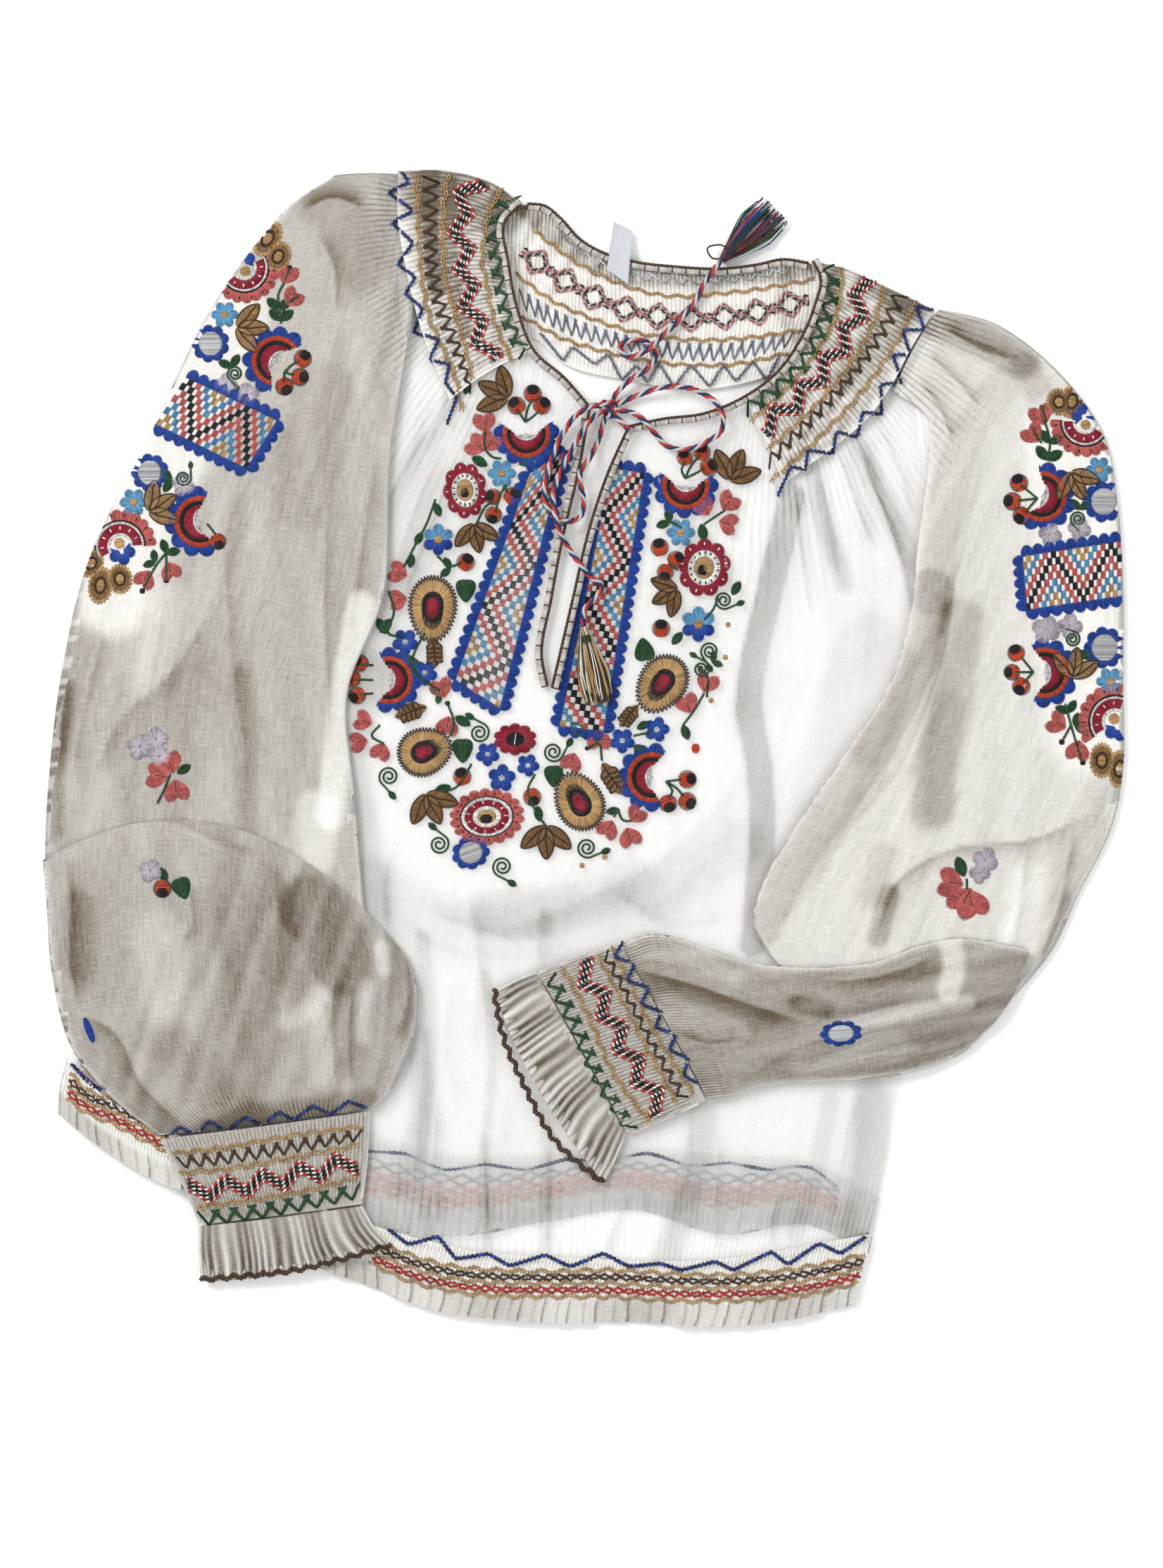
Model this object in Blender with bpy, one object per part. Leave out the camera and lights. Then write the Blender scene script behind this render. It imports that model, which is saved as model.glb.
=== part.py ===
"""Embroidered peasant blouse of sheer cotton, laid flat with both forearms folded over the body.

X runs to the viewer's right, Y towards the neck and Z up, and the surface it lies on is z = 0.
Sizes and tables are in millimetres. Each piece is a wall that settles on what was laid before it,
so the order of the pieces below is the order in which the cloth lies.
"""
import math

import bmesh
import bpy
import numpy as np
from mathutils import Vector

MM = 0.001

# Driving dimensions
WALL = 1.0
SEAM = 0.3
SLEEVE_HOLLOW = 2.4
BALLOON_HOLLOW = 3.4
EDGE_HOLLOW = 0.5
PIPE = 1.1
WAVE = 2.2
BINDING_WIDTH = 4.0
BINDING_HEIGHT = 1.3
CORD_RADIUS = 1.7
KNOT_SIZE = (5.8, 5.8, 3.4)
TASSEL_HEAD = (8.0, 7.0, 4.6)
STRAND = 0.75
CORD_STEP = 8.2
BUTT = 0.8

# Counts
YOKE_PIPES = 18
HEM_WAVES = 36
CUFF_PIPES = 17
TASSEL_ACROSS = 7
TASSEL_HIGH = 3

# Edge curves, columns x, y
FRONT_TOP_LEFT = ((-96, 262), (-66, 262), (-42, 262), (-36, 238), (-27, 214), (-10, 200), (4, 184))
FRONT_TOP_RIGHT = ((24, 174), (42, 178), (65, 181), (85, 189), (103, 202), (116, 220), (124, 240),
                   (127, 252), (150, 246), (170, 240))
BODY_LEFT = ((-96, 262), (-100, 215), (-125, 170), (-190, 90), (-240, -14), (-278, -166))
BODY_RIGHT = ((170, 240), (178, 200), (187, 140), (190, 60), (190, -40), (180, -140), (165, -219),
              (155, -261))
FRONT_HEM_LEFT = ((-278, -166), (-258, -187), (-222, -206), (-182, -229), (-144, -246), (-105, -259),
                  (-53, -271), (-22, -273))
FRONT_HEM_RIGHT = ((-6, -274), (41, -276), (70, -275), (101, -271), (128, -266), (155, -261))
RUFFLE_BOTTOM = ((-283, -197), (-255, -218), (-225, -235), (-204, -241), (-144, -279), (-117, -289),
                 (-82, -302), (-35, -308.5), (37, -309.5), (65, -311.5), (95, -310), (146, -300))
HEM_LEFT = ((-282, -181), (-283, -197))
HEM_RIGHT = ((150, -283), (146, -300))
BACK_TOP = ((-96, 262), (-70, 288), (-34, 293), (-13, 286), (-2, 275), (12, 267), (39, 261),
            (76, 259), (93, 261), (118, 265), (145, 255), (170, 240))
BACK_LEFT = ((-96, 262), (-98, 215), (-120, 170), (-184, 90), (-234, -14), (-273, -158))
BACK_RIGHT = ((170, 240), (176, 200), (184, 140), (187, 60), (186, -40), (176, -140), (160, -242))
BACK_HEM = ((-273, -158), (-201, -189), (-117, -208), (-72, -219), (-19, -219), (27, -215),
            (76, -219), (122, -223), (160, -242))
BACK_RUFFLE = ((-273, -189), (-201, -234), (-117, -257), (-72, -263), (-19, -255), (27, -249),
               (76, -262), (122, -257), (154, -272))
NECK_LEFT = ((-33, 293), (-42, 283), (-40, 262), (-35, 236), (-26, 214), (-10, 200), (4, 184))
NECK_RIGHT = ((24, 174), (42, 178), (65, 181), (85, 189), (103, 202), (116, 220), (124, 239),
              (127, 253), (123, 262))
NECK_BACK = ((-30, 294), (-21, 293), (-12, 286), (-2, 275), (12, 267), (26, 263), (50, 260),
             (76, 259), (93, 261), (108, 264), (121, 262))

# Yoke corners follow the shoulder fold, the neck edge and the outer row of stitches
YOKE_BACK_EDGES = {
    "neck": ((-44, 291), (-30, 293), (-21, 292), (-12, 285), (-2, 274), (12, 266), (26, 262),
             (50, 259), (76, 258), (93, 260), (108, 263), (126, 261)),
    "stitches": ((-44, 228), (-25, 220), (-11, 208), (22, 199), (68, 194), (90, 198), (118, 208)),
    "left": ((-44, 291), (-45, 260), (-44, 228)),
    "right": ((126, 261), (127, 238), (118, 208)),
}
YOKE_LEFT_EDGES = {
    "inner": ((-33, 293), (-43, 281), (-41, 262), (-36, 238), (-28, 214)),
    "outer": ((-100, 311), (-100, 285), (-96, 260), (-91, 238), (-83, 213), (-72, 188)),
    "fold": ((-33, 293), (-50, 305), (-72, 311), (-100, 311)),
    "front": ((-28, 214), (-42, 208), (-56, 200), (-72, 188)),
}
YOKE_RIGHT_EDGES = {
    "inner": ((124, 262), (127, 253), (124, 239), (116, 220), (103, 202), (88, 190)),
    "outer": ((189, 236), (176, 215), (166, 196), (152, 177), (134, 162), (108, 143)),
    "fold": ((124, 262), (139, 259), (160, 250), (189, 236)),
    "front": ((88, 190), (93, 174), (101, 158), (108, 143)),
}

# Slit: share of the front's height, left edge x, y, right edge x, y; it closes at a third
SLIT = (
    (0.00, 4, 184, 24, 174),
    (0.08, -3, 146, 12, 147),
    (0.15, -10, 117, 3, 120),
    (0.22, -17, 80, -6, 82),
    (0.28, -22, 49, -13, 52),
    (1 / 3, -19, 34, -17.5, 33),
    (0.45, -19, -15, -11, -15),
    (0.70, -20, -130, -6, -130),
    (1.00, -22, -273, -6, -274),
)
SLIT_ROWS = 5

# Sleeve sections, columns left x, y, middle x, y, right x, y, from the shoulder to the hand
SLEEVE_LEFT = (
    (-134, 309, -114, 310, -90, 309), (-163, 288, -126, 290, -90, 286), (-201, 237, -148, 238, -92, 235),
    (-234, 169, -170, 166, -104, 158), (-266, 104, -188, 96, -107, 85), (-281, 43, -204, 38, -127, 30),
    (-288, -14, -206, -18, -123, -25), (-290, -60, -204, -74, -118, -86), (-286, -92, -200, -104, -112, -116))
SLEEVE_RIGHT = (
    (167, 192, 178, 216, 192, 237), (184, 180, 203, 206, 224, 228), (186, 165, 222, 188, 256, 203),
    (184, 140, 234, 158, 280, 170), (180, 112, 236, 124, 288, 132), (176, 74, 233, 80, 291, 85),
    (165, 36, 228, 36, 291, 36), (141, -2, 216, -6, 291, -10), (116, -39, 199, -44, 284, -44),
    (97, -71, 181, -78, 267, -78), (92, -98, 168, -108, 253, -108), (112, -126, 172, -138, 232, -134))
FORE_LEFT = (
    (-291, -60, -190, -42, -95, -112), (-289, -82, -190, -74, -89, -132), (-286, -122, -190, -120, -92, -158),
    (-276, -160, -186, -160, -101, -180), (-254, -188, -180, -188, -110, -191),
    (-229, -208, -172, -202, -115, -194))
FORE_RIGHT = (
    (240, -108, 234, -128, 220, -149), (205, -102, 204, -134, 204, -164), (180, -106, 181, -140, 182, -173),
    (150, -116, 150, -146, 150, -178), (96, -116, 99, -148, 101, -181), (43, -100, 60, -146, 80, -187),
    (20, -105, 44, -146, 67, -189))
CUFF_LEFT = (
    (-228, -210, -172, -203, -115, -195), (-216, -234, -168, -225, -116, -220),
    (-207, -256, -163, -251, -119, -245))
CUFF_RIGHT = (
    (19, -105, 44, -147, 66, -190), (-4, -112, 22, -152, 44, -200), (-25, -120, -2, -160, 24, -208))
RUFFLE_LEFT = (
    (-207, -257, -163, -252, -119, -246), (-207, -273, -160, -268, -112, -258),
    (-206, -287, -157, -282, -103, -268))
RUFFLE_RIGHT = (
    (-26, -120, -3, -160, 23, -208), (-38, -125, -16, -170, 17, -222), (-48, -130, -26, -180, 11, -234))

# Folds: height, half width, route x, y
BACK_FOLDS = (
    (1.2, 14, ((20, 190), (10, 120), (16, 40))),
    (1.2, 14, ((90, 190), (96, 120), (84, 30))),
    (1.4, 16, ((-180, 20), (-196, -60), (-210, -150))),
)
FRONT_FOLDS = (
    (2.4, 9, ((108, 134), (98, 70), (92, 1), (103, -52), (99, -105))),
    (2.0, 10, ((-53, 172), (-87, 100), (-121, 39))),
    (1.6, 9, ((-36, 196), (-60, 150), (-84, 60), (-100, -20))),
    (1.8, 10, ((60, 170), (66, 110), (60, 30))),
    (2.2, 11, ((148, 154), (160, 110), (172, 66), (170, -20))),
    (1.8, 12, ((-80, -90), (-84, -160), (-92, -240))),
    (1.6, 12, ((10, -90), (16, -170), (12, -250))),
    (1.8, 12, ((110, -150), (118, -200), (124, -250))),
    (1.6, 12, ((60, -120), (66, -190), (58, -255))),
    (1.6, 12, ((-34, -60), (-40, -150), (-46, -240))),
)
LEFT_FOLDS = (
    (3.4, 14, ((-129, 279), (-132, 191), (-150, 142), (-166, 81), (-165, 24), (-167, -14))),
    (2.2, 12, ((-190, 225), (-214, 140), (-244, 60), (-258, -20))),
    (1.8, 12, ((-118, 250), (-112, 170), (-118, 100))),
)
RIGHT_FOLDS = (
    (3.6, 11, ((225, 199), (204, 146), (190, 77), (168, 24), (141, -21), (113, -63), (100, -100))),
    (2.2, 12, ((262, 190), (250, 110), (238, 20), (200, -60))),
    (2.0, 12, ((214, -40), (185, -56), (150, -96))),
)
FORE_LEFT_FOLDS = (
    (3.0, 16, ((-270, -64), (-190, -72), (-120, -112))),
    (2.4, 10, ((-167, -80), (-163, -122), (-162, -184))),
    (2.2, 10, ((-134, -100), (-131, -147), (-131, -189))),
    (2.2, 10, ((-226, -90), (-214, -150), (-206, -196))),
)
FORE_RIGHT_FOLDS = (
    (2.6, 8, ((214, -122), (150, -130), (90, -136), (40, -124))),
    (2.2, 8, ((200, -146), (140, -158), (90, -166), (62, -168))),
)

# Drawstring routes, columns x, y; each run starts and ends at the knot, a slit corner or a tassel
KNOT = (13.5, 183.5)
CORDS = {
    "cord_right_run": ((18.0, 178.1), (21.0, 174.9), (24.5, 171.5)),
    "cord_right_loop": ((19.3, 186.3), (31, 191), (47, 195), (60, 193), (70, 187), (75, 179), (74, 171),
                        (66, 165), (55, 161), (45, 163), (38, 170), (32, 177), (26, 181), (19.8, 182.2)),
    "cord_left_loop": ((7.2, 184.4), (-3, 180), (-12, 168), (-18.5, 151), (-21, 136), (-17, 126),
                       (-8, 122), (-1, 126), (0, 136), (-2.5, 146), (3, 156), (8, 166), (11.2, 177.5)),
    "cord_lower_tail": ((8.0, 180.3), (1, 173), (-6, 161), (-12.5, 149), (-16, 137), (-15, 124),
                        (-11, 113), (-4, 102), (4, 92), (10, 87), (7, 82), (1, 76), (-0.3, 71),
                        (-0.2, 66.3)),
    "cord_upper_tail": ((16.3, 189.3), (22, 196), (30, 202), (37, 207), (39, 213), (35, 218), (27, 220),
                        (20, 218), (19, 213), (26, 211), (34, 214), (42, 222), (51, 230), (59, 239),
                        (65, 250), (70, 257.5), (73.7, 262.2)),
}

# Tassels: head x, y, end x, y, spread of the strand ends
TASSELS = {
    "tassel_upper": (74.5, 263.0, 104.0, 291.0, 21.0),
    "tassel_lower": (0.0, 65.5, 8.5, 24.0, 15.0),
}
LABEL_EDGES = {
    "foot": ((12.5, 258), (24, 250)),
    "tip": ((16.5, 284), (26.5, 279)),
    "left": ((12.5, 258), (16.5, 284)),
    "right": ((24, 250), (26.5, 279)),
}

CLOTH = (0.86, 0.85, 0.82)
SLEEVE_CLOTH = (0.80, 0.78, 0.74)
BINDING_THREAD = (0.24, 0.15, 0.08)
CORD_THREAD = (0.55, 0.12, 0.10)
TASSEL_THREAD = (0.16, 0.24, 0.17)
TAG_CLOTH = (0.90, 0.90, 0.92)


def curve(points, knots=None):
    """Smooth curve through points, read at 0..1 along its chords or its own knots."""
    nodes = np.array(points, float)
    if knots is None:
        steps = np.linalg.norm(np.diff(nodes, axis=0), axis=1)
        knots = np.concatenate(([0.0], np.cumsum(steps))) / steps.sum()
    knots = np.array(knots, float)
    slopes = np.gradient(nodes, knots, axis=0)

    def read(where):
        where = np.atleast_1d(np.asarray(where, float))
        left = np.clip(np.searchsorted(knots, where, side="right") - 1, 0, len(knots) - 2)
        width = (knots[left + 1] - knots[left])[:, None]
        t = ((where - knots[left]) / width[:, 0])[:, None]
        return (nodes[left] * (2 * t ** 3 - 3 * t ** 2 + 1) + nodes[left + 1] * (3 * t ** 2 - 2 * t ** 3)
                + slopes[left] * width * (t ** 3 - 2 * t ** 2 + t)
                + slopes[left + 1] * width * (t ** 3 - t ** 2))

    return read


def chords(points):
    """Straight runs through the points of a sheet's edge, read at 0..1."""
    spots = np.linspace(0, 1, len(points))

    def read(where):
        return np.stack([np.interp(where, spots, points[:, axis]) for axis in (0, 1)], axis=1)

    return read


def patch(top, bottom, left, right, columns, rows):
    """Points of a sheet between four edge curves, as rows x columns x 2."""
    u = np.linspace(0, 1, columns + 1)
    v = np.linspace(0, 1, rows + 1)
    top_points, bottom_points = top(u)[None], bottom(u)[None]
    left_points, right_points = left(v)[:, None], right(v)[:, None]
    u, v = u[None, :, None], v[:, None, None]
    corners = ((1 - u) * (1 - v) * top_points[:, :1] + u * (1 - v) * top_points[:, -1:]
               + (1 - u) * v * bottom_points[:, :1] + u * v * bottom_points[:, -1:])
    return (1 - v) * top_points + v * bottom_points + (1 - u) * left_points + u * right_points - corners


def ruled(sections, across, rows):
    """Points of the sections, each bowed through its middle, read at the shares across."""
    table = np.array(sections, float)
    spans = curve(table, np.linspace(0, 1, len(table)))(np.linspace(0, 1, rows + 1))[:, None]
    share = np.asarray(across)[None, :, None]
    return (spans[..., :2] * (1 - share) * (1 - 2 * share) + spans[..., 2:4] * 4 * share * (1 - share)
            + spans[..., 4:] * share * (2 * share - 1))


def ridges(points, folds):
    """Height of the soft folds at the points; each fold tapers to nothing at its ends."""
    height = np.zeros(points.shape[:-1])
    for tall, half_width, route in folds:
        along = np.linspace(0, 1, 40)
        line = curve(route)(along)
        gaps = np.linalg.norm(points[..., None, :] - line, axis=-1)
        nearest = gaps.argmin(axis=-1)
        taper = np.sin(math.pi * along[nearest]) ** 0.5
        height = np.maximum(height, tall * taper * np.exp(-(gaps.min(axis=-1) / half_width) ** 2))
    return height


class Pile:
    """Height of everything laid so far, on a square raster over the surface."""

    CELL = 2.0
    HALF = 340.0

    def __init__(self):
        size = int(2 * self.HALF / self.CELL)
        self.top = np.zeros((size, size))
        self.cords = np.zeros((size, size))

    def before(self):
        """Copy of the pile as it is now, for a piece that meets the next one edge to edge."""
        copy = Pile()
        copy.top = self.top.copy()
        return copy

    def cells(self, points):
        spots = np.rint((np.asarray(points) + self.HALF) / self.CELL).astype(int)
        return np.clip(spots[..., 1], 0, len(self.top) - 1), np.clip(spots[..., 0], 0, len(self.top) - 1)

    @staticmethod
    def spread(field, reach):
        for axis in (0, 1):
            field = np.max([np.roll(field, step, axis) for step in range(-reach, reach + 1)], axis=0)
        return field

    @staticmethod
    def soften(field, reach):
        for axis in (0, 1):
            field = np.mean([np.roll(field, step, axis) for step in range(-reach, reach + 1)], axis=0)
        return field

    def read(self, points, reach=1):
        """Highest point within reach cells of each of the points."""
        return self.spread(self.top, reach)[self.cells(points)]

    def fine(self, points, heights, hole, highest):
        """Closely spaced samples of the faces, with the higher or lower of both ways to halve a face."""
        steps = int(math.ceil(np.linalg.norm(np.diff(points, axis=0), axis=-1).max() / self.CELL)) + 1
        across = int(math.ceil(np.linalg.norm(np.diff(points, axis=1), axis=-1).max() / self.CELL)) + 1
        pick = np.maximum if highest else np.minimum
        whole = np.ones((points.shape[0] - 1, points.shape[1] - 1), bool)
        if hole is not None:
            whole[:hole[1], hole[0]] = False
        spots, levels, faces = [], [], []
        a, b, c, d = points[:-1, :-1], points[:-1, 1:], points[1:, :-1], points[1:, 1:]
        za, zb, zc, zd = heights[:-1, :-1], heights[:-1, 1:], heights[1:, :-1], heights[1:, 1:]
        for s in np.linspace(0, 1, steps + 1):
            for t in np.linspace(0, 1, across + 1):
                spot = (1 - s) * ((1 - t) * a + t * b) + s * ((1 - t) * c + t * d)
                if s + t <= 1:
                    one = za + t * (zb - za) + s * (zc - za)
                else:
                    one = zd + (1 - t) * (zc - zd) + (1 - s) * (zb - zd)
                if s >= t:
                    two = za + s * (zc - za) + t * (zd - zc)
                else:
                    two = za + t * (zb - za) + s * (zd - zb)
                spots.append(spot[whole])
                levels.append(pick(one, two)[whole])
                faces.append(np.argwhere(whole))
        return np.concatenate(spots), np.concatenate(levels), np.concatenate(faces)

    def settle(self, points, hole=None, blur=7):
        """Underside of a sheet that lies on the pile, clear of it by the seam gap."""
        bed = self.soften(self.spread(self.top, 4), blur)[self.cells(points)]
        low = bed + np.minimum(bed, SEAM)
        ground = self.spread(self.top, 1)
        for _ in range(80):
            spots, levels, faces = self.fine(points, low, hole, highest=False)
            under = ground[self.cells(spots)]
            short = np.where(under > 0, under + SEAM, 0.0) - levels
            lacking = short > 0.01
            if not lacking.any():
                break
            lift = np.zeros_like(low)
            for down, over in ((0, 0), (0, 1), (1, 0), (1, 1)):
                corner = (faces[lacking, 0] + down, faces[lacking, 1] + over)
                np.maximum.at(lift, corner, short[lacking])
            low = low + lift * 0.5
        return low

    def lay(self, points, heights, hole=None):
        """Raise the pile to a sheet's upper side."""
        spots, levels, _ = self.fine(points, heights, hole, highest=True)
        np.maximum.at(self.top, self.cells(spots), levels)


def cloth_material(name, colour):
    """Matt textile of one colour."""
    material = bpy.data.materials.new(name)
    material.use_nodes = True
    shader = material.node_tree.nodes["Principled BSDF"]
    shader.inputs["Base Color"].default_value = (*colour, 1.0)
    shader.inputs["Roughness"].default_value = 0.85
    return material


def finish(name, bm, colour, smooth=False):
    """Object with the mesh in metres, faces outwards and its own material."""
    bmesh.ops.recalc_face_normals(bm, faces=bm.faces)
    bmesh.ops.triangulate(bm, faces=bm.faces)
    mesh = bpy.data.meshes.new(name)
    bm.to_mesh(mesh)
    bm.free()
    if smooth:
        mesh.shade_smooth()
    mesh.materials.append(cloth_material(name, colour))
    thing = bpy.data.objects.new(name, mesh)
    bpy.context.scene.collection.objects.link(thing)
    return thing


def wall(name, points, low, high, colour, hole=None):
    """Closed wall between an underside and an upper side over the same points."""
    rows, columns = low.shape[0] - 1, low.shape[1] - 1
    bm = bmesh.new()
    mark = bm.verts.layers.int.new("place")
    bmesh.ops.create_grid(bm, x_segments=columns, y_segments=rows, size=0.5)
    for vert in bm.verts:
        column, row = round((vert.co.x + 0.5) * columns), round((vert.co.y + 0.5) * rows)
        vert[mark] = row * (columns + 1) + column
        vert.co = Vector((*points[row, column], low[row, column])) * MM
    if hole is not None:
        first = {row * (columns + 1) + hole[0] for row in range(hole[1])}
        gone = [face for face in bm.faces if min(vert[mark] for vert in face.verts) in first]
        bmesh.ops.delete(bm, geom=gone, context="FACES")
    raised = bmesh.ops.extrude_face_region(bm, geom=bm.faces[:])["geom"]
    for vert in (item for item in raised if isinstance(item, bmesh.types.BMVert)):
        row, column = divmod(vert[mark], columns + 1)
        vert.co.z = high[row, column] * MM
    return finish(name, bm, colour)


def tube(name, outer, inner, colour):
    """Open tube of cloth between outer and inner rings, each rows x points x 3."""
    rows, around = outer.shape[0] - 1, outer.shape[1]
    bm = bmesh.new()
    mark = bm.verts.layers.int.new("place")
    for shift, skin in enumerate((outer, inner)):
        grid = bmesh.ops.create_grid(bm, x_segments=around, y_segments=rows, size=0.5)
        for vert in grid["verts"]:
            column, row = round((vert.co.x + 0.5) * around) % around, round((vert.co.y + 0.5) * rows)
            vert[mark] = (shift * (rows + 1) + row) * around + column
            vert.co = Vector(skin[row, column]) * MM
    bmesh.ops.remove_doubles(bm, verts=bm.verts, dist=1e-7)
    found = {vert[mark]: vert for vert in bm.verts}
    for row in (0, rows):
        rim, lining = row * around, (rows + 1 + row) * around
        for column in range(around):
            after = (column + 1) % around
            bm.faces.new([found[rim + column], found[rim + after], found[lining + after],
                          found[lining + column]])
    return finish(name, bm, colour)


def parity(columns, rows, height, shifted, seed):
    """Alternate high and low points across a sheet, shifted from row to row where it is smocked."""
    column, row = np.meshgrid(np.arange(columns + 1), np.arange(rows + 1))
    step = column + row if shifted else column
    uneven = 0.8 + 0.2 * np.sin(1.9 * column + seed)
    return height * uneven * (step % 2)


def lay_wall(pile, name, points, relief, colour, hole=None, thick=WALL, bed=None):
    """Settle a sheet, raise its upper points by the relief and add it to the pile."""
    low = (bed or pile).settle(points, hole)
    high = low + thick + relief
    piece = wall(name, points, low, high, colour, hole)
    pile.lay(points, high, hole)
    return piece


def lay_tube(pile, name, sections, rows, top, base, relief, hollow, colour, bed=None):
    """Settle a flattened tube: lower wall, thin hollow, upper wall raised by the relief."""
    across, under = np.linspace(0, 1, top + 1), np.linspace(0, 1, base + 1)
    top_points, base_points = ruled(sections, across, rows), ruled(sections, under, rows)
    low = (bed or pile).settle(base_points)
    wide = np.linalg.norm(top_points[:, -1] - top_points[:, 0], axis=-1).min()
    inset = WALL / wide
    inner_across = inset + (1 - 2 * inset) * across
    inner_under = inset + (1 - 2 * inset) * under
    floor = np.array([np.interp(inner_across, under, row) for row in low]) + WALL
    room = EDGE_HOLLOW + (hollow - EDGE_HOLLOW) * np.sin(math.pi * across) ** 0.6
    roof = floor + room
    high = roof + WALL + relief(top_points)
    lower_inner = np.array([np.interp(inner_under, under, row) for row in low]) + WALL

    def ring(upper_share, upper, lower_share, lower):
        return np.concatenate((
            np.dstack((ruled(sections, upper_share, rows), upper)),
            np.dstack((ruled(sections, lower_share, rows), lower))[:, ::-1]), axis=1)

    outer = ring(across, high, under, low)
    inner = ring(inner_across, roof, inner_under, lower_inner)
    piece = tube(name, outer, inner, colour)
    pile.lay(top_points, high)
    return piece


def lay_strip(pile, name, route, width, side, segments, colour, thick=BINDING_HEIGHT):
    """Narrow strip along a route, on the given side of it."""
    centre = curve(route)(np.linspace(0.01, 0.99, segments + 1))
    heading = np.gradient(centre, axis=0)
    normal = np.stack((-heading[:, 1], heading[:, 0]), axis=1)
    normal /= np.linalg.norm(normal, axis=1)[:, None]
    middle = centre + normal * side * width / 2
    points = np.stack((middle - normal * width / 2, middle + normal * width / 2))
    return lay_wall(pile, name, points, 0.0, colour, thick=thick)


def lay_cord(pile, name, route):
    """Round cord along a route, lying on the pile and rising softly over the cords it crosses."""
    way = curve(route)
    length = np.linalg.norm(np.diff(way(np.linspace(0, 1, 200)), axis=0), axis=1).sum()
    count = max(3, int(round(length / CORD_STEP)) + 1)
    plan = way(np.linspace(0, 1, count))
    spot = np.linspace(0, count - 1, 8 * (count - 1) + 1)
    fine = way(spot / (count - 1))
    lift = SEAM + CORD_RADIUS / math.cos(math.pi / 8)
    need = np.maximum(pile.read(fine), pile.cords[pile.cells(fine)]) + lift
    level = need[::8].copy()
    apart = np.linalg.norm(fine[:, None] - fine[None], axis=-1)
    later = spot[:, None] - spot[None] > 1.2
    over = later & (apart < CORD_RADIUS * 1.5)
    for _ in range(120):
        between = np.interp(spot, np.arange(count), level)
        crossed = np.where(over, between[None], 0.0).max(axis=1)
        short = np.maximum(need, np.where(crossed > 0, crossed + CORD_RADIUS + lift, 0.0)) - between
        if short.max() <= 0.01:
            break
        for index in range(count):
            near = np.abs(spot - index) < 1
            level[index] += max(0.0, short[near].max()) * 0.5
    shape = bpy.data.curves.new(name, "CURVE")
    shape.dimensions = "3D"
    shape.bevel_depth = CORD_RADIUS * MM
    shape.bevel_resolution = 2
    shape.use_fill_caps = True
    line = shape.splines.new("POLY")
    line.points.add(count - 1)
    for point, (x, y), z in zip(line.points, plan, level):
        point.co = (x * MM, y * MM, z * MM, 1.0)
    cord = bpy.data.objects.new(name, shape)
    shape.materials.append(cloth_material(name, CORD_THREAD))
    bpy.context.scene.collection.objects.link(cord)
    top = np.interp(spot, np.arange(count), level) + CORD_RADIUS
    for offset in ((0, 0), (1.2, 0), (-1.2, 0), (0, 1.2), (0, -1.2)):
        np.maximum.at(pile.cords, pile.cells(fine + np.array(offset)), top)
    return cord


def lay_knot(pile):
    """Overhand knot as one rounded lump."""
    x, y = KNOT
    span = np.array([(x + dx, y + dy) for dx in (-5, -2.5, 0, 2.5, 5) for dy in (-4, -2, 0, 2, 4)])
    z = pile.read(span, 1).max() + SEAM + KNOT_SIZE[2]
    bm = bmesh.new()
    bmesh.ops.create_icosphere(bm, subdivisions=2, radius=1.0)
    bmesh.ops.scale(bm, vec=Vector(KNOT_SIZE) * MM, verts=bm.verts)
    bmesh.ops.translate(bm, vec=Vector((x, y, z)) * MM, verts=bm.verts)
    return finish("knot", bm, CORD_THREAD, smooth=True)


def grow(bm, face, stops, slender):
    """Extrude one face through the stops, each a centre in metres, as one thin strand."""
    for stop in stops:
        face = bmesh.ops.extrude_discrete_faces(bm, faces=[face])["faces"][0]
        centre = face.calc_center_median()
        for vert in face.verts:
            vert.co = stop + (vert.co - centre) * slender
        slender = 1.0


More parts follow.
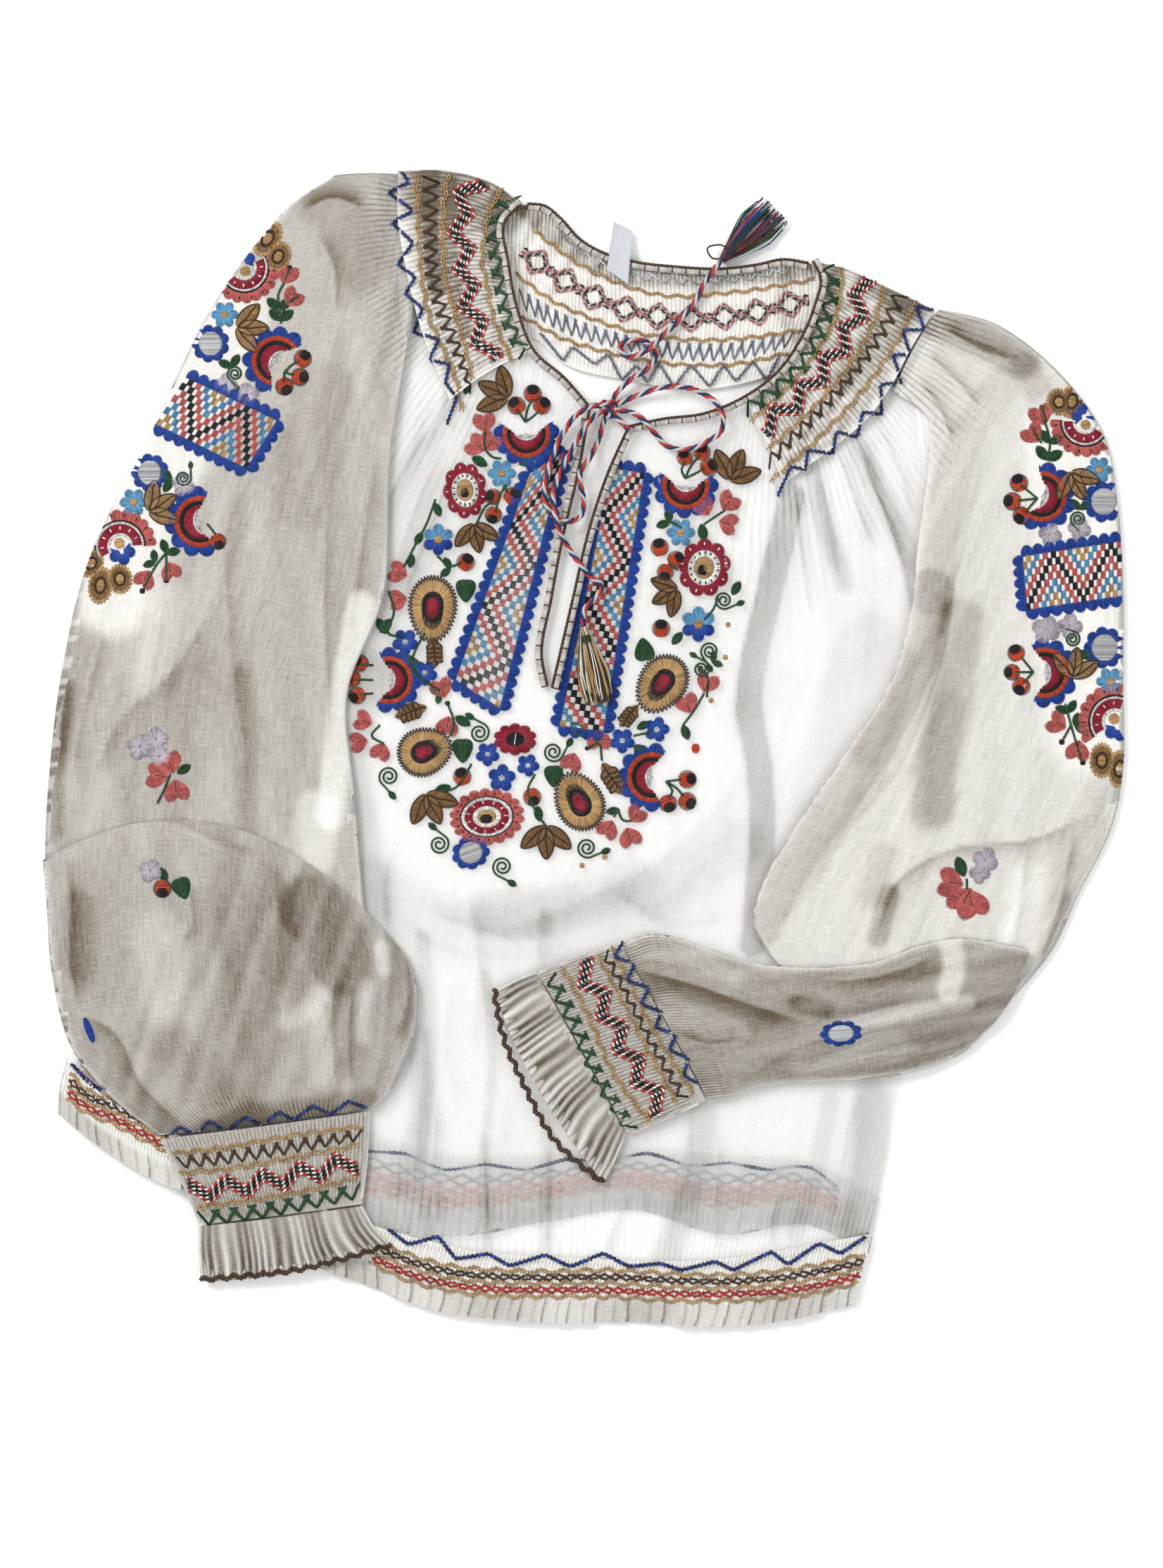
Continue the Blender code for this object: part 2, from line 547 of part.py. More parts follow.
def lay_tassel(pile, name, head_x, head_y, end_x, end_y, spread):
    """Tassel: a bound head whose far side grows one strand from each of its cells."""
    head, end = np.array((head_x, head_y)), np.array((end_x, end_y))
    reach = np.linalg.norm(end - head)
    along = (end - head) / reach
    side = np.array((-along[1], along[0]))
    long, wide, tall = TASSEL_HEAD
    bed = pile.read(head + along * np.linspace(0, long, 5)[:, None], 2).max() + SEAM
    bm = bmesh.new()
    bmesh.ops.create_grid(bm, x_segments=TASSEL_ACROSS, y_segments=TASSEL_HIGH, size=0.5)
    cells = bm.faces[:]
    for vert in bm.verts:
        plan = head + along * long + side * vert.co.x * wide
        vert.co = Vector((*plan, bed + (vert.co.y + 0.5) * tall)) * MM
    middle = Vector((*(head + along * long), bed + tall / 2)) * MM
    rear = bmesh.ops.extrude_face_region(bm, geom=cells)["geom"]
    for vert in (item for item in rear if isinstance(item, bmesh.types.BMVert)):
        vert.co = middle + (vert.co - middle) * 0.6 - Vector((*along, 0.0)) * long * MM
    bmesh.ops.recalc_face_normals(bm, faces=bm.faces)
    front = Vector((*along, 0.0))
    cells = [face for face in bm.faces if face.normal.dot(front) > 0.95
             and abs((face.calc_center_median() - middle).dot(front)) < 0.1 * MM]
    bmesh.ops.inset_individual(bm, faces=cells, thickness=0.14 * MM, use_even_offset=True)
    for number, face in enumerate(cells):
        centre = face.calc_center_median() - middle
        lane = 2 * (centre.x * side[0] + centre.y * side[1]) / (wide * MM)
        level = centre.z / (tall * MM) + 0.5
        uneven = 0.94 + 0.06 * math.sin(2.3 * number)
        stops = []
        for share in (0.3, 0.65, 1.0):
            sway = lane * (wide + (spread - wide) * share) / 2 + 0.5 * math.sin(number + 3 * share)
            plan = head + along * (long + (reach - long) * share * uneven) + side * sway
            rest = pile.read(plan[None], 1)[0]
            stops.append(Vector((*plan, rest + 0.7 + level * tall * (1 - 0.25 * share))) * MM)
        grow(bm, face, stops, STRAND)
    return finish(name, bm, TASSEL_THREAD)


def lay_back(pile):
    """Back panel, its smocked hem with the ruffle, its smocked yoke and the neck binding on it."""
    edges = (curve(BACK_TOP), curve(BACK_HEM), curve(BACK_LEFT), curve(BACK_RIGHT))
    points = patch(*edges, 16, 12)
    lay_wall(pile, "back_panel", points, ridges(points, BACK_FOLDS), CLOTH)
    top = points[-1] - (0, BUTT)
    points = patch(chords(top), curve(BACK_RUFFLE), curve((top[0], BACK_RUFFLE[0])),
                   curve((top[-1], BACK_RUFFLE[-1])), 32, 2)
    lay_wall(pile, "hem_back", points, parity(32, 2, WAVE * 0.6, False, 0.4), CLOTH, bed=Pile())
    edges = YOKE_BACK_EDGES
    points = patch(curve(edges["neck"]), curve(edges["stitches"]), curve(edges["left"]),
                   curve(edges["right"]), 2 * YOKE_PIPES, 4)
    lay_wall(pile, "yoke_back", points, parity(2 * YOKE_PIPES, 4, PIPE, True, 0.0), CLOTH)
    lay_strip(pile, "binding_neck_back", NECK_BACK, BINDING_WIDTH, -1, 18, BINDING_THREAD)


def lay_front(pile):
    """Front panel with the slit cut in it, and its smocked hem with the ruffle."""
    under = pile.before()
    slit = np.array(SLIT)
    slit_left, slit_right = curve(slit[:, 1:3], slit[:, 0]), curve(slit[:, 3:5], slit[:, 0])
    left = patch(curve(FRONT_TOP_LEFT), curve(FRONT_HEM_LEFT), curve(BODY_LEFT), slit_left, 16, 15)
    right = patch(curve(FRONT_TOP_RIGHT), curve(FRONT_HEM_RIGHT), slit_right, curve(BODY_RIGHT), 15, 15)
    points = np.concatenate((left, right), axis=1)
    lay_wall(pile, "front_panel", points, ridges(points, FRONT_FOLDS), CLOTH, hole=(16, SLIT_ROWS))
    top = points[-1] - (0, BUTT)
    points = patch(chords(top), curve(RUFFLE_BOTTOM), curve((top[0], *HEM_LEFT)),
                   curve((top[-1], *HEM_RIGHT)), 2 * HEM_WAVES, 4)
    relief = parity(2 * HEM_WAVES, 4, WAVE, False, 1.0)
    relief[:2] = parity(2 * HEM_WAVES, 1, PIPE, True, 0.0)
    lay_wall(pile, "hem_front", points, relief, CLOTH, bed=under)


def lay_sleeves(pile):
    """Both sleeves: upper arm, forearm folded over it, smocked cuff and ruffle, each an open tube."""
    for side, upper, fore, cuff, ruffle, folds in (
            ("left", SLEEVE_LEFT, FORE_LEFT, CUFF_LEFT, RUFFLE_LEFT, (LEFT_FOLDS, FORE_LEFT_FOLDS)),
            ("right", SLEEVE_RIGHT, FORE_RIGHT, CUFF_RIGHT, RUFFLE_RIGHT, (RIGHT_FOLDS, FORE_RIGHT_FOLDS))):
        lay_tube(pile, f"sleeve_{side}", upper, 11, 12, 5, lambda at: ridges(at, folds[0]),
                 SLEEVE_HOLLOW, SLEEVE_CLOTH)
        under = pile.before()
        lay_tube(pile, f"forearm_{side}", fore, 9, 14, 5, lambda at: ridges(at, folds[1]),
                 BALLOON_HOLLOW, SLEEVE_CLOTH)
        pipes = 2 * CUFF_PIPES
        lay_tube(pile, f"cuff_{side}", cuff, 3, pipes, 5, lambda at: parity(pipes, 3, PIPE, True, 0.0),
                 1.0, SLEEVE_CLOTH, under)
        lay_tube(pile, f"ruffle_{side}", ruffle, 2, pipes, 5,
                 lambda at: parity(pipes, 2, WAVE, False, 1.0), 1.4, SLEEVE_CLOTH, under)


def lay_yokes(pile):
    """Smocked shoulder yokes, left and right, over the panels and the sleeve heads."""
    for side, edges in (("left", YOKE_LEFT_EDGES), ("right", YOKE_RIGHT_EDGES)):
        points = patch(curve(edges["inner"]), curve(edges["outer"]), curve(edges["fold"]),
                       curve(edges["front"]), 2 * YOKE_PIPES, 5)
        lay_wall(pile, f"yoke_{side}", points, parity(2 * YOKE_PIPES, 5, PIPE, True, 0.0), CLOTH)


def lay_bindings(pile):
    """Bindings of the front neck edge and of the slit."""
    slit = np.array(SLIT[:SLIT_ROWS + 1])
    for name, route, side, segments in (
            ("binding_neck_left", NECK_LEFT, -1, 12), ("binding_neck_right", NECK_RIGHT, -1, 14),
            ("binding_slit_left", slit[:, 1:3], -1, 12), ("binding_slit_right", slit[:, 3:5], 1, 12)):
        lay_strip(pile, name, route, BINDING_WIDTH, side, segments, BINDING_THREAD)


def lay_trim(pile):
    """Blank tag, drawstring, knot and tassels."""
    edges = LABEL_EDGES
    points = patch(curve(edges["foot"]), curve(edges["tip"]), curve(edges["left"]), curve(edges["right"]),
                   3, 6)
    lay_wall(pile, "tag", points, 0.0, TAG_CLOTH, thick=0.8)
    lay_knot(pile)
    for name, route in CORDS.items():
        lay_cord(pile, name, route)
    for name, sizes in TASSELS.items():
        lay_tassel(pile, name, *sizes)


def main():
    """Lay the blouse piece by piece."""
    for thing in list(bpy.data.objects):
        bpy.data.objects.remove(thing, do_unlink=True)
    pile = Pile()
    lay_back(pile)
    lay_front(pile)
    lay_sleeves(pile)
    lay_yokes(pile)
    lay_bindings(pile)
    lay_trim(pile)


main()
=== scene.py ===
"""Looks of an embroidered peasant blouse of sheer cotton, laid flat on a pale table.

X runs to the viewer's right, Y towards the neck and Z up from the table. Tables and cloth sizes are
in millimetres, and every mesh is written in metres.
"""
from __future__ import annotations

import logging
import math
from dataclasses import dataclass, field, replace
from enum import Enum
from typing import Callable, ClassVar, Iterable, Sequence

import bmesh
import bpy
import numpy as np
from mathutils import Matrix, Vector
from mathutils.bvhtree import BVHTree

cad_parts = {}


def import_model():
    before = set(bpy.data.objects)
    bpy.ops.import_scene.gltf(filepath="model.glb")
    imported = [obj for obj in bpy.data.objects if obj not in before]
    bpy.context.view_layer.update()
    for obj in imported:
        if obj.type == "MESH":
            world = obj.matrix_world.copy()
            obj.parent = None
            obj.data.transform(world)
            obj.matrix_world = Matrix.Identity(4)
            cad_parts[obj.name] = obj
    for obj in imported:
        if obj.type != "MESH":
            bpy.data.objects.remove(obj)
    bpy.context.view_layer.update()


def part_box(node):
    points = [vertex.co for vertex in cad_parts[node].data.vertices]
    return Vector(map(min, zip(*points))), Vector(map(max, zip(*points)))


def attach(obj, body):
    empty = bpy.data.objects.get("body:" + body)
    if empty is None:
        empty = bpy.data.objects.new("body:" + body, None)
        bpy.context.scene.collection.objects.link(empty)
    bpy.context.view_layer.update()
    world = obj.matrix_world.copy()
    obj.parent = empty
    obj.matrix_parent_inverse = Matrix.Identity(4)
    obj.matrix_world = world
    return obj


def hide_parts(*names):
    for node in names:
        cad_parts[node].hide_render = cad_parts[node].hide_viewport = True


LOG = logging.getLogger("blouse")
MM = 0.001
LEAST_HEIGHT = 0.12  # millimetres above the table below which no cloth goes
SATIN_PITCH = 0.5  # millimetres between satin stitches
SPINDLE_EDGE = 0.866  # reach of a three-sided ring across its widest side, of a radius of 1
SPINDLE_SHOULDER = 0.78  # share of half a stitch at which it is full
THREAD_TURN = 2.39996  # radians from one tassel thread to the next, so that they fill a round evenly
Curve = Callable[[np.ndarray], np.ndarray]
Route = Sequence[Sequence[float]]
Gathers = tuple[np.ndarray, np.ndarray]


class Thread(Enum):
    """Dyes of the embroidery and drawstring cotton, as linear colours."""

    ROYAL = (0.006, 0.048, 0.300)
    NAVY = (0.008, 0.018, 0.085)
    SKY = (0.095, 0.280, 0.470)
    CRIMSON = (0.270, 0.006, 0.026)
    ORANGE = (0.480, 0.055, 0.016)
    RED = (0.420, 0.022, 0.014)
    SALMON = (0.500, 0.110, 0.100)
    TAN = (0.470, 0.295, 0.120)
    BROWN = (0.215, 0.112, 0.038)
    OCHRE = (0.330, 0.190, 0.070)
    COCOA = (0.058, 0.026, 0.010)
    UMBER = (0.036, 0.017, 0.007)
    BLACK = (0.008, 0.006, 0.009)
    GREEN = (0.010, 0.062, 0.018)
    WHITE = (0.760, 0.745, 0.710)
    GREY = (0.480, 0.480, 0.490)
    SLATE = (0.150, 0.170, 0.230)
    HAZE = (0.420, 0.380, 0.430)


class Dye:
    """Node tree of one material, with short calls to add nodes and join them."""

    def __init__(self, name: str, colour: Sequence[float], roughness: float) -> None:
        """Start a material with one shader.

        Args:
            name: name of the material.
            colour: linear base colour.
            roughness: roughness of the finish.
        """
        self.material = bpy.data.materials.new(name)
        self.material.use_nodes = True
        self.tree = self.material.node_tree
        self.shader = self.tree.nodes["Principled BSDF"]
        self.shader.inputs["Base Color"].default_value = (*colour, 1.0)
        self.shader.inputs["Roughness"].default_value = roughness
        self.shader.inputs["Specular IOR Level"].default_value = 0.25

    def add(self, kind: str, inputs: dict[str, object] | None = None, **settings: object) -> bpy.types.Node:
        """Add a node.

        Args:
            kind: node type without its ShaderNode prefix.
            inputs: values by socket name.
            settings: the node's own properties.

        Returns:
            The new node.
        """
        node = self.tree.nodes.new("ShaderNode" + kind)
        for key, value in settings.items():
            setattr(node, key, value)
        for key, value in (inputs or {}).items():
            node.inputs[key].default_value = value
        return node

    def join(self, source: bpy.types.NodeSocket, target: bpy.types.NodeSocket) -> None:
        """Join two sockets."""
        self.tree.links.new(source, target)

    def mix(self, first: Sequence[float], second: Sequence[float],
            share: bpy.types.NodeSocket) -> bpy.types.NodeSocket:
        """Mix two colours by a share and return the colour's socket.

        Args:
            first: colour where the share is 0.
            second: colour where the share is 1.
            share: socket that chooses between them.

        Returns:
            The mixed colour.
        """
        node = self.add("Mix", data_type="RGBA")
        node.inputs[6].default_value = (*first, 1.0)
        node.inputs[7].default_value = (*second, 1.0)
        self.join(share, node.inputs[0])
        return node.outputs[2]

    def sum_up(self, operation: str, *values: bpy.types.NodeSocket | float,
               clamp: bool = False) -> bpy.types.NodeSocket:
        """Do one step of arithmetic on sockets and numbers and return the result's socket.

        Args:
            operation: name of the math node's operation.
            values: its inputs, in their order.
            clamp: keep the result between 0 and 1.

        Returns:
            The result.
        """
        node = self.add("Math", operation=operation, use_clamp=clamp)
        for socket, value in zip(node.inputs, values):
            if isinstance(value, bpy.types.NodeSocket):
                self.join(value, socket)
            else:
                socket.default_value = value
        return node.outputs[0]

    def bump(self, height: bpy.types.NodeSocket, strength: float, distance: float) -> None:
        """Feed a bump to the shader's normal.

        Args:
            height: socket with the height.
            strength: strength of the bump.
            distance: depth in metres.
        """
        node = self.add("Bump", {"Strength": strength, "Distance": distance})
        self.join(height, node.inputs["Height"])
        self.join(node.outputs[0], self.shader.inputs["Normal"])


@dataclass(frozen=True)
class Voile:
    """Sheer cotton, pale where it lies single and greyer where gathers and layers pile up, with painted shade
    along its folds and gathers.
    """

    name: str
    thin: tuple[float, float, float]
    dense_shaded: tuple[float, float, float]
    alpha: float

    def material(self) -> bpy.types.Material:
        """Return the cloth's material, darkened by a mesh attribute that holds its layers of cloth together
        with the painted shade of its folds.

        Returns:
            The finished material.
        """
        if self.name in bpy.data.materials:
            return bpy.data.materials[self.name]
        dye = Dye(self.name, self.thin, 0.88)
        dye.shader.inputs["Sheen Weight"].default_value = 0.15
        place = dye.add("TexCoord")
        slubs = []
        for scale in ((0.9, 0.05, 1.0), (0.05, 0.9, 1.0)):
            stretch = dye.add("Mapping", {"Scale": scale})
            noise = dye.add("TexNoise", {"Scale": 2.2, "Detail": 3.0, "Roughness": 0.6})
            dye.join(place.outputs["UV"], stretch.inputs["Vector"])
            dye.join(stretch.outputs[0], noise.inputs["Vector"])
            slubs.append(noise.outputs["Fac"])
        weave_and_sheen = dye.sum_up("ADD", slubs[0], slubs[1])
        marks = {name: dye.add("Attribute", attribute_name=name).outputs["Fac"]
                 for name in ("layers", "phase", "gather")}
        wander = dye.add("TexNoise", {"Scale": 24.0, "Detail": 2.0, "Roughness": 0.5})
        patchy = dye.add("TexNoise", {"Scale": 60.0, "Detail": 2.0})
        for noise in (wander, patchy):
            dye.join(place.outputs["Object"], noise.inputs["Vector"])
        # Painted shade: dark lines along the valleys of the gathers, which the same waves also bump
        phase = dye.sum_up("MULTIPLY_ADD", wander.outputs["Fac"], 1.5, marks["phase"])
        wave = dye.sum_up("SINE", dye.sum_up("MULTIPLY", phase, 2 * math.pi))
        line = dye.sum_up("POWER", dye.sum_up("MULTIPLY_ADD", wave, 0.5, 0.5), 4.0)
        broken = dye.sum_up("MULTIPLY_ADD", patchy.outputs["Fac"], 2.4, -0.65)
        depth = dye.sum_up("MULTIPLY", marks["gather"], broken)
        # Streaks along and across the threads lighten and darken the cloth: partly yarn slubs and partly
        # painted sheen; they also bump it
        uneven = dye.sum_up("MULTIPLY_ADD", weave_and_sheen, 0.40, -0.40)
        # Base colour: pale cloth darkened towards the shaded dense colour by layers, painted fold shade and
        # the painted gather lines
        total = dye.sum_up("ADD", dye.sum_up("ADD", marks["layers"], uneven),
                           dye.sum_up("MULTIPLY", line, depth), clamp=True)
        dye.join(dye.mix(self.thin, self.dense_shaded, total), dye.shader.inputs["Base Color"])
        dye.join(dye.sum_up("MULTIPLY_ADD", marks["layers"], 0.45, self.alpha, clamp=True),
                 dye.shader.inputs["Alpha"])
        height = dye.sum_up("MULTIPLY_ADD", dye.sum_up("MULTIPLY", wave, marks["gather"]), -0.9, weave_and_sheen)
        dye.bump(height, 0.5, 0.0005)
        return dye.material


@dataclass(frozen=True)
class Cotton:
    """Twisted embroidery cotton of one dye, with a soft lustre and an uneven tone from stitch to stitch."""

    thread: Thread

    def material(self) -> bpy.types.Material:
        """Return the thread's material.

        Returns:
            The finished material.
        """
        name = f"cotton_{self.thread.name.lower()}"
        if name in bpy.data.materials:
            return bpy.data.materials[name]
        colour = self.thread.value
        dye = Dye(name, colour, 0.5)
        dye.shader.inputs["Specular IOR Level"].default_value = 0.35
        tone = dye.add("Attribute", attribute_name="tone")
        place = dye.add("TexCoord")
        ply = dye.add("TexNoise", {"Scale": 2600.0, "Detail": 2.0})
        dye.join(place.outputs["Object"], ply.inputs["Vector"])
        dark = tuple(0.55 * part for part in colour)
        light = tuple(min(1.0, 1.15 * part + 0.004) for part in colour)
        dye.join(dye.mix(dark, light, tone.outputs["Fac"]), dye.shader.inputs["Base Color"])
        dye.bump(ply.outputs["Fac"], 0.3, 0.0001)
        return dye.material


def cottons(threads: Iterable[Thread]) -> list[bpy.types.Material]:
    """Materials of several dyes, in their order."""
    return [Cotton(thread).material() for thread in threads]


BODY = Voile("voile_body", (0.93, 0.925, 0.905), (0.120, 0.106, 0.085), 0.34)
SLEEVE = Voile("voile_sleeve", (0.935, 0.918, 0.88), (0.098, 0.072, 0.041), 0.80)
SATIN = Voile("tag_satin", (0.78, 0.80, 0.84), (0.40, 0.41, 0.45), 1.0)
GATHERS = Voile("voile_gathers", (0.915, 0.898, 0.86), (0.116, 0.092, 0.062), 0.86)


def run_lengths(points: np.ndarray) -> tuple[np.ndarray, float]:
    """Length of the run up to each of a row of points, and its whole length."""
    steps = np.linalg.norm(np.diff(points, axis=0), axis=1)
    return np.concatenate(([0.0], np.cumsum(steps))), steps.sum()


def curve(points: Route, knots: Sequence[float] | None = None) -> Curve:
    """Smooth curve through points.

    Args:
        points: the points, in order.
        knots: where each point lies from 0 to 1; the lengths of the chords decide if left out.

    Returns:
        A function that reads the curve at shares from 0 to 1.
    """
    nodes = np.array(points, float)
    if knots is None:
        walked, whole = run_lengths(nodes)
        knots = walked / whole
    stops = np.array(knots, float)
    slopes = np.gradient(nodes, stops, axis=0)

    def read(where: np.ndarray) -> np.ndarray:
        """Spots at shares of the way.

        Args:
            where: shares from 0 to 1.

        Returns:
            One spot for each share.
        """
        where = np.atleast_1d(np.asarray(where, float))
        left = np.clip(np.searchsorted(stops, where, side="right") - 1, 0, len(stops) - 2)
        width = (stops[left + 1] - stops[left])[:, None]
        t = ((where - stops[left]) / width[:, 0])[:, None]
        return (nodes[left] * (2 * t ** 3 - 3 * t ** 2 + 1) + nodes[left + 1] * (3 * t ** 2 - 2 * t ** 3)
                + slopes[left] * width * (t ** 3 - 2 * t ** 2 + t)
                + slopes[left + 1] * width * (t ** 3 - t ** 2))

    return read


def polyline(points: Route) -> Curve:
    """Straight runs through points, read at shares of their length from 0 to 1.

    Args:
        points: corners in millimetres.

    Returns:
        The line, read with shares from 0 to 1.
    """
    nodes = np.array(points, float)
    walked, whole = run_lengths(nodes)
    return lambda where: np.stack([np.interp(where, walked / whole, column) for column in nodes.T], axis=1)


def spaced(line: Curve, step: float) -> np.ndarray:
    """Points along a curve, about one step apart.

    Args:
        line: curve to walk along.
        step: distance between spots in millimetres.

    Returns:
        The spots, both ends among them.
    """
    fine = line(np.linspace(0, 1, 400))
    length = run_lengths(fine)[0]
    count = max(2, int(round(length[-1] / step)) + 1)
    where = np.linspace(0, length[-1], count)
    return np.stack([np.interp(where, length, column) for column in fine.T], axis=1)


def normals(points: np.ndarray) -> np.ndarray:
    """Left-hand normals along a row of points, in plan.

    Args:
        points: spots along a line.

    Returns:
        One heading to the left for each point, one unit long.
    """
    heading = np.gradient(points[:, :2], axis=0)
    heading /= np.maximum(np.linalg.norm(heading, axis=1), 1e-9)[:, None]
    return np.stack((-heading[:, 1], heading[:, 0]), axis=1)


def shares(columns: int, rows: int) -> tuple[np.ndarray, np.ndarray]:
    """Shares across and along at every point of a grid of columns x rows faces."""
    return np.meshgrid(np.linspace(0, 1, columns + 1), np.linspace(0, 1, rows + 1))


def patch(top: Curve, bottom: Curve, left: Curve, right: Curve, columns: int, rows: int) -> np.ndarray:
    """Points of a sheet between four edge curves, as rows x columns x 2.

    Args:
        top: upper edge.
        bottom: lower edge.
        left: left edge.
        right: right edge.
        columns: faces across.
        rows: faces down.

    Returns:
        Plan points, rows x columns x 2.
    """
    u, v = np.linspace(0, 1, columns + 1), np.linspace(0, 1, rows + 1)
    top_points, bottom_points = top(u)[None], bottom(u)[None]
    left_points, right_points = left(v)[:, None], right(v)[:, None]
    u, v = u[None, :, None], v[:, None, None]
    corners = ((1 - u) * (1 - v) * top_points[:, :1] + u * (1 - v) * top_points[:, -1:]
               + (1 - u) * v * bottom_points[:, :1] + u * v * bottom_points[:, -1:])
    return (1 - v) * top_points + v * bottom_points + (1 - u) * left_points + u * right_points - corners


def ruled(sections: Route, across: np.ndarray, rows: int) -> np.ndarray:
    """Points of a flattened tube's sections, each bowed through its middle, at the shares across.

    Args:
        sections: left end, middle and right end of each line across the piece.
        across: shares across, from 0 to 1.
        rows: faces along.

    Returns:
        Plan points, rows x columns x 2.
    """
    table = np.array(sections, float)
    spans = curve(table, np.linspace(0, 1, len(table)))(np.linspace(0, 1, rows + 1))[:, None]
    share = np.asarray(across)[None, :, None]
    return (spans[..., :2] * (1 - share) * (1 - 2 * share) + spans[..., 2:4] * 4 * share * (1 - share)
            + spans[..., 4:] * share * (2 * share - 1))


def soften(field: np.ndarray, reach: int) -> np.ndarray:
    """Even out a grid of heights in two passes over a reach of cells, keeping its edges in place.

    Args:
        field: values on a grid.
        reach: how many cells each pass takes in.

    Returns:
        The smoothed grid.
    """
    for _ in range(2):
        for axis in (0, 1):
            width = min(reach, (field.shape[axis] - 1) // 2)
            pads = [(width, width) if axis == side else (0, 0) for side in (0, 1)]
            wide = np.pad(field, pads, mode="reflect", reflect_type="odd")
            steps = [np.take(wide, np.arange(step, step + field.shape[axis]), axis)
                     for step in range(2 * width + 1)]
            field = np.mean(steps, axis=0)
    return field


def cover(points: np.ndarray, route: Route, half_width: float, edge: float) -> np.ndarray:
    """Share of each point that a soft-edged stroke along a route covers, from 0 to 1.

    Args:
        points: plan points.
        route: middle of the stroke.
        half_width: half of its width in millimetres.
        edge: width of its fading edge in millimetres.

    Returns:
        Share from 0 outside to 1 in the stroke.
    """
    line = curve(route)(np.linspace(0, 1, 48))
    flat = points.reshape(-1, 2)
    gaps = np.min([np.hypot(flat[:, 0] - x, flat[:, 1] - y) for x, y in line], axis=0)
    share = np.clip((half_width - gaps) / edge + 0.5, 0, 1)
    return (share * share * (3 - 2 * share)).reshape(points.shape[:-1])


def crease(points: np.ndarray, route: Route, reach: float) -> np.ndarray:
    """Painted shade beside a folded edge, crisp at the edge itself.

    Args:
        points: plan points of the cloth.
        route: the folded edge.
        reach: how far the shade fades to the left of the route, or to its right where negative.

    Returns:
        One share from 0 to 1 for each point.
    """
    line = spaced(curve(route), 2.5)
    side = normals(line) * math.copysign(1.0, reach)
    flat = points.reshape(-1, 2)
    gaps = np.hypot(flat[:, :1] - line[:, 0], flat[:, 1:] - line[:, 1])
    nearest = gaps.argmin(axis=1)
    offset = ((flat - line[nearest]) * side[nearest]).sum(axis=1)
    ends = np.clip(np.minimum(nearest, len(line) - 1 - nearest) / (0.18 * len(line)), 0, 1)
    share = np.clip(offset / 1.8 + 0.5, 0, 1) * np.exp(-np.clip(offset, 0, None) / abs(reach)) * ends
    return np.where(gaps.min(axis=1) < 4 * abs(reach), share, 0).reshape(points.shape[:-1])


def shaded(points: np.ndarray, base: float, strokes: Iterable[tuple]) -> np.ndarray:
    """Density of a cloth, with painted shade: a base, the painted shade of its folds and its lighter places.

    Args:
        points: plan points of the cloth.
        base: density away from every stroke.
        strokes: strength, half width, edge and route of each soft stroke, or strength, reach and route
            of each crease.

    Returns:
        One density from 0 to 1 for each point.
    """
    total = np.full(points.shape[:-1], base)
    for strength, *form, route in strokes:
        total = total + strength * (cover(points, route, *form) if len(form) == 2 else
                                    crease(points, route, *form))
    return np.clip(total, 0, 1)


def crinkle(points: np.ndarray, turn: float, pitch: float, seed: float) -> np.ndarray:
    """Uneven fine creases that run along one direction, from about -1 to 1.

    Args:
        points: plan points.
        turn: heading of the creases in degrees.
        pitch: distance between creases in millimetres.
        seed: number that sets the pattern apart.

    Returns:
        Heights between about -1 and 1.
    """
    angle = math.radians(turn)
    along = points[..., 0] * math.cos(angle) + points[..., 1] * math.sin(angle)
    across = points[..., 1] * math.cos(angle) - points[..., 0] * math.sin(angle)
    bend = (1.9 * np.sin(along / (pitch * 4.1) + seed)
            + 1.1 * np.sin(along / (pitch * 1.9) + across / (pitch * 3) + 2 * seed))
    first = np.sin(2 * math.pi * across / pitch + bend)
    second = np.sin(2 * math.pi * across / (pitch * 0.57) - 1.6 * bend + seed)
    patchy = 0.5 + 0.5 * np.sin(along / (pitch * 2.7) + 2.1 * np.sin(across / (pitch * 2.2) + seed))
    return (0.62 * first + 0.38 * second) * patchy


def distance(points: np.ndarray, route: Route) -> np.ndarray:
    """Distance of each point from a curved route, in plan."""
    line = curve(route)(np.linspace(0, 1, 60))
    return np.min([np.hypot(points[..., 0] - x, points[..., 1] - y) for x, y in line], axis=0)


@dataclass(frozen=True)
class Fan:
    """Fine gathers that spread round a centre from a smocked edge and fade away from it; their depth sets
    painted shade lines along their valleys and the cloth's bump.

    The reach is in millimetres and the pitch, from one gather to the next, in degrees.
    """

    centre: tuple[float, float]
    edge: Route
    reach: float = 80.0
    pitch: float = 1.7
    strength: float = 0.52

    def read(self, points: np.ndarray) -> Gathers:
        """Count of gathers up to each point, and their depth there.

        Args:
            points: plan points.

        Returns:
            The count of gathers and their depth.
        """
        facing = np.mean(np.array(self.edge, float), axis=0) - self.centre
        offset = points - np.array(self.centre)
        turn = np.arctan2(facing[0] * offset[..., 1] - facing[1] * offset[..., 0], offset @ facing)
        fade = np.clip(1 - distance(points, self.edge) / self.reach, 0, 1)
        return np.degrees(turn) / self.pitch, self.strength * fade * np.where(offset @ facing > 0, 1, 0)


def strongest(*gathers: Gathers) -> Gathers:
    """The deepest of several sets of gathers at each point.

    Args:
        gathers: sets of gathers on the same points.

    Returns:
        The count and the depth of the deepest set at each point.
    """
    phases, depths = (np.stack([each[index] for each in gathers]) for index in (0, 1))
    pick = depths.argmax(axis=0)[None]
    return np.take_along_axis(phases, pick, 0)[0], np.take_along_axis(depths, pick, 0)[0]


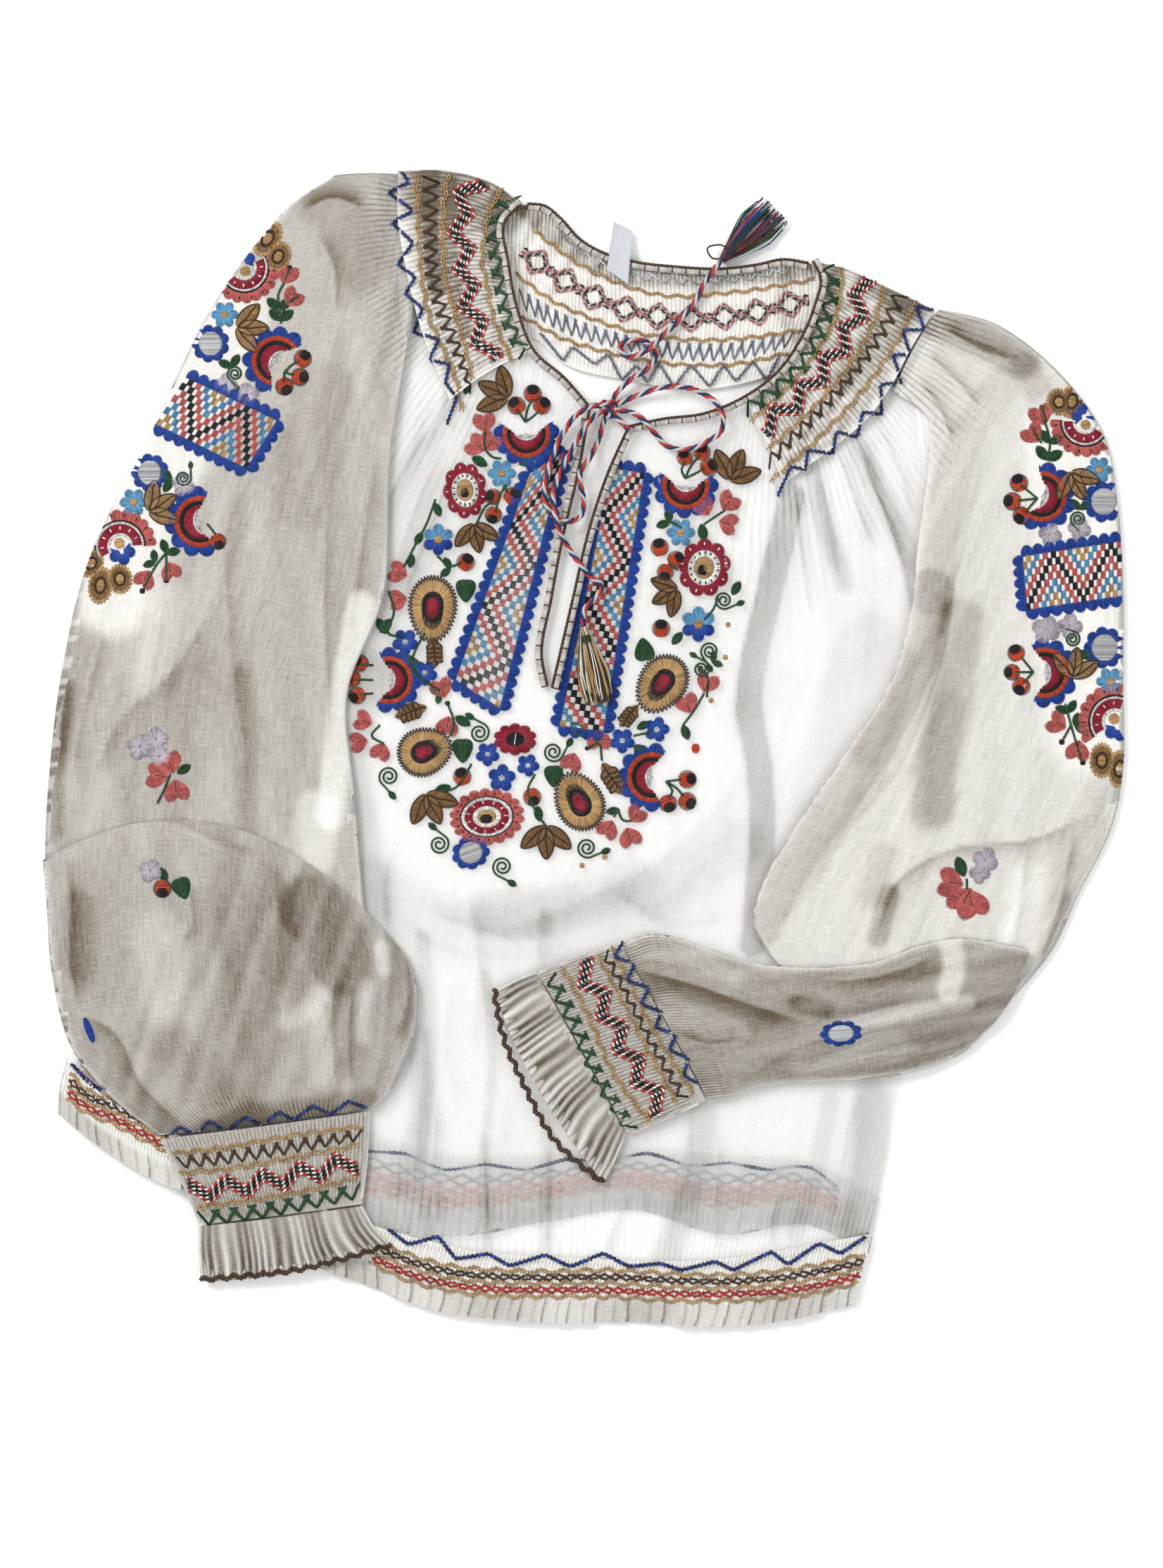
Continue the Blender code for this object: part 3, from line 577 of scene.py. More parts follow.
class Ground:
    """Meshes below a sheet or a needle, read as heights in millimetres."""

    def __init__(self, *things: bpy.types.Object) -> None:
        """Gather the faces of all meshes in one tree.

        Args:
            things: objects that lie below.
        """
        corners: list[Vector] = []
        faces: list[list[int]] = []
        for thing in things:
            start = len(corners)
            corners.extend(vert.co / MM for vert in thing.data.vertices)
            faces.extend([start + corner for corner in face.vertices] for face in thing.data.polygons)
        self.tree = BVHTree.FromPolygons(corners, faces)

    def read(self, points: np.ndarray, above: bool = True, strict: bool = False) -> np.ndarray:
        """Read heights.

        Args:
            points: plan points in any shape that ends in 2.
            above: take the upper side rather than the underside.
            strict: give nan where nothing lies below, rather than the nearest height.

        Returns:
            One height for each point.
        """
        start, way = (60.0, Vector((0, 0, -1))) if above else (-20.0, Vector((0, 0, 1)))
        flat = points.reshape(-1, 2)
        heights = np.full(len(flat), np.nan)
        for index, (x, y) in enumerate(flat):
            hit = self.tree.ray_cast(Vector((x, y, start)), way)[0]
            if hit is None and not strict:
                hit = self.tree.find_nearest(Vector((x, y, 6.0)))[0]
            if hit is not None:
                heights[index] = hit.z
        return heights.reshape(points.shape[:-1])


def ground_of(*names: str) -> Ground:
    """Ground made of the pieces or nodes with these names."""
    return Ground(*(bpy.data.objects[name] for name in names))


@dataclass
class Skin:
    """One cloth surface over a grid of points, open or joined round into a tube.

    The grid is rows x columns x 3; the tone, where given, has one value for each point and holds layers of
    cloth with the painted shade of their folds.
    """

    name: str
    grid: np.ndarray
    finish: Voile
    slot: str
    nodes: tuple[str, ...]
    density_and_shade: np.ndarray | None = None
    joined: bool = False
    hole: np.ndarray | None = None
    gathers: Gathers | None = None

    def build(self) -> bpy.types.Object:
        """Make the mesh, its UV map in millimetres and its shading, and hand it to the frame.

        Returns:
            The finished object.
        """
        rows, columns = self.grid.shape[0] - 1, self.grid.shape[1] - 1
        bm = bmesh.new()
        bmesh.ops.create_grid(bm, x_segments=columns, y_segments=rows, size=0.5)
        mesh = baked(bm, self.name)
        spots = read_points(mesh)
        column = np.rint((spots[:, 0] + 0.5) * columns).astype(int)
        row = np.rint((spots[:, 1] + 0.5) * rows).astype(int)
        write_points(mesh, self.grid[row, column] * MM)
        blank = np.zeros(self.grid.shape[:2])
        phase, gather = self.gathers or (blank, blank)
        # The first attribute holds layers of cloth and the painted shade of folds together
        for title, values in (("layers", blank if self.density_and_shade is None else self.density_and_shade),
                              ("phase", phase), ("gather", gather)):
            layer = mesh.attributes.new(title, "FLOAT", "POINT")
            layer.data.foreach_set("value", values[row, column].astype(np.float32))
        across = np.linalg.norm(np.diff(self.grid, axis=1), axis=2).mean(axis=0)
        along = np.linalg.norm(np.diff(self.grid, axis=0), axis=2).mean(axis=1)
        across, along = (np.concatenate(([0.0], np.cumsum(steps))) for steps in (across, along))
        corners = np.empty(len(mesh.loops), np.int32)
        mesh.loops.foreach_get("vertex_index", corners)
        chart = mesh.uv_layers.new(name="cloth")
        chart.data.foreach_set(
            "uv", np.stack((across[column[corners]], along[row[corners]]), axis=1).astype(np.float32).ravel())
        bm = bmesh.new()
        bm.from_mesh(mesh)
        if self.hole is not None:
            bm.faces.ensure_lookup_table()
            gone = [face for face in bm.faces if all(
                self.hole[row[vert.index], column[vert.index]] for vert in face.verts)]
            bmesh.ops.delete(bm, geom=gone, context="FACES")
        if self.joined:
            bmesh.ops.remove_doubles(bm, verts=bm.verts, dist=1e-6)
            bmesh.ops.recalc_face_normals(bm, faces=bm.faces)
        elif sum(face.normal.z for face in bm.faces) < 0:
            bmesh.ops.reverse_faces(bm, faces=bm.faces)
        for face in bm.faces:
            face.smooth = True
        bm.to_mesh(mesh)
        bm.free()
        return present(self.name, mesh, [self.finish.material()], self.nodes)


def read_points(mesh: bpy.types.Mesh) -> np.ndarray:
    """Vertex places of a mesh as an array of rows of three.

    Args:
        mesh: mesh to read.

    Returns:
        Its points in millimetres.
    """
    spots = np.empty(3 * len(mesh.vertices), np.float32)
    mesh.vertices.foreach_get("co", spots)
    return spots.reshape(-1, 3).astype(float)


def write_points(mesh: bpy.types.Mesh, spots: np.ndarray) -> None:
    """Move a mesh's vertices to the given places, in metres."""
    mesh.vertices.foreach_set("co", spots.astype(np.float32).ravel())
    mesh.update()


def baked(bm: bmesh.types.BMesh, name: str) -> bpy.types.Mesh:
    """Turn a bmesh into a mesh and free it.

    Args:
        bm: the bmesh.
        name: name of the mesh.

    Returns:
        The new mesh.
    """
    mesh = bpy.data.meshes.new(name)
    bm.to_mesh(mesh)
    bm.free()
    return mesh


def present(name: str, mesh: bpy.types.Mesh, materials: Sequence[bpy.types.Material],
            nodes: Sequence[str] = ()) -> bpy.types.Object:
    """Link a finished mesh as a piece of the blouse.

    Args:
        name: the piece's name.
        mesh: its mesh, in place and in metres.
        materials: its materials, in slot order.
        nodes: CAD nodes that the piece stands for.

    Returns:
        The new object.
    """
    for material in materials:
        mesh.materials.append(material)
    piece = bpy.data.objects.new(name, mesh)
    bpy.context.scene.collection.objects.link(piece)
    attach(piece, "root")
    if nodes:
        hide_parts(*nodes)
    LOG.info("%s: %d faces", name, len(mesh.polygons))
    return piece


# Edge curves, columns x, y
FRONT_TOP_LEFT = ((-96, 262), (-66, 262), (-42, 262), (-36, 238), (-27, 214), (-10, 200), (4, 184))
FRONT_TOP_RIGHT = (
    (24, 174), (42, 178), (65, 181), (85, 189), (103, 202), (116, 220), (124, 240), (127, 252), (150, 246),
    (170, 240))
BODY_LEFT = ((-96, 262), (-100, 215), (-125, 170), (-190, 90), (-240, -14), (-278, -166))
BODY_RIGHT = (
    (170, 240), (178, 200), (187, 140), (190, 60), (190, -40), (180, -140), (165, -219), (155, -261))
FRONT_HEM_LEFT = (
    (-278, -166), (-258, -187), (-222, -206), (-182, -229), (-144, -246), (-105, -259), (-53, -271),
    (-22, -273))
FRONT_HEM_RIGHT = ((-6, -274), (41, -276), (70, -275), (101, -271), (128, -266), (155, -261))
RUFFLE_BOTTOM = (
    (-283, -197), (-255, -218), (-225, -235), (-204, -241), (-144, -279), (-117, -289), (-82, -302),
    (-35, -308.5), (37, -309.5), (65, -311.5), (95, -310), (146, -300))
HEM_LEFT = ((-282, -181), (-283, -197))
HEM_RIGHT = ((150, -283), (146, -300))
BACK_TOP = (
    (-96, 262), (-70, 288), (-34, 293), (-13, 286), (-2, 275), (12, 267), (39, 261), (76, 259), (93, 261),
    (118, 265), (145, 255), (170, 240))
BACK_LEFT = ((-96, 262), (-98, 215), (-120, 170), (-184, 90), (-234, -14), (-273, -158))
BACK_RIGHT = ((170, 240), (176, 200), (184, 140), (187, 60), (186, -40), (176, -140), (160, -242))
BACK_HEM = (
    (-273, -158), (-201, -189), (-117, -208), (-72, -219), (-19, -219), (27, -215), (76, -219), (122, -223),
    (160, -242))
BACK_RUFFLE = (
    (-273, -189), (-201, -234), (-117, -257), (-72, -263), (-19, -255), (27, -249), (76, -262), (122, -257),
    (154, -272))
NECK_LEFT = ((-33, 293), (-42, 283), (-40, 262), (-35, 236), (-26, 214), (-10, 200), (4, 184))
NECK_RIGHT = (
    (24, 174), (42, 178), (65, 181), (85, 189), (103, 202), (116, 220), (124, 239), (127, 253), (123, 262))
NECK_BACK = (
    (-30, 294), (-21, 293), (-12, 286), (-2, 275), (12, 267), (26, 263), (50, 260), (76, 259), (93, 261),
    (108, 264), (121, 262))

# Yoke corners follow the shoulder fold, the neck edge and the outer row of stitches
YOKE_BACK_EDGES = {
    "neck": (
        (-44, 291), (-30, 293), (-21, 292), (-12, 285), (-2, 274), (12, 266), (26, 262), (50, 259),
        (76, 258), (93, 260), (108, 263), (126, 261)),
    "stitches": ((-44, 228), (-25, 220), (-11, 208), (22, 199), (68, 194), (90, 198), (118, 208)),
    "left": ((-44, 291), (-45, 260), (-44, 228)),
    "right": ((126, 261), (127, 238), (118, 208))}
YOKE_LEFT_EDGES = {
    "inner": ((-33, 293), (-43, 281), (-41, 262), (-36, 238), (-28, 214)),
    "outer": ((-100, 311), (-100, 285), (-96, 260), (-91, 238), (-83, 213), (-72, 188)),
    "fold": ((-33, 293), (-50, 305), (-72, 311), (-100, 311)),
    "front": ((-28, 214), (-42, 208), (-56, 200), (-72, 188))}
YOKE_RIGHT_EDGES = {
    "inner": ((124, 262), (127, 253), (124, 239), (116, 220), (103, 202), (88, 190)),
    "outer": ((189, 236), (176, 215), (166, 196), (152, 177), (134, 162), (108, 143)),
    "fold": ((124, 262), (139, 259), (160, 250), (189, 236)),
    "front": ((88, 190), (93, 174), (101, 158), (108, 143))}

# Slit: share of the front's height, left edge x, y, right edge x, y; it closes at a third, in the last
# of its open rows
OPEN_ROWS = 6
SLIT = (
    (0.00, 4, 184, 24, 174), (0.08, -3, 146, 12, 147), (0.15, -10, 117, 3, 120), (0.22, -17, 80, -6, 82),
    (0.28, -22, 49, -13, 52), (1 / 3, -19, 34, -17.5, 33), (0.45, -19, -15, -11, -15),
    (0.70, -20, -130, -6, -130), (1.00, -22, -273, -6, -274))

# Sleeve sections, columns left x, y, middle x, y, right x, y, from the shoulder to the hand
SLEEVE_LEFT = (
    (-134, 309, -114, 310, -90, 309), (-163, 288, -126, 290, -90, 286), (-201, 237, -148, 238, -92, 235),
    (-234, 169, -170, 166, -104, 158), (-266, 104, -188, 96, -107, 85), (-281, 43, -204, 38, -127, 30),
    (-288, -14, -206, -18, -123, -25), (-290, -60, -204, -74, -118, -86),
    (-286, -92, -200, -104, -112, -116))
SLEEVE_RIGHT = (
    (167, 192, 178, 216, 192, 237), (184, 180, 203, 206, 224, 228), (186, 165, 222, 188, 256, 203),
    (184, 140, 234, 158, 280, 170), (180, 112, 236, 124, 288, 132), (176, 74, 233, 80, 291, 85),
    (165, 36, 228, 36, 291, 36), (141, -2, 216, -6, 291, -10), (116, -39, 199, -44, 284, -44),
    (97, -71, 181, -78, 267, -78), (92, -98, 168, -108, 253, -108), (112, -126, 172, -138, 232, -134))
FORE_LEFT = (
    (-291, -60, -190, -42, -95, -112), (-289, -82, -190, -74, -89, -132),
    (-286, -122, -190, -120, -92, -158), (-276, -160, -186, -160, -101, -180),
    (-254, -188, -180, -188, -110, -191), (-229, -208, -172, -202, -115, -194))
FORE_RIGHT = (
    (240, -108, 234, -128, 220, -149), (205, -102, 204, -134, 204, -164), (180, -106, 181, -140, 182, -173),
    (150, -116, 150, -146, 150, -178), (96, -116, 99, -148, 101, -181), (43, -100, 60, -146, 80, -187),
    (20, -105, 44, -146, 67, -189))
CUFF_LEFT = (
    (-228, -210, -172, -203, -115, -195), (-216, -234, -168, -225, -116, -220),
    (-207, -256, -163, -251, -119, -245))
CUFF_RIGHT = (
    (19, -105, 44, -147, 66, -190), (-4, -112, 22, -152, 44, -200), (-25, -120, -2, -160, 24, -208))
RUFFLE_LEFT = (
    (-207, -257, -163, -252, -119, -246), (-207, -273, -160, -268, -112, -258),
    (-206, -287, -157, -282, -103, -268))
RUFFLE_RIGHT = (
    (-26, -120, -3, -160, 23, -208), (-38, -125, -16, -170, 17, -222), (-48, -130, -26, -180, 11, -234))

# Edges of the tag, from its sewn foot to its folded tip
LABEL_EDGES = {
    "foot": ((12.5, 258), (24, 250)),
    "tip": ((16.5, 284), (26.5, 279)),
    "left": ((12.5, 258), (16.5, 284)),
    "right": ((24, 250), (26.5, 279))}

# Drawstring routes, columns x, y, z, each from the slit's corner through the knot to its tassel
CORD_LEFT = (
    (4.0, 184.5, 8.6), (9.0, 184.8, 7.6), (14.5, 185.0, 5.6), (19.3, 186.3, 3.6), (26.7, 189.4, 3.4),
    (34.2, 192.1, 4.5), (42.0, 194.4, 6.5), (49.9, 195.0, 5.7), (57.9, 193.7, 7.1), (65.3, 190.6, 6.0),
    (71.4, 185.5, 9.8), (75.1, 178.4, 9.5), (73.7, 170.5, 6.1), (67.3, 165.7, 5.6), (60.0, 162.1, 5.4),
    (52.1, 161.0, 5.3), (44.5, 163.3, 5.1), (38.8, 169.1, 6.8), (33.7, 175.3, 8.9), (27.5, 180.3, 5.5),
    (19.8, 182.2, 4.0), (13.5, 182.6, 6.6), (8.0, 180.3, 7.6), (2.2, 174.4, 12.9), (-2.5, 167.6, 9.5),
    (-6.4, 160.2, 8.0), (-10.6, 153.0, 5.7), (-13.9, 145.4, 4.9), (-16.0, 137.4, 5.0), (-15.9, 129.1, 10.0),
    (-14.2, 120.9, 11.9), (-11.1, 113.2, 8.2), (-6.9, 106.1, 5.7), (-2.1, 99.3, 9.2), (3.2, 92.8, 7.5),
    (9.9, 87.5, 5.7), (5.8, 80.7, 7.7), (0.4, 74.6, 7.6), (-0.2, 66.3, 5.3))
CORD_RIGHT = (
    (24.5, 171.5, 8.2), (21.2, 174.7, 7.6), (17.2, 178.6, 5.6), (13.0, 182.2, 5.0), (7.2, 184.4, 8.3),
    (-0.3, 181.5, 13.4), (-6.4, 176.7, 7.6), (-10.9, 170.0, 5.3), (-14.5, 162.9, 4.9), (-17.3, 155.4, 4.8),
    (-19.4, 147.7, 4.8), (-21.1, 139.8, 4.8), (-20.1, 131.9, 4.9), (-16.1, 125.2, 6.4), (-8.6, 122.0, 8.3),
    (-1.4, 125.5, 4.8), (0.2, 133.0, 4.2), (-1.4, 141.0, 7.2), (-1.8, 148.5, 6.9), (2.6, 155.4, 6.9),
    (6.4, 162.4, 4.2), (9.2, 169.8, 3.6), (11.2, 177.5, 3.8), (14.0, 184.0, 4.6), (16.3, 189.3, 3.6),
    (21.6, 195.6, 5.2), (28.0, 200.6, 5.8), (35.1, 205.1, 5.7), (39.0, 212.2, 5.5), (34.3, 218.5, 5.7),
    (26.1, 220.0, 5.4), (19.2, 216.3, 5.8), (23.4, 211.1, 5.6), (31.6, 212.7, 9.6), (38.0, 217.6, 9.5),
    (43.8, 223.6, 5.8), (50.0, 229.0, 5.6), (55.7, 234.9, 5.4), (60.5, 241.5, 5.3), (64.3, 248.8, 6.2),
    (68.7, 255.7, 9.6), (73.7, 262.2, 6.2))

# Loose ends of the threads that tie the tassels, columns x, y
LOWER_TIE = ((0, 6.3), (-5.3, 8.9), (-6.5, 13.5), (-1.9, 12.7), (1.5, 8.2))
UPPER_TIE = (
    (80.2, 267.3), (73.3, 271.1), (66.5, 268.9), (68.8, 264.3), (76.4, 264.3), (80.9, 266.9), (87.8, 271.1),
    (96.1, 273.4), (99.9, 276.4))

# Painted shade of folds, and lighter places where the strength is negative, partly bare single cloth
# and partly painted highlight: strength, half width, edge and route of a soft stroke, or strength,
# reach and route of a crease
FRONT_SHADE = (
    (0.40, 7.5, 1.8, (
        (112.1, 136.2), (105.6, 107.7), (99.6, 81.1), (93.1, 54.5), (89.3, 24.1), (94.6, -10.1),
        (96.1, -48.1), (93.9, -78.5), (91.6, -105.1))),
    (0.14, 6.0, ((104.5, 136.2), (96.9, 103.9), (90.1, 73.5), (82.5, 43.1), (80.2, 12.7), (84.7, -10.1))),
    (0.14, 16.0, 12.0, ((-71.8, 176.1), (-94.6, 130.5), (-109.8, 81.1), (-119.3, 39.3))),
    (0.30, 8.0, ((-95.8, 203.1), (-109.8, 176.1), (-123.1, 145.7))),
    (0.30, 7.0, ((-85.1, 176.1), (-102.2, 141.9), (-115.5, 111.5))),
    (0.24, 10.0, ((-76.4, 165.5), (-92.7, 126.7), (-106.8, 81.1), (-117.4, 43.1))),
    (0.35, 6.0, ((-61.2, 166.6), (-77.5, 134.3), (-90.8, 100.1), (-102.2, 69.7))),
    (0.30, 4.0, ((-71.8, 206.5), (-75.6, 187.5), (-87, 160.9))),
    (0.26, 14.0, 10.0, ((-117.4, 39.3), (-128.8, 1.3), (-123.1, -44.3), (-117.4, -86.1))),
    (0.22, 5.0, ((-102.2, -44.3), (-107.9, -74.7), (-104.1, -105.1), (-87, -135.5))),
    (0.14, 14.0, 14.0, ((-117.4, -70.9), (-71.8, -93.7), (-11, -89.9), (42.2, -78.5), (84, -51.9))),
    (0.20, 7.0, ((11.8, -74.7), (49.8, -97.5), (84, -89.9))),
    (0.26, 7.0, 8.0, ((-90.1, -154.5), (-87, -196.3), (-96.5, -234.3))),
    (0.16, 9.0, ((88.5, -0.9), (69.5, -32.9), (33.8, -63.3), (-11, -86.1), (-49, -98.2))),
    (0.14, -8.0, ((-102.2, -86.8), (-71.8, -107), (-33.8, -108.9), (11.8, -99.4))),
    (0.16, 6.0, ((-61.9, -75.4), (-56.6, -127.9), (-61.2, -167.8))),
    (0.14, 6.0, ((-71.8, -124.1), (-74.9, -158.3), (-68, -200.1))),
    (0.16, 7.0, ((-40.7, -183), (-46, -216), (-44.5, -241.9))),
    (0.18, 7.0, ((-107.9, -86.1), (-111.3, -127.1), (-102.2, -158.3), (-85.5, -177.3))),
    (0.10, 14.0, 12.0, ((114.4, -70.9), (135.3, -51.9), (148.6, -21.5))),
    (0.13, 6.0, ((122, 138.1), (129.6, 92.5), (131.5, 43.1))),
    (0.12, 6.0, ((146.7, 138.1), (149.3, 100.1), (144.8, 50.7))),
    (0.14, 5.0, ((68.8, -55.7), (49.8, -75.4), (19.4, -89.9))),
    (0.15, 8.0, 5.0, (
        (-109.8, -238.1), (-71.8, -247.6), (-26.2, -243.8), (19.4, -238.1), (65, -241.9), (106.8, -249.5),
        (141, -250.2))),
    (0.22, 6.0, ((-87, -86.1), (-49, -101.3), (-11, -101.3))),
    (0.14, 13.0, 10.0, ((-49, -88), (-11, -84.2), (27, -70.9))),
    (0.18, 4.0, 3.0, ((-87, -101.3), (-82.5, -158.3), (-86.3, -219.1), (-84.7, -257.1))),
    (0.45, 3.0, ((-77.9, -188.7), (-80.6, -226.7), (-77.5, -264.7))),
    (0.20, 3.0, 2.0, ((-52.8, -120.3), (-49, -165.9), (-53.6, -222.9), (-52.1, -270.4))),
    (0.40, 2.6, ((-55.1, -203.9), (-52.8, -241.9), (-51.7, -272.3))),
    (0.16, 4.0, 3.0, ((-20.5, -89.9), (-22.4, -146.9), (-19.4, -203.9), (-21.7, -268.5))),
    (0.42, 2.6, ((-18.6, -211.5), (-20.9, -241.9), (-19.8, -273))),
    (0.40, 2.6, ((23.9, -241.9), (16.3, -257.1), (10.6, -272.3))),
    (0.20, 8.0, 3.0, ((66.5, -181.1), (61.9, -219.1), (52.8, -249.5), (44.5, -274.2))),
    (0.20, 5.0, ((55.5, -188.7), (55.5, -226.7), (47.9, -249.5), (42.9, -276.1))),
    (0.40, 2.6, ((73.3, -203.9), (71.4, -241.9), (71.1, -275.3))),
    (0.42, 3.0, ((106.8, -234.3), (101.8, -253.3), (100.7, -271.5))),
    (0.20, 5.0, 3.0, ((133.4, -188.7), (125.8, -226.7), (114.4, -260.9))),
    (0.26, 5.0, ((146.7, -181.1), (139.1, -219.1), (129.6, -259))),
    (0.30, 10.0, 7.0, ((156.2, -188.7), (154.3, -222.9), (147.8, -257.1))),
    (0.60, 4.0, ((142.9, 176.1), (156.2, 141.9), (171.8, 97.1), (177.8, 60.2))),
    (0.40, 3.5, ((133.4, 166.6), (144.8, 138.1), (156.2, 103.9))),
    (0.36, 3.0, ((122.7, 155.2), (130.3, 122.9), (137.2, 88.7))),
    (0.34, 3.0, ((112.9, 145.7), (116.7, 107.7), (122, 69.7))),
    (0.30, 3.0, ((156.2, 179.9), (169.5, 149.5), (179, 119.1))),
    (0.22, 5.0, 4.0, ((122, 153.3), (129.6, 122.9), (141, 88.7))),
    (0.20, 6.0, 5.0, ((148.6, 160.9), (163.8, 130.5), (179, 100.1))),
    (0.12, 14.0, 12.0, ((152.4, 62.1), (133.4, 5.1), (122, -51.9))),
    (0.22, 8.0, ((175.2, 46.9), (158.1, 5.1), (129.6, -36.7))),
    (0.16, 5.0, ((156.2, 107.7), (152.4, 69.7), (150.5, 31.7))))
SLEEVE_LEFT_SHADE = (
    (0.12, 11.0, (
        (-147.8, 191.3), (-163, 168.5), (-182, 141.9), (-192.7, 115.3), (-191.5, 77.3), (-188.5, 39.3),
        (-182.8, 1.3), (-181.3, -38.6))),
    (0.08, 16.0, 10.0, ((-139.5, 191.3), (-144, 160.9), (-149.3, 130.5))),
    (-0.36, 20.0, 12.0, (
        (-189.6, 233.1), (-208.6, 191.3), (-227.6, 145.7), (-246.6, 103.9), (-252.3, 81.1))),
    (-0.10, 12.0, 14.0, ((-223.8, 77.3), (-237.1, 43.1))),
    (0.06, 18.0, 12.0, ((-204.8, 31.7), (-220, -6.3), (-233.3, -32.9))),
    (0.18, 6.0, 7.0, ((-280.1, 31.7), (-285.4, -6.3), (-286.1, -44.3))),
    (0.18, 12.0, ((-199.1, 79.2), (-220, 43.1), (-246.6, 18.4), (-266.4, -17.7))),
    (-0.38, 7.0, 6.0, ((-119.7, 77.3), (-127.3, 39.3), (-131.9, 1.3), (-136.4, -36.7))),
    (-0.26, 10.0, 8.0, ((-143.3, -32.9), (-144.8, -57.6))),
    (0.20, 6.0, ((-110.6, 160.9), (-117.4, 122.9), (-123.1, 84.9), (-129.6, 50.7))),
    (0.20, 5.0, ((-136.4, 138.1), (-139.5, 81.1), (-137.2, 24.1), (-137.9, -25.3))),
    (0.26, 5.0, ((-270.2, 73.5), (-278.9, 31.7), (-284.6, -17.7))),
    (0.22, 5.0, ((-258, 62.1), (-268.7, 24.1), (-275.5, -17.7))),
    (0.10, 14.0, 10.0, ((-144, 297), (-128.8, 286.3), (-119.3, 259.7))),
    (0.34, 5.0, ((-151.6, 290.1), (-136.4, 296.6), (-117.4, 291.6))),
    (0.28, 5.0, ((-144, 278.7), (-134.5, 259.7), (-133.4, 233.1))),
    (0.10, 6.0, 8.0, ((-183.9, 39.3), (-181.3, -6.3), (-179.7, -44.3))))
SLEEVE_RIGHT_SHADE = (
    (0.20, 12.0, 4.0, (
        (94.6, -96.7), (109.8, -65.2), (132.6, -32.1), (156.2, 2.9), (174.4, 39.3), (187.3, 84.9))),
    (0.12, 10.0, 4.0, ((187.3, 81.1), (194.9, 130.5), (206.3, 168.5), (224.6, 195.1))),
    (0.20, 8.0, (
        (95.8, -103.2), (119.3, -81.1), (143.3, -44.3), (169.1, -12.7), (182.4, 16.1), (193, 47.3),
        (203.3, 102.4), (211.3, 133.9), (219.3, 173.1))),
    (0.26, 12.0, 9.0, ((204.1, 69.7), (198, 24.1), (191.1, -4.4), (187.3, -32.9))),
    (0.10, 8.0, 9.0, ((196.1, 24.1), (191.9, -4.4), (191.1, -32.9))),
    (0.10, 8.0, 6.0, ((172.1, 46.9), (164.5, 20.3), (152.4, -2.5))),
    (0.16, 8.0, 8.0, ((162.3, -57.6), (154.7, -78.5))),
    (0.40, 6.0, ((277.8, -32.9), (242.8, -48.1), (195.3, -54.9), (166.8, -73.2), (156.2, -104.7))),
    (0.30, 6.0, 5.0, ((164.5, -78.5), (158.5, -101.3))),
    (0.28, 11.0, 7.0, ((190.4, 231.2), (213.2, 221.7), (236, 210.3))),
    (0.45, 5.0, ((190.4, 228.6), (215.1, 214.9), (234.8, 208.4))),
    (0.40, 4.0, ((182.8, 214.1), (199.9, 198.9), (213.2, 183.7))),
    (0.40, 4.0, ((179, 198.9), (192.3, 181.8), (198.7, 164.7))),
    (0.35, 5.0, ((196.1, 236.9), (224.6, 227.4), (247.4, 212.2))),
    (0.20, 8.0, 7.0, ((237.9, 206.5), (247.4, 189.4), (253.5, 179.9))),
    (0.36, 5.0, ((239, -51.9), (234.5, -86.1), (228.4, -120.3))),
    (0.36, 5.0, ((264.1, -44.3), (256.9, -82.3), (243.6, -120.3))),
    (0.20, 9.0, 9.0, ((256.9, -86.1), (251.2, -112.7), (232.2, -139.3))),
    (-0.24, 10.0, 9.0, ((240.5, -70.9), (236, -93.7), (232.2, -108.9))),
    (0.14, 12.0, 14.0, ((281.6, -29.1), (262.6, -70.9))),
    (-0.27, 22.0, 12.0, ((258.8, 168.5), (266.4, 115.3), (266.4, 62.1), (270.2, 8.9))))
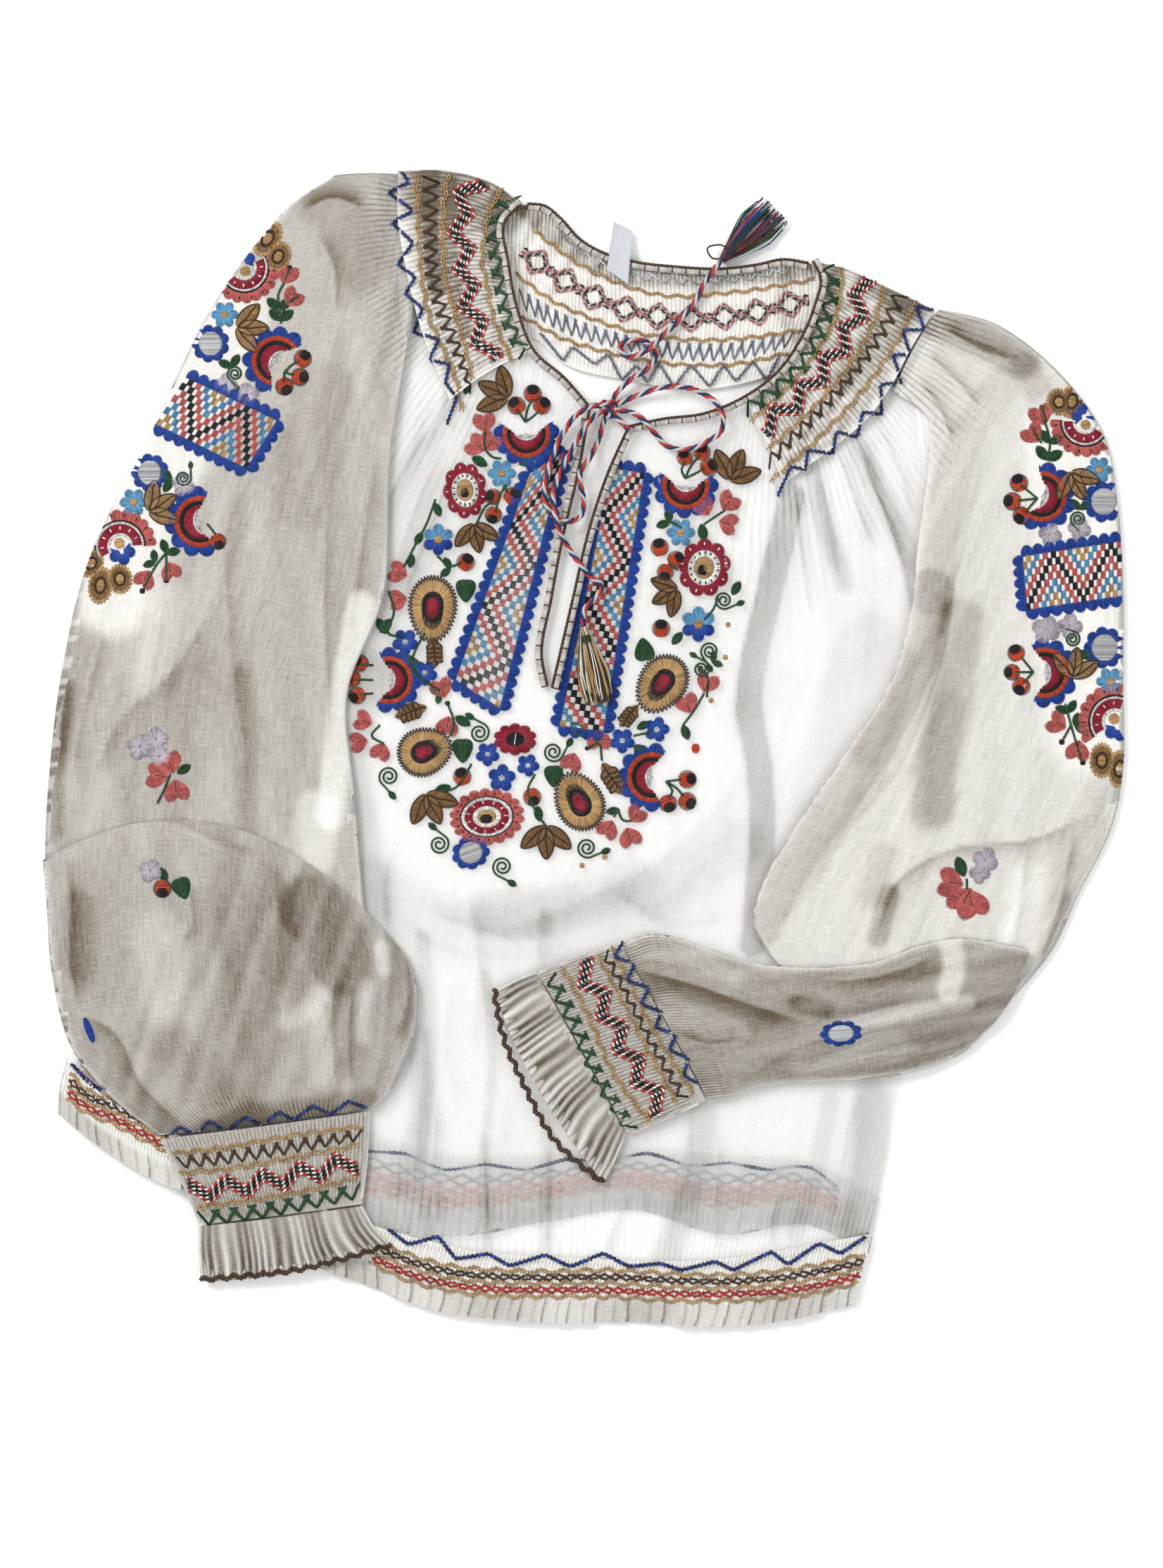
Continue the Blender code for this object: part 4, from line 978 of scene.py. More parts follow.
FORE_LEFT_SHADE = (
    (0.06, 15.0, 9.0, ((-183.9, -67.1), (-182, -101.3), (-181.3, -139.3), (-185.8, -181.1))),
    (0.10, -20.0, (
        (-169.1, -57.2), (-164.2, -86.1), (-164.9, -112.7), (-162.6, -139.3), (-164.2, -165.9),
        (-168.3, -189.4))),
    (0.18, 14.0, ((-167.6, -61.4), (-163.8, -86.1), (-164.5, -112.7), (-162.3, -139.3))),
    (0.14, 17.0, 7.0, ((-147.8, -84.2), (-136.4, -97.5), (-128.8, -116.5))),
    (-0.16, 5.0, 6.0, ((-158.5, -146.9), (-151.6, -143.1), (-142.1, -131.7))),
    (-0.12, 5.0, 7.0, ((-144, -143.1), (-142.1, -177.3))),
    (0.22, 4.0, ((-133.4, -122.2), (-134.9, -146.9), (-133.4, -181.1))),
    (0.22, 4.0, ((-125, -127.9), (-126.2, -158.3), (-125, -184.9))),
    (0.20, 5.0, ((-107.9, -86.1), (-104.9, -127.9), (-109.8, -165.9))),
    (0.26, 5.0, ((-96.5, -105.1), (-94.6, -135.5), (-102.2, -158.3))),
    (-0.22, 4.0, 5.0, ((-107.9, -107), (-106.8, -118.4))),
    (-0.16, 4.0, 6.0, ((-117.4, -127.9), (-118.2, -154.5))),
    (0.24, 8.0, ((-278.2, -57.6), (-275.5, -89.9), (-276.6, -112.7), (-271.7, -143.1))),
    (0.10, 9.0, 9.0, ((-270.2, -86.1), (-271.7, -116.5))),
    (-0.12, 14.0, 16.0, ((-227.6, -101.3), (-223.8, -135.5))),
    (0.24, -9.0, ((-272.5, -141.2), (-252.3, -152.6), (-237.1, -181.1), (-212.4, -204.6))),
    (0.08, 12.0, 12.0, ((-223.8, -158.3), (-201, -181.1), (-174.4, -203.9))),
    (0.16, 6.0, 7.0, ((-201, -203.9), (-170.6, -196.3), (-140.2, -192.5), (-117.4, -188.7))),
    (0.22, 5.0, ((-212.4, -70.9), (-210.1, -93.7), (-215.5, -105.1))),
    (0.12, 7.0, ((-242.8, -36.7), (-220, -39.7), (-193.4, -51.9), (-169.1, -60.2))))
FORE_RIGHT_SHADE = (
    (-0.10, 6.0, 6.0, ((30.8, -107), (49.8, -108.9), (80.2, -122.2))),
    (0.30, -8.0, ((22.4, -117.2), (62.3, -127.9), (92.7, -138.5), (122, -147.6))),
    (-0.12, 8.0, 7.0, ((46, -139.3), (65, -147.6), (80.2, -151.4))),
    (-0.10, 8.0, 8.0, ((118.2, -167.8), (141, -162.8), (167.6, -159.8))),
    (0.12, -12.0, (
        (77.5, -183), (113.2, -160.9), (133.4, -154.5), (163.8, -145.7), (201.8, -138.1), (234.8, -132.8))),
    (-0.22, 4.5, 4.0, ((137.2, -151.4), (156.2, -145.7), (179, -140.8), (205.6, -136.2))),
    (0.12, -6.0, ((110.6, -177.3), (152.4, -165.9), (190.4, -162.1), (224.6, -150.7))),
    (0.16, 5.0, 5.0, ((114.4, -137.4), (129.6, -140))),
    (0.22, -6.0, ((125.8, -124.8), (152.4, -123.3), (179, -115), (192.3, -107))),
    (-0.32, 6.0, 5.0, ((196.5, -100.5), (198.7, -116.5), (195.7, -129.8))),
    (0.24, 5.0, ((51.7, -154.5), (68.8, -158.3), (87.8, -156.4))))
YOKE_SHADE = (
    (0.30, 14.0, 16.0, ((-102.2, 304.6), (-87, 302.3), (-64.2, 297.7), (-41.4, 290.1))),
    (0.42, 5.0, 3.0, ((-82.5, 309.1), (-83.2, 290.1), (-81.7, 271.1), (-78.7, 248.3))),
    (0.30, 4.0, 4.0, ((-71.8, 305.3), (-71.8, 278.7), (-69.9, 252.1), (-64.2, 225.5))),
    (0.24, 5.0, 5.0, ((-44.5, 297.7), (-49, 278.7), (-46.7, 255.9))),
    (0.32, 8.0, 6.0, ((154.3, 254), (167.6, 244.5), (180.9, 236.9))),
    (0.22, 6.0, 6.0, ((133.4, 259.7), (131.9, 240.7), (122, 217.9))),
    (0.22, 8.0, 8.0, ((175.2, 240.7), (160, 221.7), (141, 198.9))),
    (0.40, 6.0, 4.0, (
        (-31.9, 293.2), (-11, 273), (15.6, 257.8), (49.8, 254.4), (87.8, 255.9), (122, 259.7))),
    (0.24, 4.0, 4.0, ((110.6, 255.9), (106.8, 236.9), (114.4, 221.7))))

# Rows of stitches: each row's route, and both edges of the brown and green herringbone
YOKE_LEFT_ROWS = {
    "zigzag": (
        (-97.7, 310.3), (-93.9, 304.6), (-105.6, 300), (-91.6, 289.4), (-103.4, 283.3), (-91.6, 271.9),
        (-100.3, 260.9), (-90.4, 253.7), (-96.1, 244.9), (-86.6, 236.9), (-91.6, 224.4), (-77.9, 220.2),
        (-83.2, 209.2), (-72.2, 206.9), (-74.5, 197), (-68.4, 189.1), (-73.7, 175)),
    "chains": (
        (
            (-90.4, 309.1), (-89.3, 290.1), (-88.2, 267.3), (-86.3, 248.3), (-82.5, 230.8), (-75.6, 215.3),
            (-69.2, 200.8), (-65.7, 181.8)),
        (
            (-73, 309.1), (-75.6, 290.1), (-75.6, 271.1), (-74.1, 252.1), (-69.5, 235), (-64.2, 217.9),
            (-59.7, 198.9)),
        (
            (-42.9, 301.5), (-49, 293.9), (-52.8, 278.7), (-54.7, 263.5), (-51.7, 248.3), (-49, 233.1),
            (-42.9, 217.9), (-37.6, 208.4))),
    "brown": (
        ((-87, 308.4), (-86.3, 282.5), (-84.7, 252.1), (-77.5, 227.4), (-66.1, 202.7), (-61.2, 191.3)),
        ((-77.1, 308.4), (-78.7, 282.5), (-77.1, 252.1), (-71.1, 231.2), (-63.5, 210.3), (-60.4, 193.2))),
    "wave": (
        (-56.6, 306.9), (-64.2, 295.8), (-66.1, 278.7), (-63.5, 259.7), (-61.2, 240.7), (-55.9, 223.6),
        (-49, 208.4)),
    "green": (
        (
            (-43.7, 302.3), (-49, 290.1), (-52.8, 276.8), (-50.5, 262), (-47.9, 246.4), (-44.1, 228.6),
            (-35, 209.6)),
        (
            (-29.3, 300.8), (-40.7, 290.1), (-44.8, 276.8), (-43.7, 262), (-41.4, 246.4), (-36.9, 229.3),
            (-27.7, 213)))}
YOKE_RIGHT_ROWS = {
    "zigzag": (
        (190.4, 235.4), (178.6, 238.4), (183.5, 225.2), (171.4, 225.2), (175.6, 211.8), (166.1, 211.8),
        (171.4, 197), (159.6, 195.9), (161.1, 180.3), (150.1, 181.1), (147.8, 167.8), (136, 170.8),
        (134.5, 159), (120.5, 160.6), (119.7, 150.3), (111.7, 151.8), (104.5, 136.2)),
    "chains": (
        ((179, 241.5), (167.6, 217.9), (150.5, 193.2), (127.7, 168.5), (100.7, 143.8)),
        ((162.3, 251.4), (156.2, 229.3), (142.9, 206.5), (125.8, 185.6), (99.2, 160.9)),
        ((139.1, 259), (137.2, 236.9), (125.8, 214.1), (110.6, 195.1), (89.7, 176.1))),
    "brown": (
        ((175.2, 243), (163, 221.7), (146.7, 198.9), (123.9, 174.2), (99.9, 150.3)),
        ((166.8, 247.6), (157.7, 226.3), (142.5, 203.5), (120.5, 179.9), (98.4, 157.1))),
    "wave": ((151.2, 254.4), (146.7, 233.1), (135.3, 212.2), (120.1, 193.2), (96.1, 171.6)),
    "green": (
        (
            (134.9, 260.5), (138.3, 248), (134.5, 232.4), (128.4, 214.9), (118.9, 200.8), (106, 189.1),
            (88.5, 178.4)),
        (
            (127.3, 262), (130.3, 248), (126.2, 233.1), (120.8, 218.7), (112.5, 206.5), (100.3, 195.9),
            (84.4, 184.5)))}
YOKE_BACK_ROWS = {
    "zigzag": (
        (-23.2, 224), (-11, 208.8), (-6.1, 216.8), (6.1, 206.9), (13.3, 213), (20.5, 198.6), (28.5, 206.9),
        (34.6, 196.7), (40.7, 207.7), (48.6, 194.8), (57.8, 206.9), (68, 194.8), (75.2, 206.9),
        (82.1, 197.8), (91.2, 208.8), (98.4, 198.6), (105.6, 212.2)),
    "chains": (
        ((-26.2, 278.7), (0.4, 259.7), (39.1, 244.9), (84, 246.4), (124.3, 252.9)),
        ((-36.5, 255.9), (-18.6, 242.6), (3, 232.4), (45.6, 221.3), (84, 221), (117.8, 225.9)),
        ((-33.1, 233.1), (-11, 221), (11, 214.1), (64.2, 206.5), (87.8, 208.1), (110.2, 213.4))),
    "brown": (
        ((-34.6, 248.3), (-11, 234.7), (14.1, 225.5), (61.2, 218.7), (87.8, 219.8), (113.6, 225.5)),
        ((-33.1, 236.9), (-11, 224), (14.1, 216.4), (61.2, 208.8), (87.8, 210.3), (110.6, 216.4))),
    "wave": ((-33.1, 268.1), (-11, 252.9), (11.8, 240.7), (36.1, 233.9), (84.7, 233.9), (121.2, 242.2)),
    "green": (
        ((-14.8, 281.8), (8, 265.1), (38.4, 256.7), (76.4, 255.2), (110.6, 260.5)),
        ((-11, 274.9), (8, 259.7), (38.4, 251.4), (76.4, 250.6), (113.6, 256.7)))}
HEM_ROWS = {
    "zigzag": (
        (-104.9, -258.6), (-94.6, -266.9), (-78.3, -262.8), (-68.8, -274.9), (-51.3, -271.9),
        (-39.9, -278.7), (-20.5, -272.6), (-7.2, -279.1), (10.6, -271.9), (24.7, -279.1), (41.4, -277.2),
        (52.8, -281), (71.1, -276.1), (80.6, -281), (101.1, -270.8), (110.2, -278), (126.9, -266.2),
        (138.3, -271.9), (153.5, -261.6)),
    "chains": (
        (
            (-107.9, -266.9), (-92.7, -273), (-75.6, -278), (-47.1, -281), (-18.6, -281.8), (11.8, -281),
            (47.9, -282.9), (76.4, -283.7), (112.5, -280.6), (131.5, -277.2), (151.6, -272.3)),
        (
            (-111.7, -272.3), (-94.6, -279.1), (-75.6, -284.4), (-47.1, -287.9), (-18.6, -288.2),
            (11.8, -288.2), (47.9, -290.1), (76.4, -290.5), (112.5, -287.9), (131.5, -284.4),
            (150.1, -279.9)),
        (
            (-115.5, -276.8), (-94.6, -286.3), (-75.6, -291.3), (-47.1, -294.7), (-18.6, -295.1),
            (11.8, -295.4), (47.9, -297.4), (76.4, -297.4), (112.5, -295.1), (131.5, -292),
            (147.8, -287.5)))}
HEM_LEFT_ROWS = {
    "zigzag": (
        (-275.5, -169.7), (-268.7, -177.3), (-261.8, -183.3), (-254.2, -180.3), (-247.4, -182.2),
        (-242.1, -190.6), (-233.3, -188.7), (-226.9, -200.1)),
    "chains": (
        ((-276.6, -175), (-265.6, -184.9), (-254.2, -188.7), (-239, -196.3), (-223.8, -205.8)),
        ((-277.4, -181.8), (-265.6, -190.9), (-254.2, -195.1), (-239, -203.1), (-221.9, -212.2)),
        ((-278.2, -188.7), (-265.6, -197), (-254.2, -201.6), (-239, -209.6), (-220, -219.1)))}

# Embroidery: motif, x, y, turn in degrees, size and stretch where they aren't 0, 1 and 1
FRONT_MOTIFS = (
    ("trio", -41, 189.1, 62), ("berry", -36.1, 184.9, 40), ("berry", -27.4, 191.3),
    ("berry", -22.4, 184.9, -40), ("crescent", -30.8, 169.7, 2), ("heart", -52.8, 170.8, 8),
    ("heart", -53.6, 160.9, 60), ("heart", -52.8, 160.9, -30), ("leaf", -52.1, 152.6, 60),
    ("leaf", -34.6, 153.3, -60), ("skyflower", -44.1, 148.4), ("redring", -63.8, 139.3, 5, 0.93, 1.28),
    ("berry", -48.6, 135.8, 70, 0.9), ("berry", -38.4, 136.2, -50), ("berry", -48.6, 126, 160, 0.95),
    ("trio", -58.9, 121, 190, 0.88), ("twotone", -78.3, 112.7), ("berry", -63.5, 100.5, -30),
    ("pair", -71.8, 97.1, 80, 0.8), ("greenheart", -63.5, 91, 180),
    ("pomegranate", -81.3, 77.7, 178, 0.98, 1.2), ("oak", -80.6, 60.2, 182, 0.88),
    ("heart", -95.4, 93.3, 70, 0.95), ("heart", -95.4, 81.1, 100, 0.9), ("leaf", -103.7, 69.7, 140),
    ("leaf", -106.4, 62.1, 30), ("bluelet", -96.1, 57.6, 0, 1.05), ("bluelet", -85.5, 40.9),
    ("pair", -91.6, 48.8, 150, 0.9), ("crescent", -104.9, 37, 86), ("berry", -120.5, 46.2, 60, 0.95),
    ("berry", -124.6, 37.8, 90, 0.95), ("berry", -122, 28.7, 120, 0.95), ("oak", -84.7, 22.6, 108, 0.95),
    ("heart", -74.9, 27.9, 20), ("heart", -72.6, 17.3, 170), ("bud", -73.3, 24.5, 0, 0.9),
    ("pomegranate", -87.4, -2.1, 290, 0.98), ("heart", -114.4, 13.5, 70, 0.9),
    ("heart", -116.7, 4.4, 100, 0.9), ("heart", -107.9, 2.9, 160, 0.9), ("spiral", -104.9, -15, 180, 0.9),
    ("greenheart", -65.4, 5.1, 182, 1.05), ("leaf", -61.2, 12.7, 60), ("spiral", -56.2, 8.6, 20, 0.9),
    ("rosette", -36.9, 5.1, 0, 1.0, 0.74), ("spiral", -16.3, -1.7, 290, 0.9),
    ("bluelet", -51.7, -2.9, 0, 0.95), ("bluelet", -30, -8.9, 10, 0.9), ("bluelet", -44.1, -15.8, 30, 1.1),
    ("berry", -65.4, -15, 20), ("leaf", -71.8, -20.3, 110), ("trio", -84.7, -24.5, 205),
    ("greatflower", -52.1, -36.7, 4, 0.94, 0.76), ("bluering", -60.8, -56, 20, 1.02, 0.86),
    ("spiral", -77.9, -51.5, 10, 0.9), ("spiral", -43.7, -63.6, 200, 0.9),
    ("greenheart", -16.3, -9.3, 182, 0.95), ("berry", -27.7, -26, 200), ("leaf", -23.6, -39, 10, 0.9),
    ("trio", -20.1, -42, 180), ("pomegranate", -1.5, -30.2, 28, 0.98, 1.1), ("oak", 10.3, -7.8, 212, 1.05),
    ("spiral", 1.9, -53.4, 250, 0.9), ("seed", -0.8, -62.9, 10, 0.8), ("seed", 11.4, -58.3, 10, 0.9),
    ("heart", 15.6, -39, 150, 0.95), ("heart", 23.2, -42.8, 200), ("heart", 25.5, -39, 320, 0.9),
    ("leaf", 19.4, -32.9, 100, 0.8), ("heart", 8.4, 10.4, 180, 1.05), ("heart", -4.9, -2.5, 160, 0.95),
    ("bud", 1.9, 0.2, 0, 0.8), ("crescent", 36.9, -15.4, 266, 1.05), ("berry", 55.9, -16.5, 280),
    ("berry", 45.6, -29.4, 200), ("berry", 55.9, -28.3, 240), ("spot", 60.4, 0.2), ("bluelet", 20.9, 4.4),
    ("bluelet", 39.5, 10.4, 20), ("oak", 29.3, 23.4, 140, 0.8),
    ("pomegranate", 43.3, 36.7, 146, 0.98, 1.12), ("heart", 65, 30.6, 340), ("heart", 57.4, 19.6, 20),
    ("seed", 68.8, 26, 110, 0.8), ("leaf", 53.6, 12.7, 200, 0.9), ("greenheart", 33.4, 47.7, 8),
    ("berry", 41.8, 64.8), ("leaf", 47.9, 56.4, 320, 0.9), ("twotone", 61.9, 67.1, 0, 1.12),
    ("trio", 50.5, 85.7, 118, 0.86), ("spiral", 75.6, 80, 250, 0.8), ("leaf", 80.2, 83, 330, 0.9),
    ("spiral", 68, 52.6, 170, 0.8), ("seed", 76.4, 49.2, 0, 0.8), ("seed", 77.9, 66.7, 0, 0.8),
    ("spiral", 63.5, 43.1, 20, 0.75), ("redring", 65, 97.5, -10, 1.12, 1.1), ("berry", 41, 108.5, 10),
    ("berry", 49.8, 102, 300, 0.95), ("berry", 44.1, 95.2, 170, 0.95), ("skyflower", 52.4, 116.5),
    ("pair", 46.4, 122.2, 60, 0.9), ("leaf", 63.5, 121, 190), ("leaf", -79.8, 132.1, 200, 0.8),
    ("leaf", -87, 116.5, 150, 0.8), ("leaf", -92.3, 104.7, 170, 0.8), ("leaf", -27.4, 0.6, 40, 0.8),
    ("pair", -77.5, 29.8, 120, 0.7), ("leaf", 27, 1.3, 250, 0.8), ("leaf", 28.9, 10.8, 300, 0.8),
    ("pair", 69.5, 46.9, 300, 0.7), ("leaf", -64.2, 191.3, 330, 0.7), ("heart", 74.9, 129, 320),
    ("heart", 67.3, 126, 30, 0.95), ("heart", 73.3, 122.9, 250, 0.95), ("crescent", 55.1, 141.9, -3),
    ("berry", 54.7, 156.8, 20, 0.9), ("berry", 63.8, 159.8, 0, 0.95), ("berry", 67.6, 151.8, 300),
    ("trio", 78.7, 145, 336))
FRONT_STEMS = (
    ((-31.5, 176.1), (-33.8, 179.9), (-35.7, 183)),
    ((-31.5, 176.1), (-30, 183.7), (-27.4, 188.3)),
    ((-31.5, 176.1), (-27, 179.2), (-23.6, 182.6)),
    ((-44.5, 156.4), (-49, 157.1), (-52.8, 160.9)),
    ((-52.8, 160.9), (-53.6, 165.5), (-52.8, 170.8)),
    ((-41.4, 141.9), (-44.5, 138.1), (-47.5, 127.5)),
    ((-43.3, 141.9), (-40.7, 138.1)),
    ((-57.8, 121), (-52.8, 130.5), (-49, 133.6)),
    ((-78.7, 103.9), (-71.8, 98.2), (-66.1, 100.1)),
    ((-79.8, 134.3), (-84.7, 121), (-90.8, 109.6), (-96.9, 97.8)),
    ((-85.5, 62.1), (-90.8, 52.6), (-92.7, 45), (-87, 37.4), (-77.5, 31.7)),
    ((-73.3, 24.5), (-69.9, 12.7), (-71.8, 7)),
    ((-113.6, 45), (-120.5, 45.4)),
    ((-113.6, 37), (-122.7, 37.4)),
    ((-113.6, 29.8), (-120.5, 29.4)),
    ((-109.8, 12.7), (-114.4, 7), (-107.9, 2.9)),
    ((-60.4, -8.2), (-64.2, -15), (-68, -20.3), (-75.6, -23.4)),
    ((-26.2, -13.9), (-30, -21.5), (-26.2, -32.9), (-20.1, -42)),
    ((1.9, -0.2), (8, 3.2), (9.9, -6.3)),
    ((18.6, -32.9), (21.3, -38.6), (25.5, -39)),
    ((18.6, -32.9), (16.3, -36.7)),
    ((44.5, -17.7), (49.8, -16.9), (52.8, -16.5)),
    ((44.5, -17.7), (47.9, -23.4), (46, -26.4)),
    ((44.5, -17.7), (50.5, -21.5), (53.6, -25.3)),
    ((27, 7), (36.5, 8.9)),
    ((66.5, 27.9), (66.5, 39.3), (61.2, 45)),
    ((53.6, 12.7), (59.3, 20.3), (65, 29.8)),
    ((54.7, 145.7), (52.8, 150.3), (54.7, 154.8)),
    ((54.7, 145.7), (58.5, 153.3), (62.7, 157.9)),
    ((54.7, 145.7), (61.2, 148.8), (65, 151.1)),
    ((65, 121), (70.7, 124.8), (76.4, 128.6)),
    ((46.4, 122.2), (49.8, 121), (52.4, 119.1)),
    ((46, 100.1), (50.5, 96.3)),
    ((-104.9, 84.9), (-102.2, 73.5), (-105.3, 62.1), (-96.5, 60.2)),
    ((72.6, 81.1), (68.8, 73.5), (65, 69.7)))

# Checked bands: four corners, cells across, cells along, shift of the zigzag, and the edge without
# scallops where it runs over the sleeve
FRONT_BANDS = (
    (((-9.9, 160.9), (-29.3, 148.8), (-69.5, 37), (-44.8, 21.1)), 8, 37, 12),
    (((14.8, 151.8), (33.1, 148.8), (11, 8.9), (-13.3, 12)), 8, 42, 7))
SLEEVE_LEFT_BAND = (((-230.7, 174.6), (-213.9, 200.4), (-164.5, 176.9), (-181.3, 150.3)), 8, 23, 6, 0)
SLEEVE_RIGHT_BAND = (((238.3, 74.3), (236, 103.9), (289.9, 112.3), (289.9, 81.9)), 8, 24, 0, 2)

# Embroidery of the sleeves, in the same columns as the front's
SLEEVE_LEFT_MOTIFS = (
    ("loops", -170.2, 274.9, -32, 1.0, 1.55), ("loops", -164.5, 265.1, -25, 1.0, 1.25),
    ("halfring", -182.8, 259, 14, 1.3), ("heart", -161.5, 250.6, 340), ("heart", -160, 239.2, 318, 0.95),
    ("bud", -158.5, 259), ("bud", -154.7, 243.8), ("pair", -164.2, 236.9), ("pair", -163, 230.8),
    ("skyflower", -193.4, 233.9, 0, 0.95), ("gilt", -186.6, 227.1, 268), ("bluering", -201, 218.3),
    ("pair", -189.6, 205.8, 20, 0.9), ("spiral", -187.7, 202, 180, 0.7),
    ("crescent", -165.3, 208.8, 236, 1.05), ("berry", -151.2, 209.9, 330), ("berry", -152.8, 200.1, 270),
    ("berry", -161.1, 195.1, 210), ("bluering", -233.7, 148.8), ("pair", -221.9, 145, 100, 0.95),
    ("spiral", -215.5, 145.7, 320, 0.7), ("skyflower", -242.4, 132.8), ("gilt", -234.1, 127.9, 300),
    ("crescent", -206.3, 122.2, 280, 1.08), ("berry", -196.8, 111.5, 200, 0.9),
    ("halfring", -249.7, 109.2, 196, 1.35), ("loops", -260.3, 88, -8, 1.0, 1.5),
    ("loops", -249.7, 91.4, 5, 1.0, 1.2), ("loops", -265.2, 99.8, -30, 0.9, 1.3),
    ("heart", -233.7, 95.6, 150, 0.95), ("heart", -223.8, 100.1, 200, 0.9), ("bud", -237.5, 84.9),
    ("bud", -224.6, 90.6), ("pair", -224.6, 105.5, 330, 0.9), ("pair", -230.7, 100.5, 60, 0.8),
    ("heart", -223.8, -15.4, 80, 1.1), ("heart", -220.8, -13.1, 20, 1.1), ("heart", -220, -16.9, 190, 1.1),
    ("leaf", -218.5, -13.1, 300, 0.9), ("haze", -238.6, 0.9), ("haze", -229.9, 5.1, 30, 0.9),
    ("haze", -228, -4, 10, 0.8), ("haze", -215.5, 141.9, 0, 0.9), ("haze", -192.7, 195.9, 20, 0.9),
    ("haze", -181.3, 190.6, 40, 0.9))
SLEEVE_RIGHT_MOTIFS = (
    ("loops", 263.3, 187.2, -14, 1.0, 1.4), ("loops", 256.1, 186.8, 18, 1.0, 1.1),
    ("halfring", 270.2, 176.1, 12, 1.3), ("heart", 248.1, 174.6, 20, 1.05), ("heart", 245.1, 165.5, 40),
    ("bud", 247, 183.7), ("bud", 242.1, 172.3), ("pair", 251.2, 164.7, 350),
    ("pair", 249.7, 155.6, 350, 1.1), ("skyflower", 277.8, 150.3, 0, 0.95),
    ("gilt", 262.6, 148.8, 205, 0.95), ("bluering", 280.4, 133.2, 0, 1.1), ("pair", 267.5, 129, 0, 0.9),
    ("spiral", 266.4, 123.7, 180, 0.7), ("crescent", 246.6, 135.8, 72, 1.06), ("berry", 234.5, 143.1, 20),
    ("berry", 231, 133.2, 80), ("berry", 236, 125.6, 140), ("bluering", 280.8, 54.5, 0, 1.1),
    ("spiral", 263.3, 59.1, 30, 0.7), ("pair", 266.4, 52.2, 200), ("crescent", 248.1, 40.9, 92, 1.06),
    ("berry", 232.9, 51.5, 20, 0.95), ("berry", 230.7, 41.2, 90, 0.9), ("berry", 235.6, 33.6, 150),
    ("gilt", 263.3, 38.6, 350, 0.95), ("skyflower", 283.9, 36.3), ("halfring", 286.5, 14.6, 200, 1.4),
    ("loops", 279.3, -6.3, 0, 1.0, 1.4), ("loops", 288.8, -10.8, -6, 0.9, 1.7),
    ("pair", 261.1, 19.6, 20, 0.9), ("pair", 264.9, 12, 300, 0.9), ("heart", 259.5, 11.2, 60),
    ("heart", 267.1, 4.4, 170, 1.05), ("bud", 257.6, 3.6), ("bud", 269, -7.4),
    ("heart", 208.6, -75.4, 150, 1.45), ("heart", 207.1, -76.2, 195, 1.45),
    ("heart", 204.1, -73.2, 80, 1.3), ("leaf", 204.8, -68.6, 20, 1.2), ("haze", 216.2, -60.2),
    ("haze", 213.2, -67.1, 20, 0.8), ("haze", 248.9, 64, 0, 1.1), ("haze", 261.8, 65.9, 20),
    ("haze", 251.2, 115.3, 10, 0.9), ("haze", 267.1, 118.4, 10, 0.9))
FORE_LEFT_MOTIFS = (
    ("haze", -232.2, -65.5, 0, 0.9), ("berry", -225.7, -75, 180), ("greenheart", -217, -69.7, 200, 0.95),
    ("leaf", -223.8, -71.6, 20, 0.9), ("dash", -266, -151.4, 20, 0.9))
FORE_RIGHT_MOTIFS = (("bluering", 138.3, -152.9, 4, 1.1, 0.62),)
SLEEVE_STEMS = (
    ((-161.5, 250.6), (-164.5, 244.5), (-163.8, 236.9), (-163, 229.3)),
    ((-160, 239.2), (-162.3, 234.7)),
    ((-158.5, 258.2), (-160.7, 252.9)),
    ((-154.7, 243), (-157.7, 240.7)),
    ((-161.1, 202.7), (-157.3, 206.5), (-153.1, 208.8)),
    ((-161.1, 202.7), (-156.2, 201.2)),
    ((-161.1, 202.7), (-161.5, 197.4)),
    ((-224.6, 105.5), (-229.1, 100.1), (-236.7, 86.5)),
    ((-224.6, 105.5), (-224.6, 92.5)),
    ((-202.5, 121), (-198, 115.3)),
    ((248.5, 176.1), (251.2, 164.7), (249.7, 155.2)),
    ((247, 183), (249.3, 176.1)),
    ((242.1, 171.6), (246.6, 164.7)),
    ((244.3, 134.7), (237.9, 140), (235.2, 141.9)),
    ((244.3, 134.7), (234.1, 133.6)),
    ((244.3, 134.7), (237.9, 127.5)),
    ((242.1, 41.2), (236, 48.8)),
    ((242.1, 41.2), (232.9, 41.2)),
    ((242.1, 41.2), (236.7, 35.5)),
    ((259.5, 24.1), (262.6, 12.7), (268.3, -6.3)),
    ((262.6, 12.7), (258, 4.4)),
    ((206.3, -70.1), (206.3, -75.4)),
    ((-229.1, -29.1), (-225.3, -21.5), (-222.3, -13.9)))
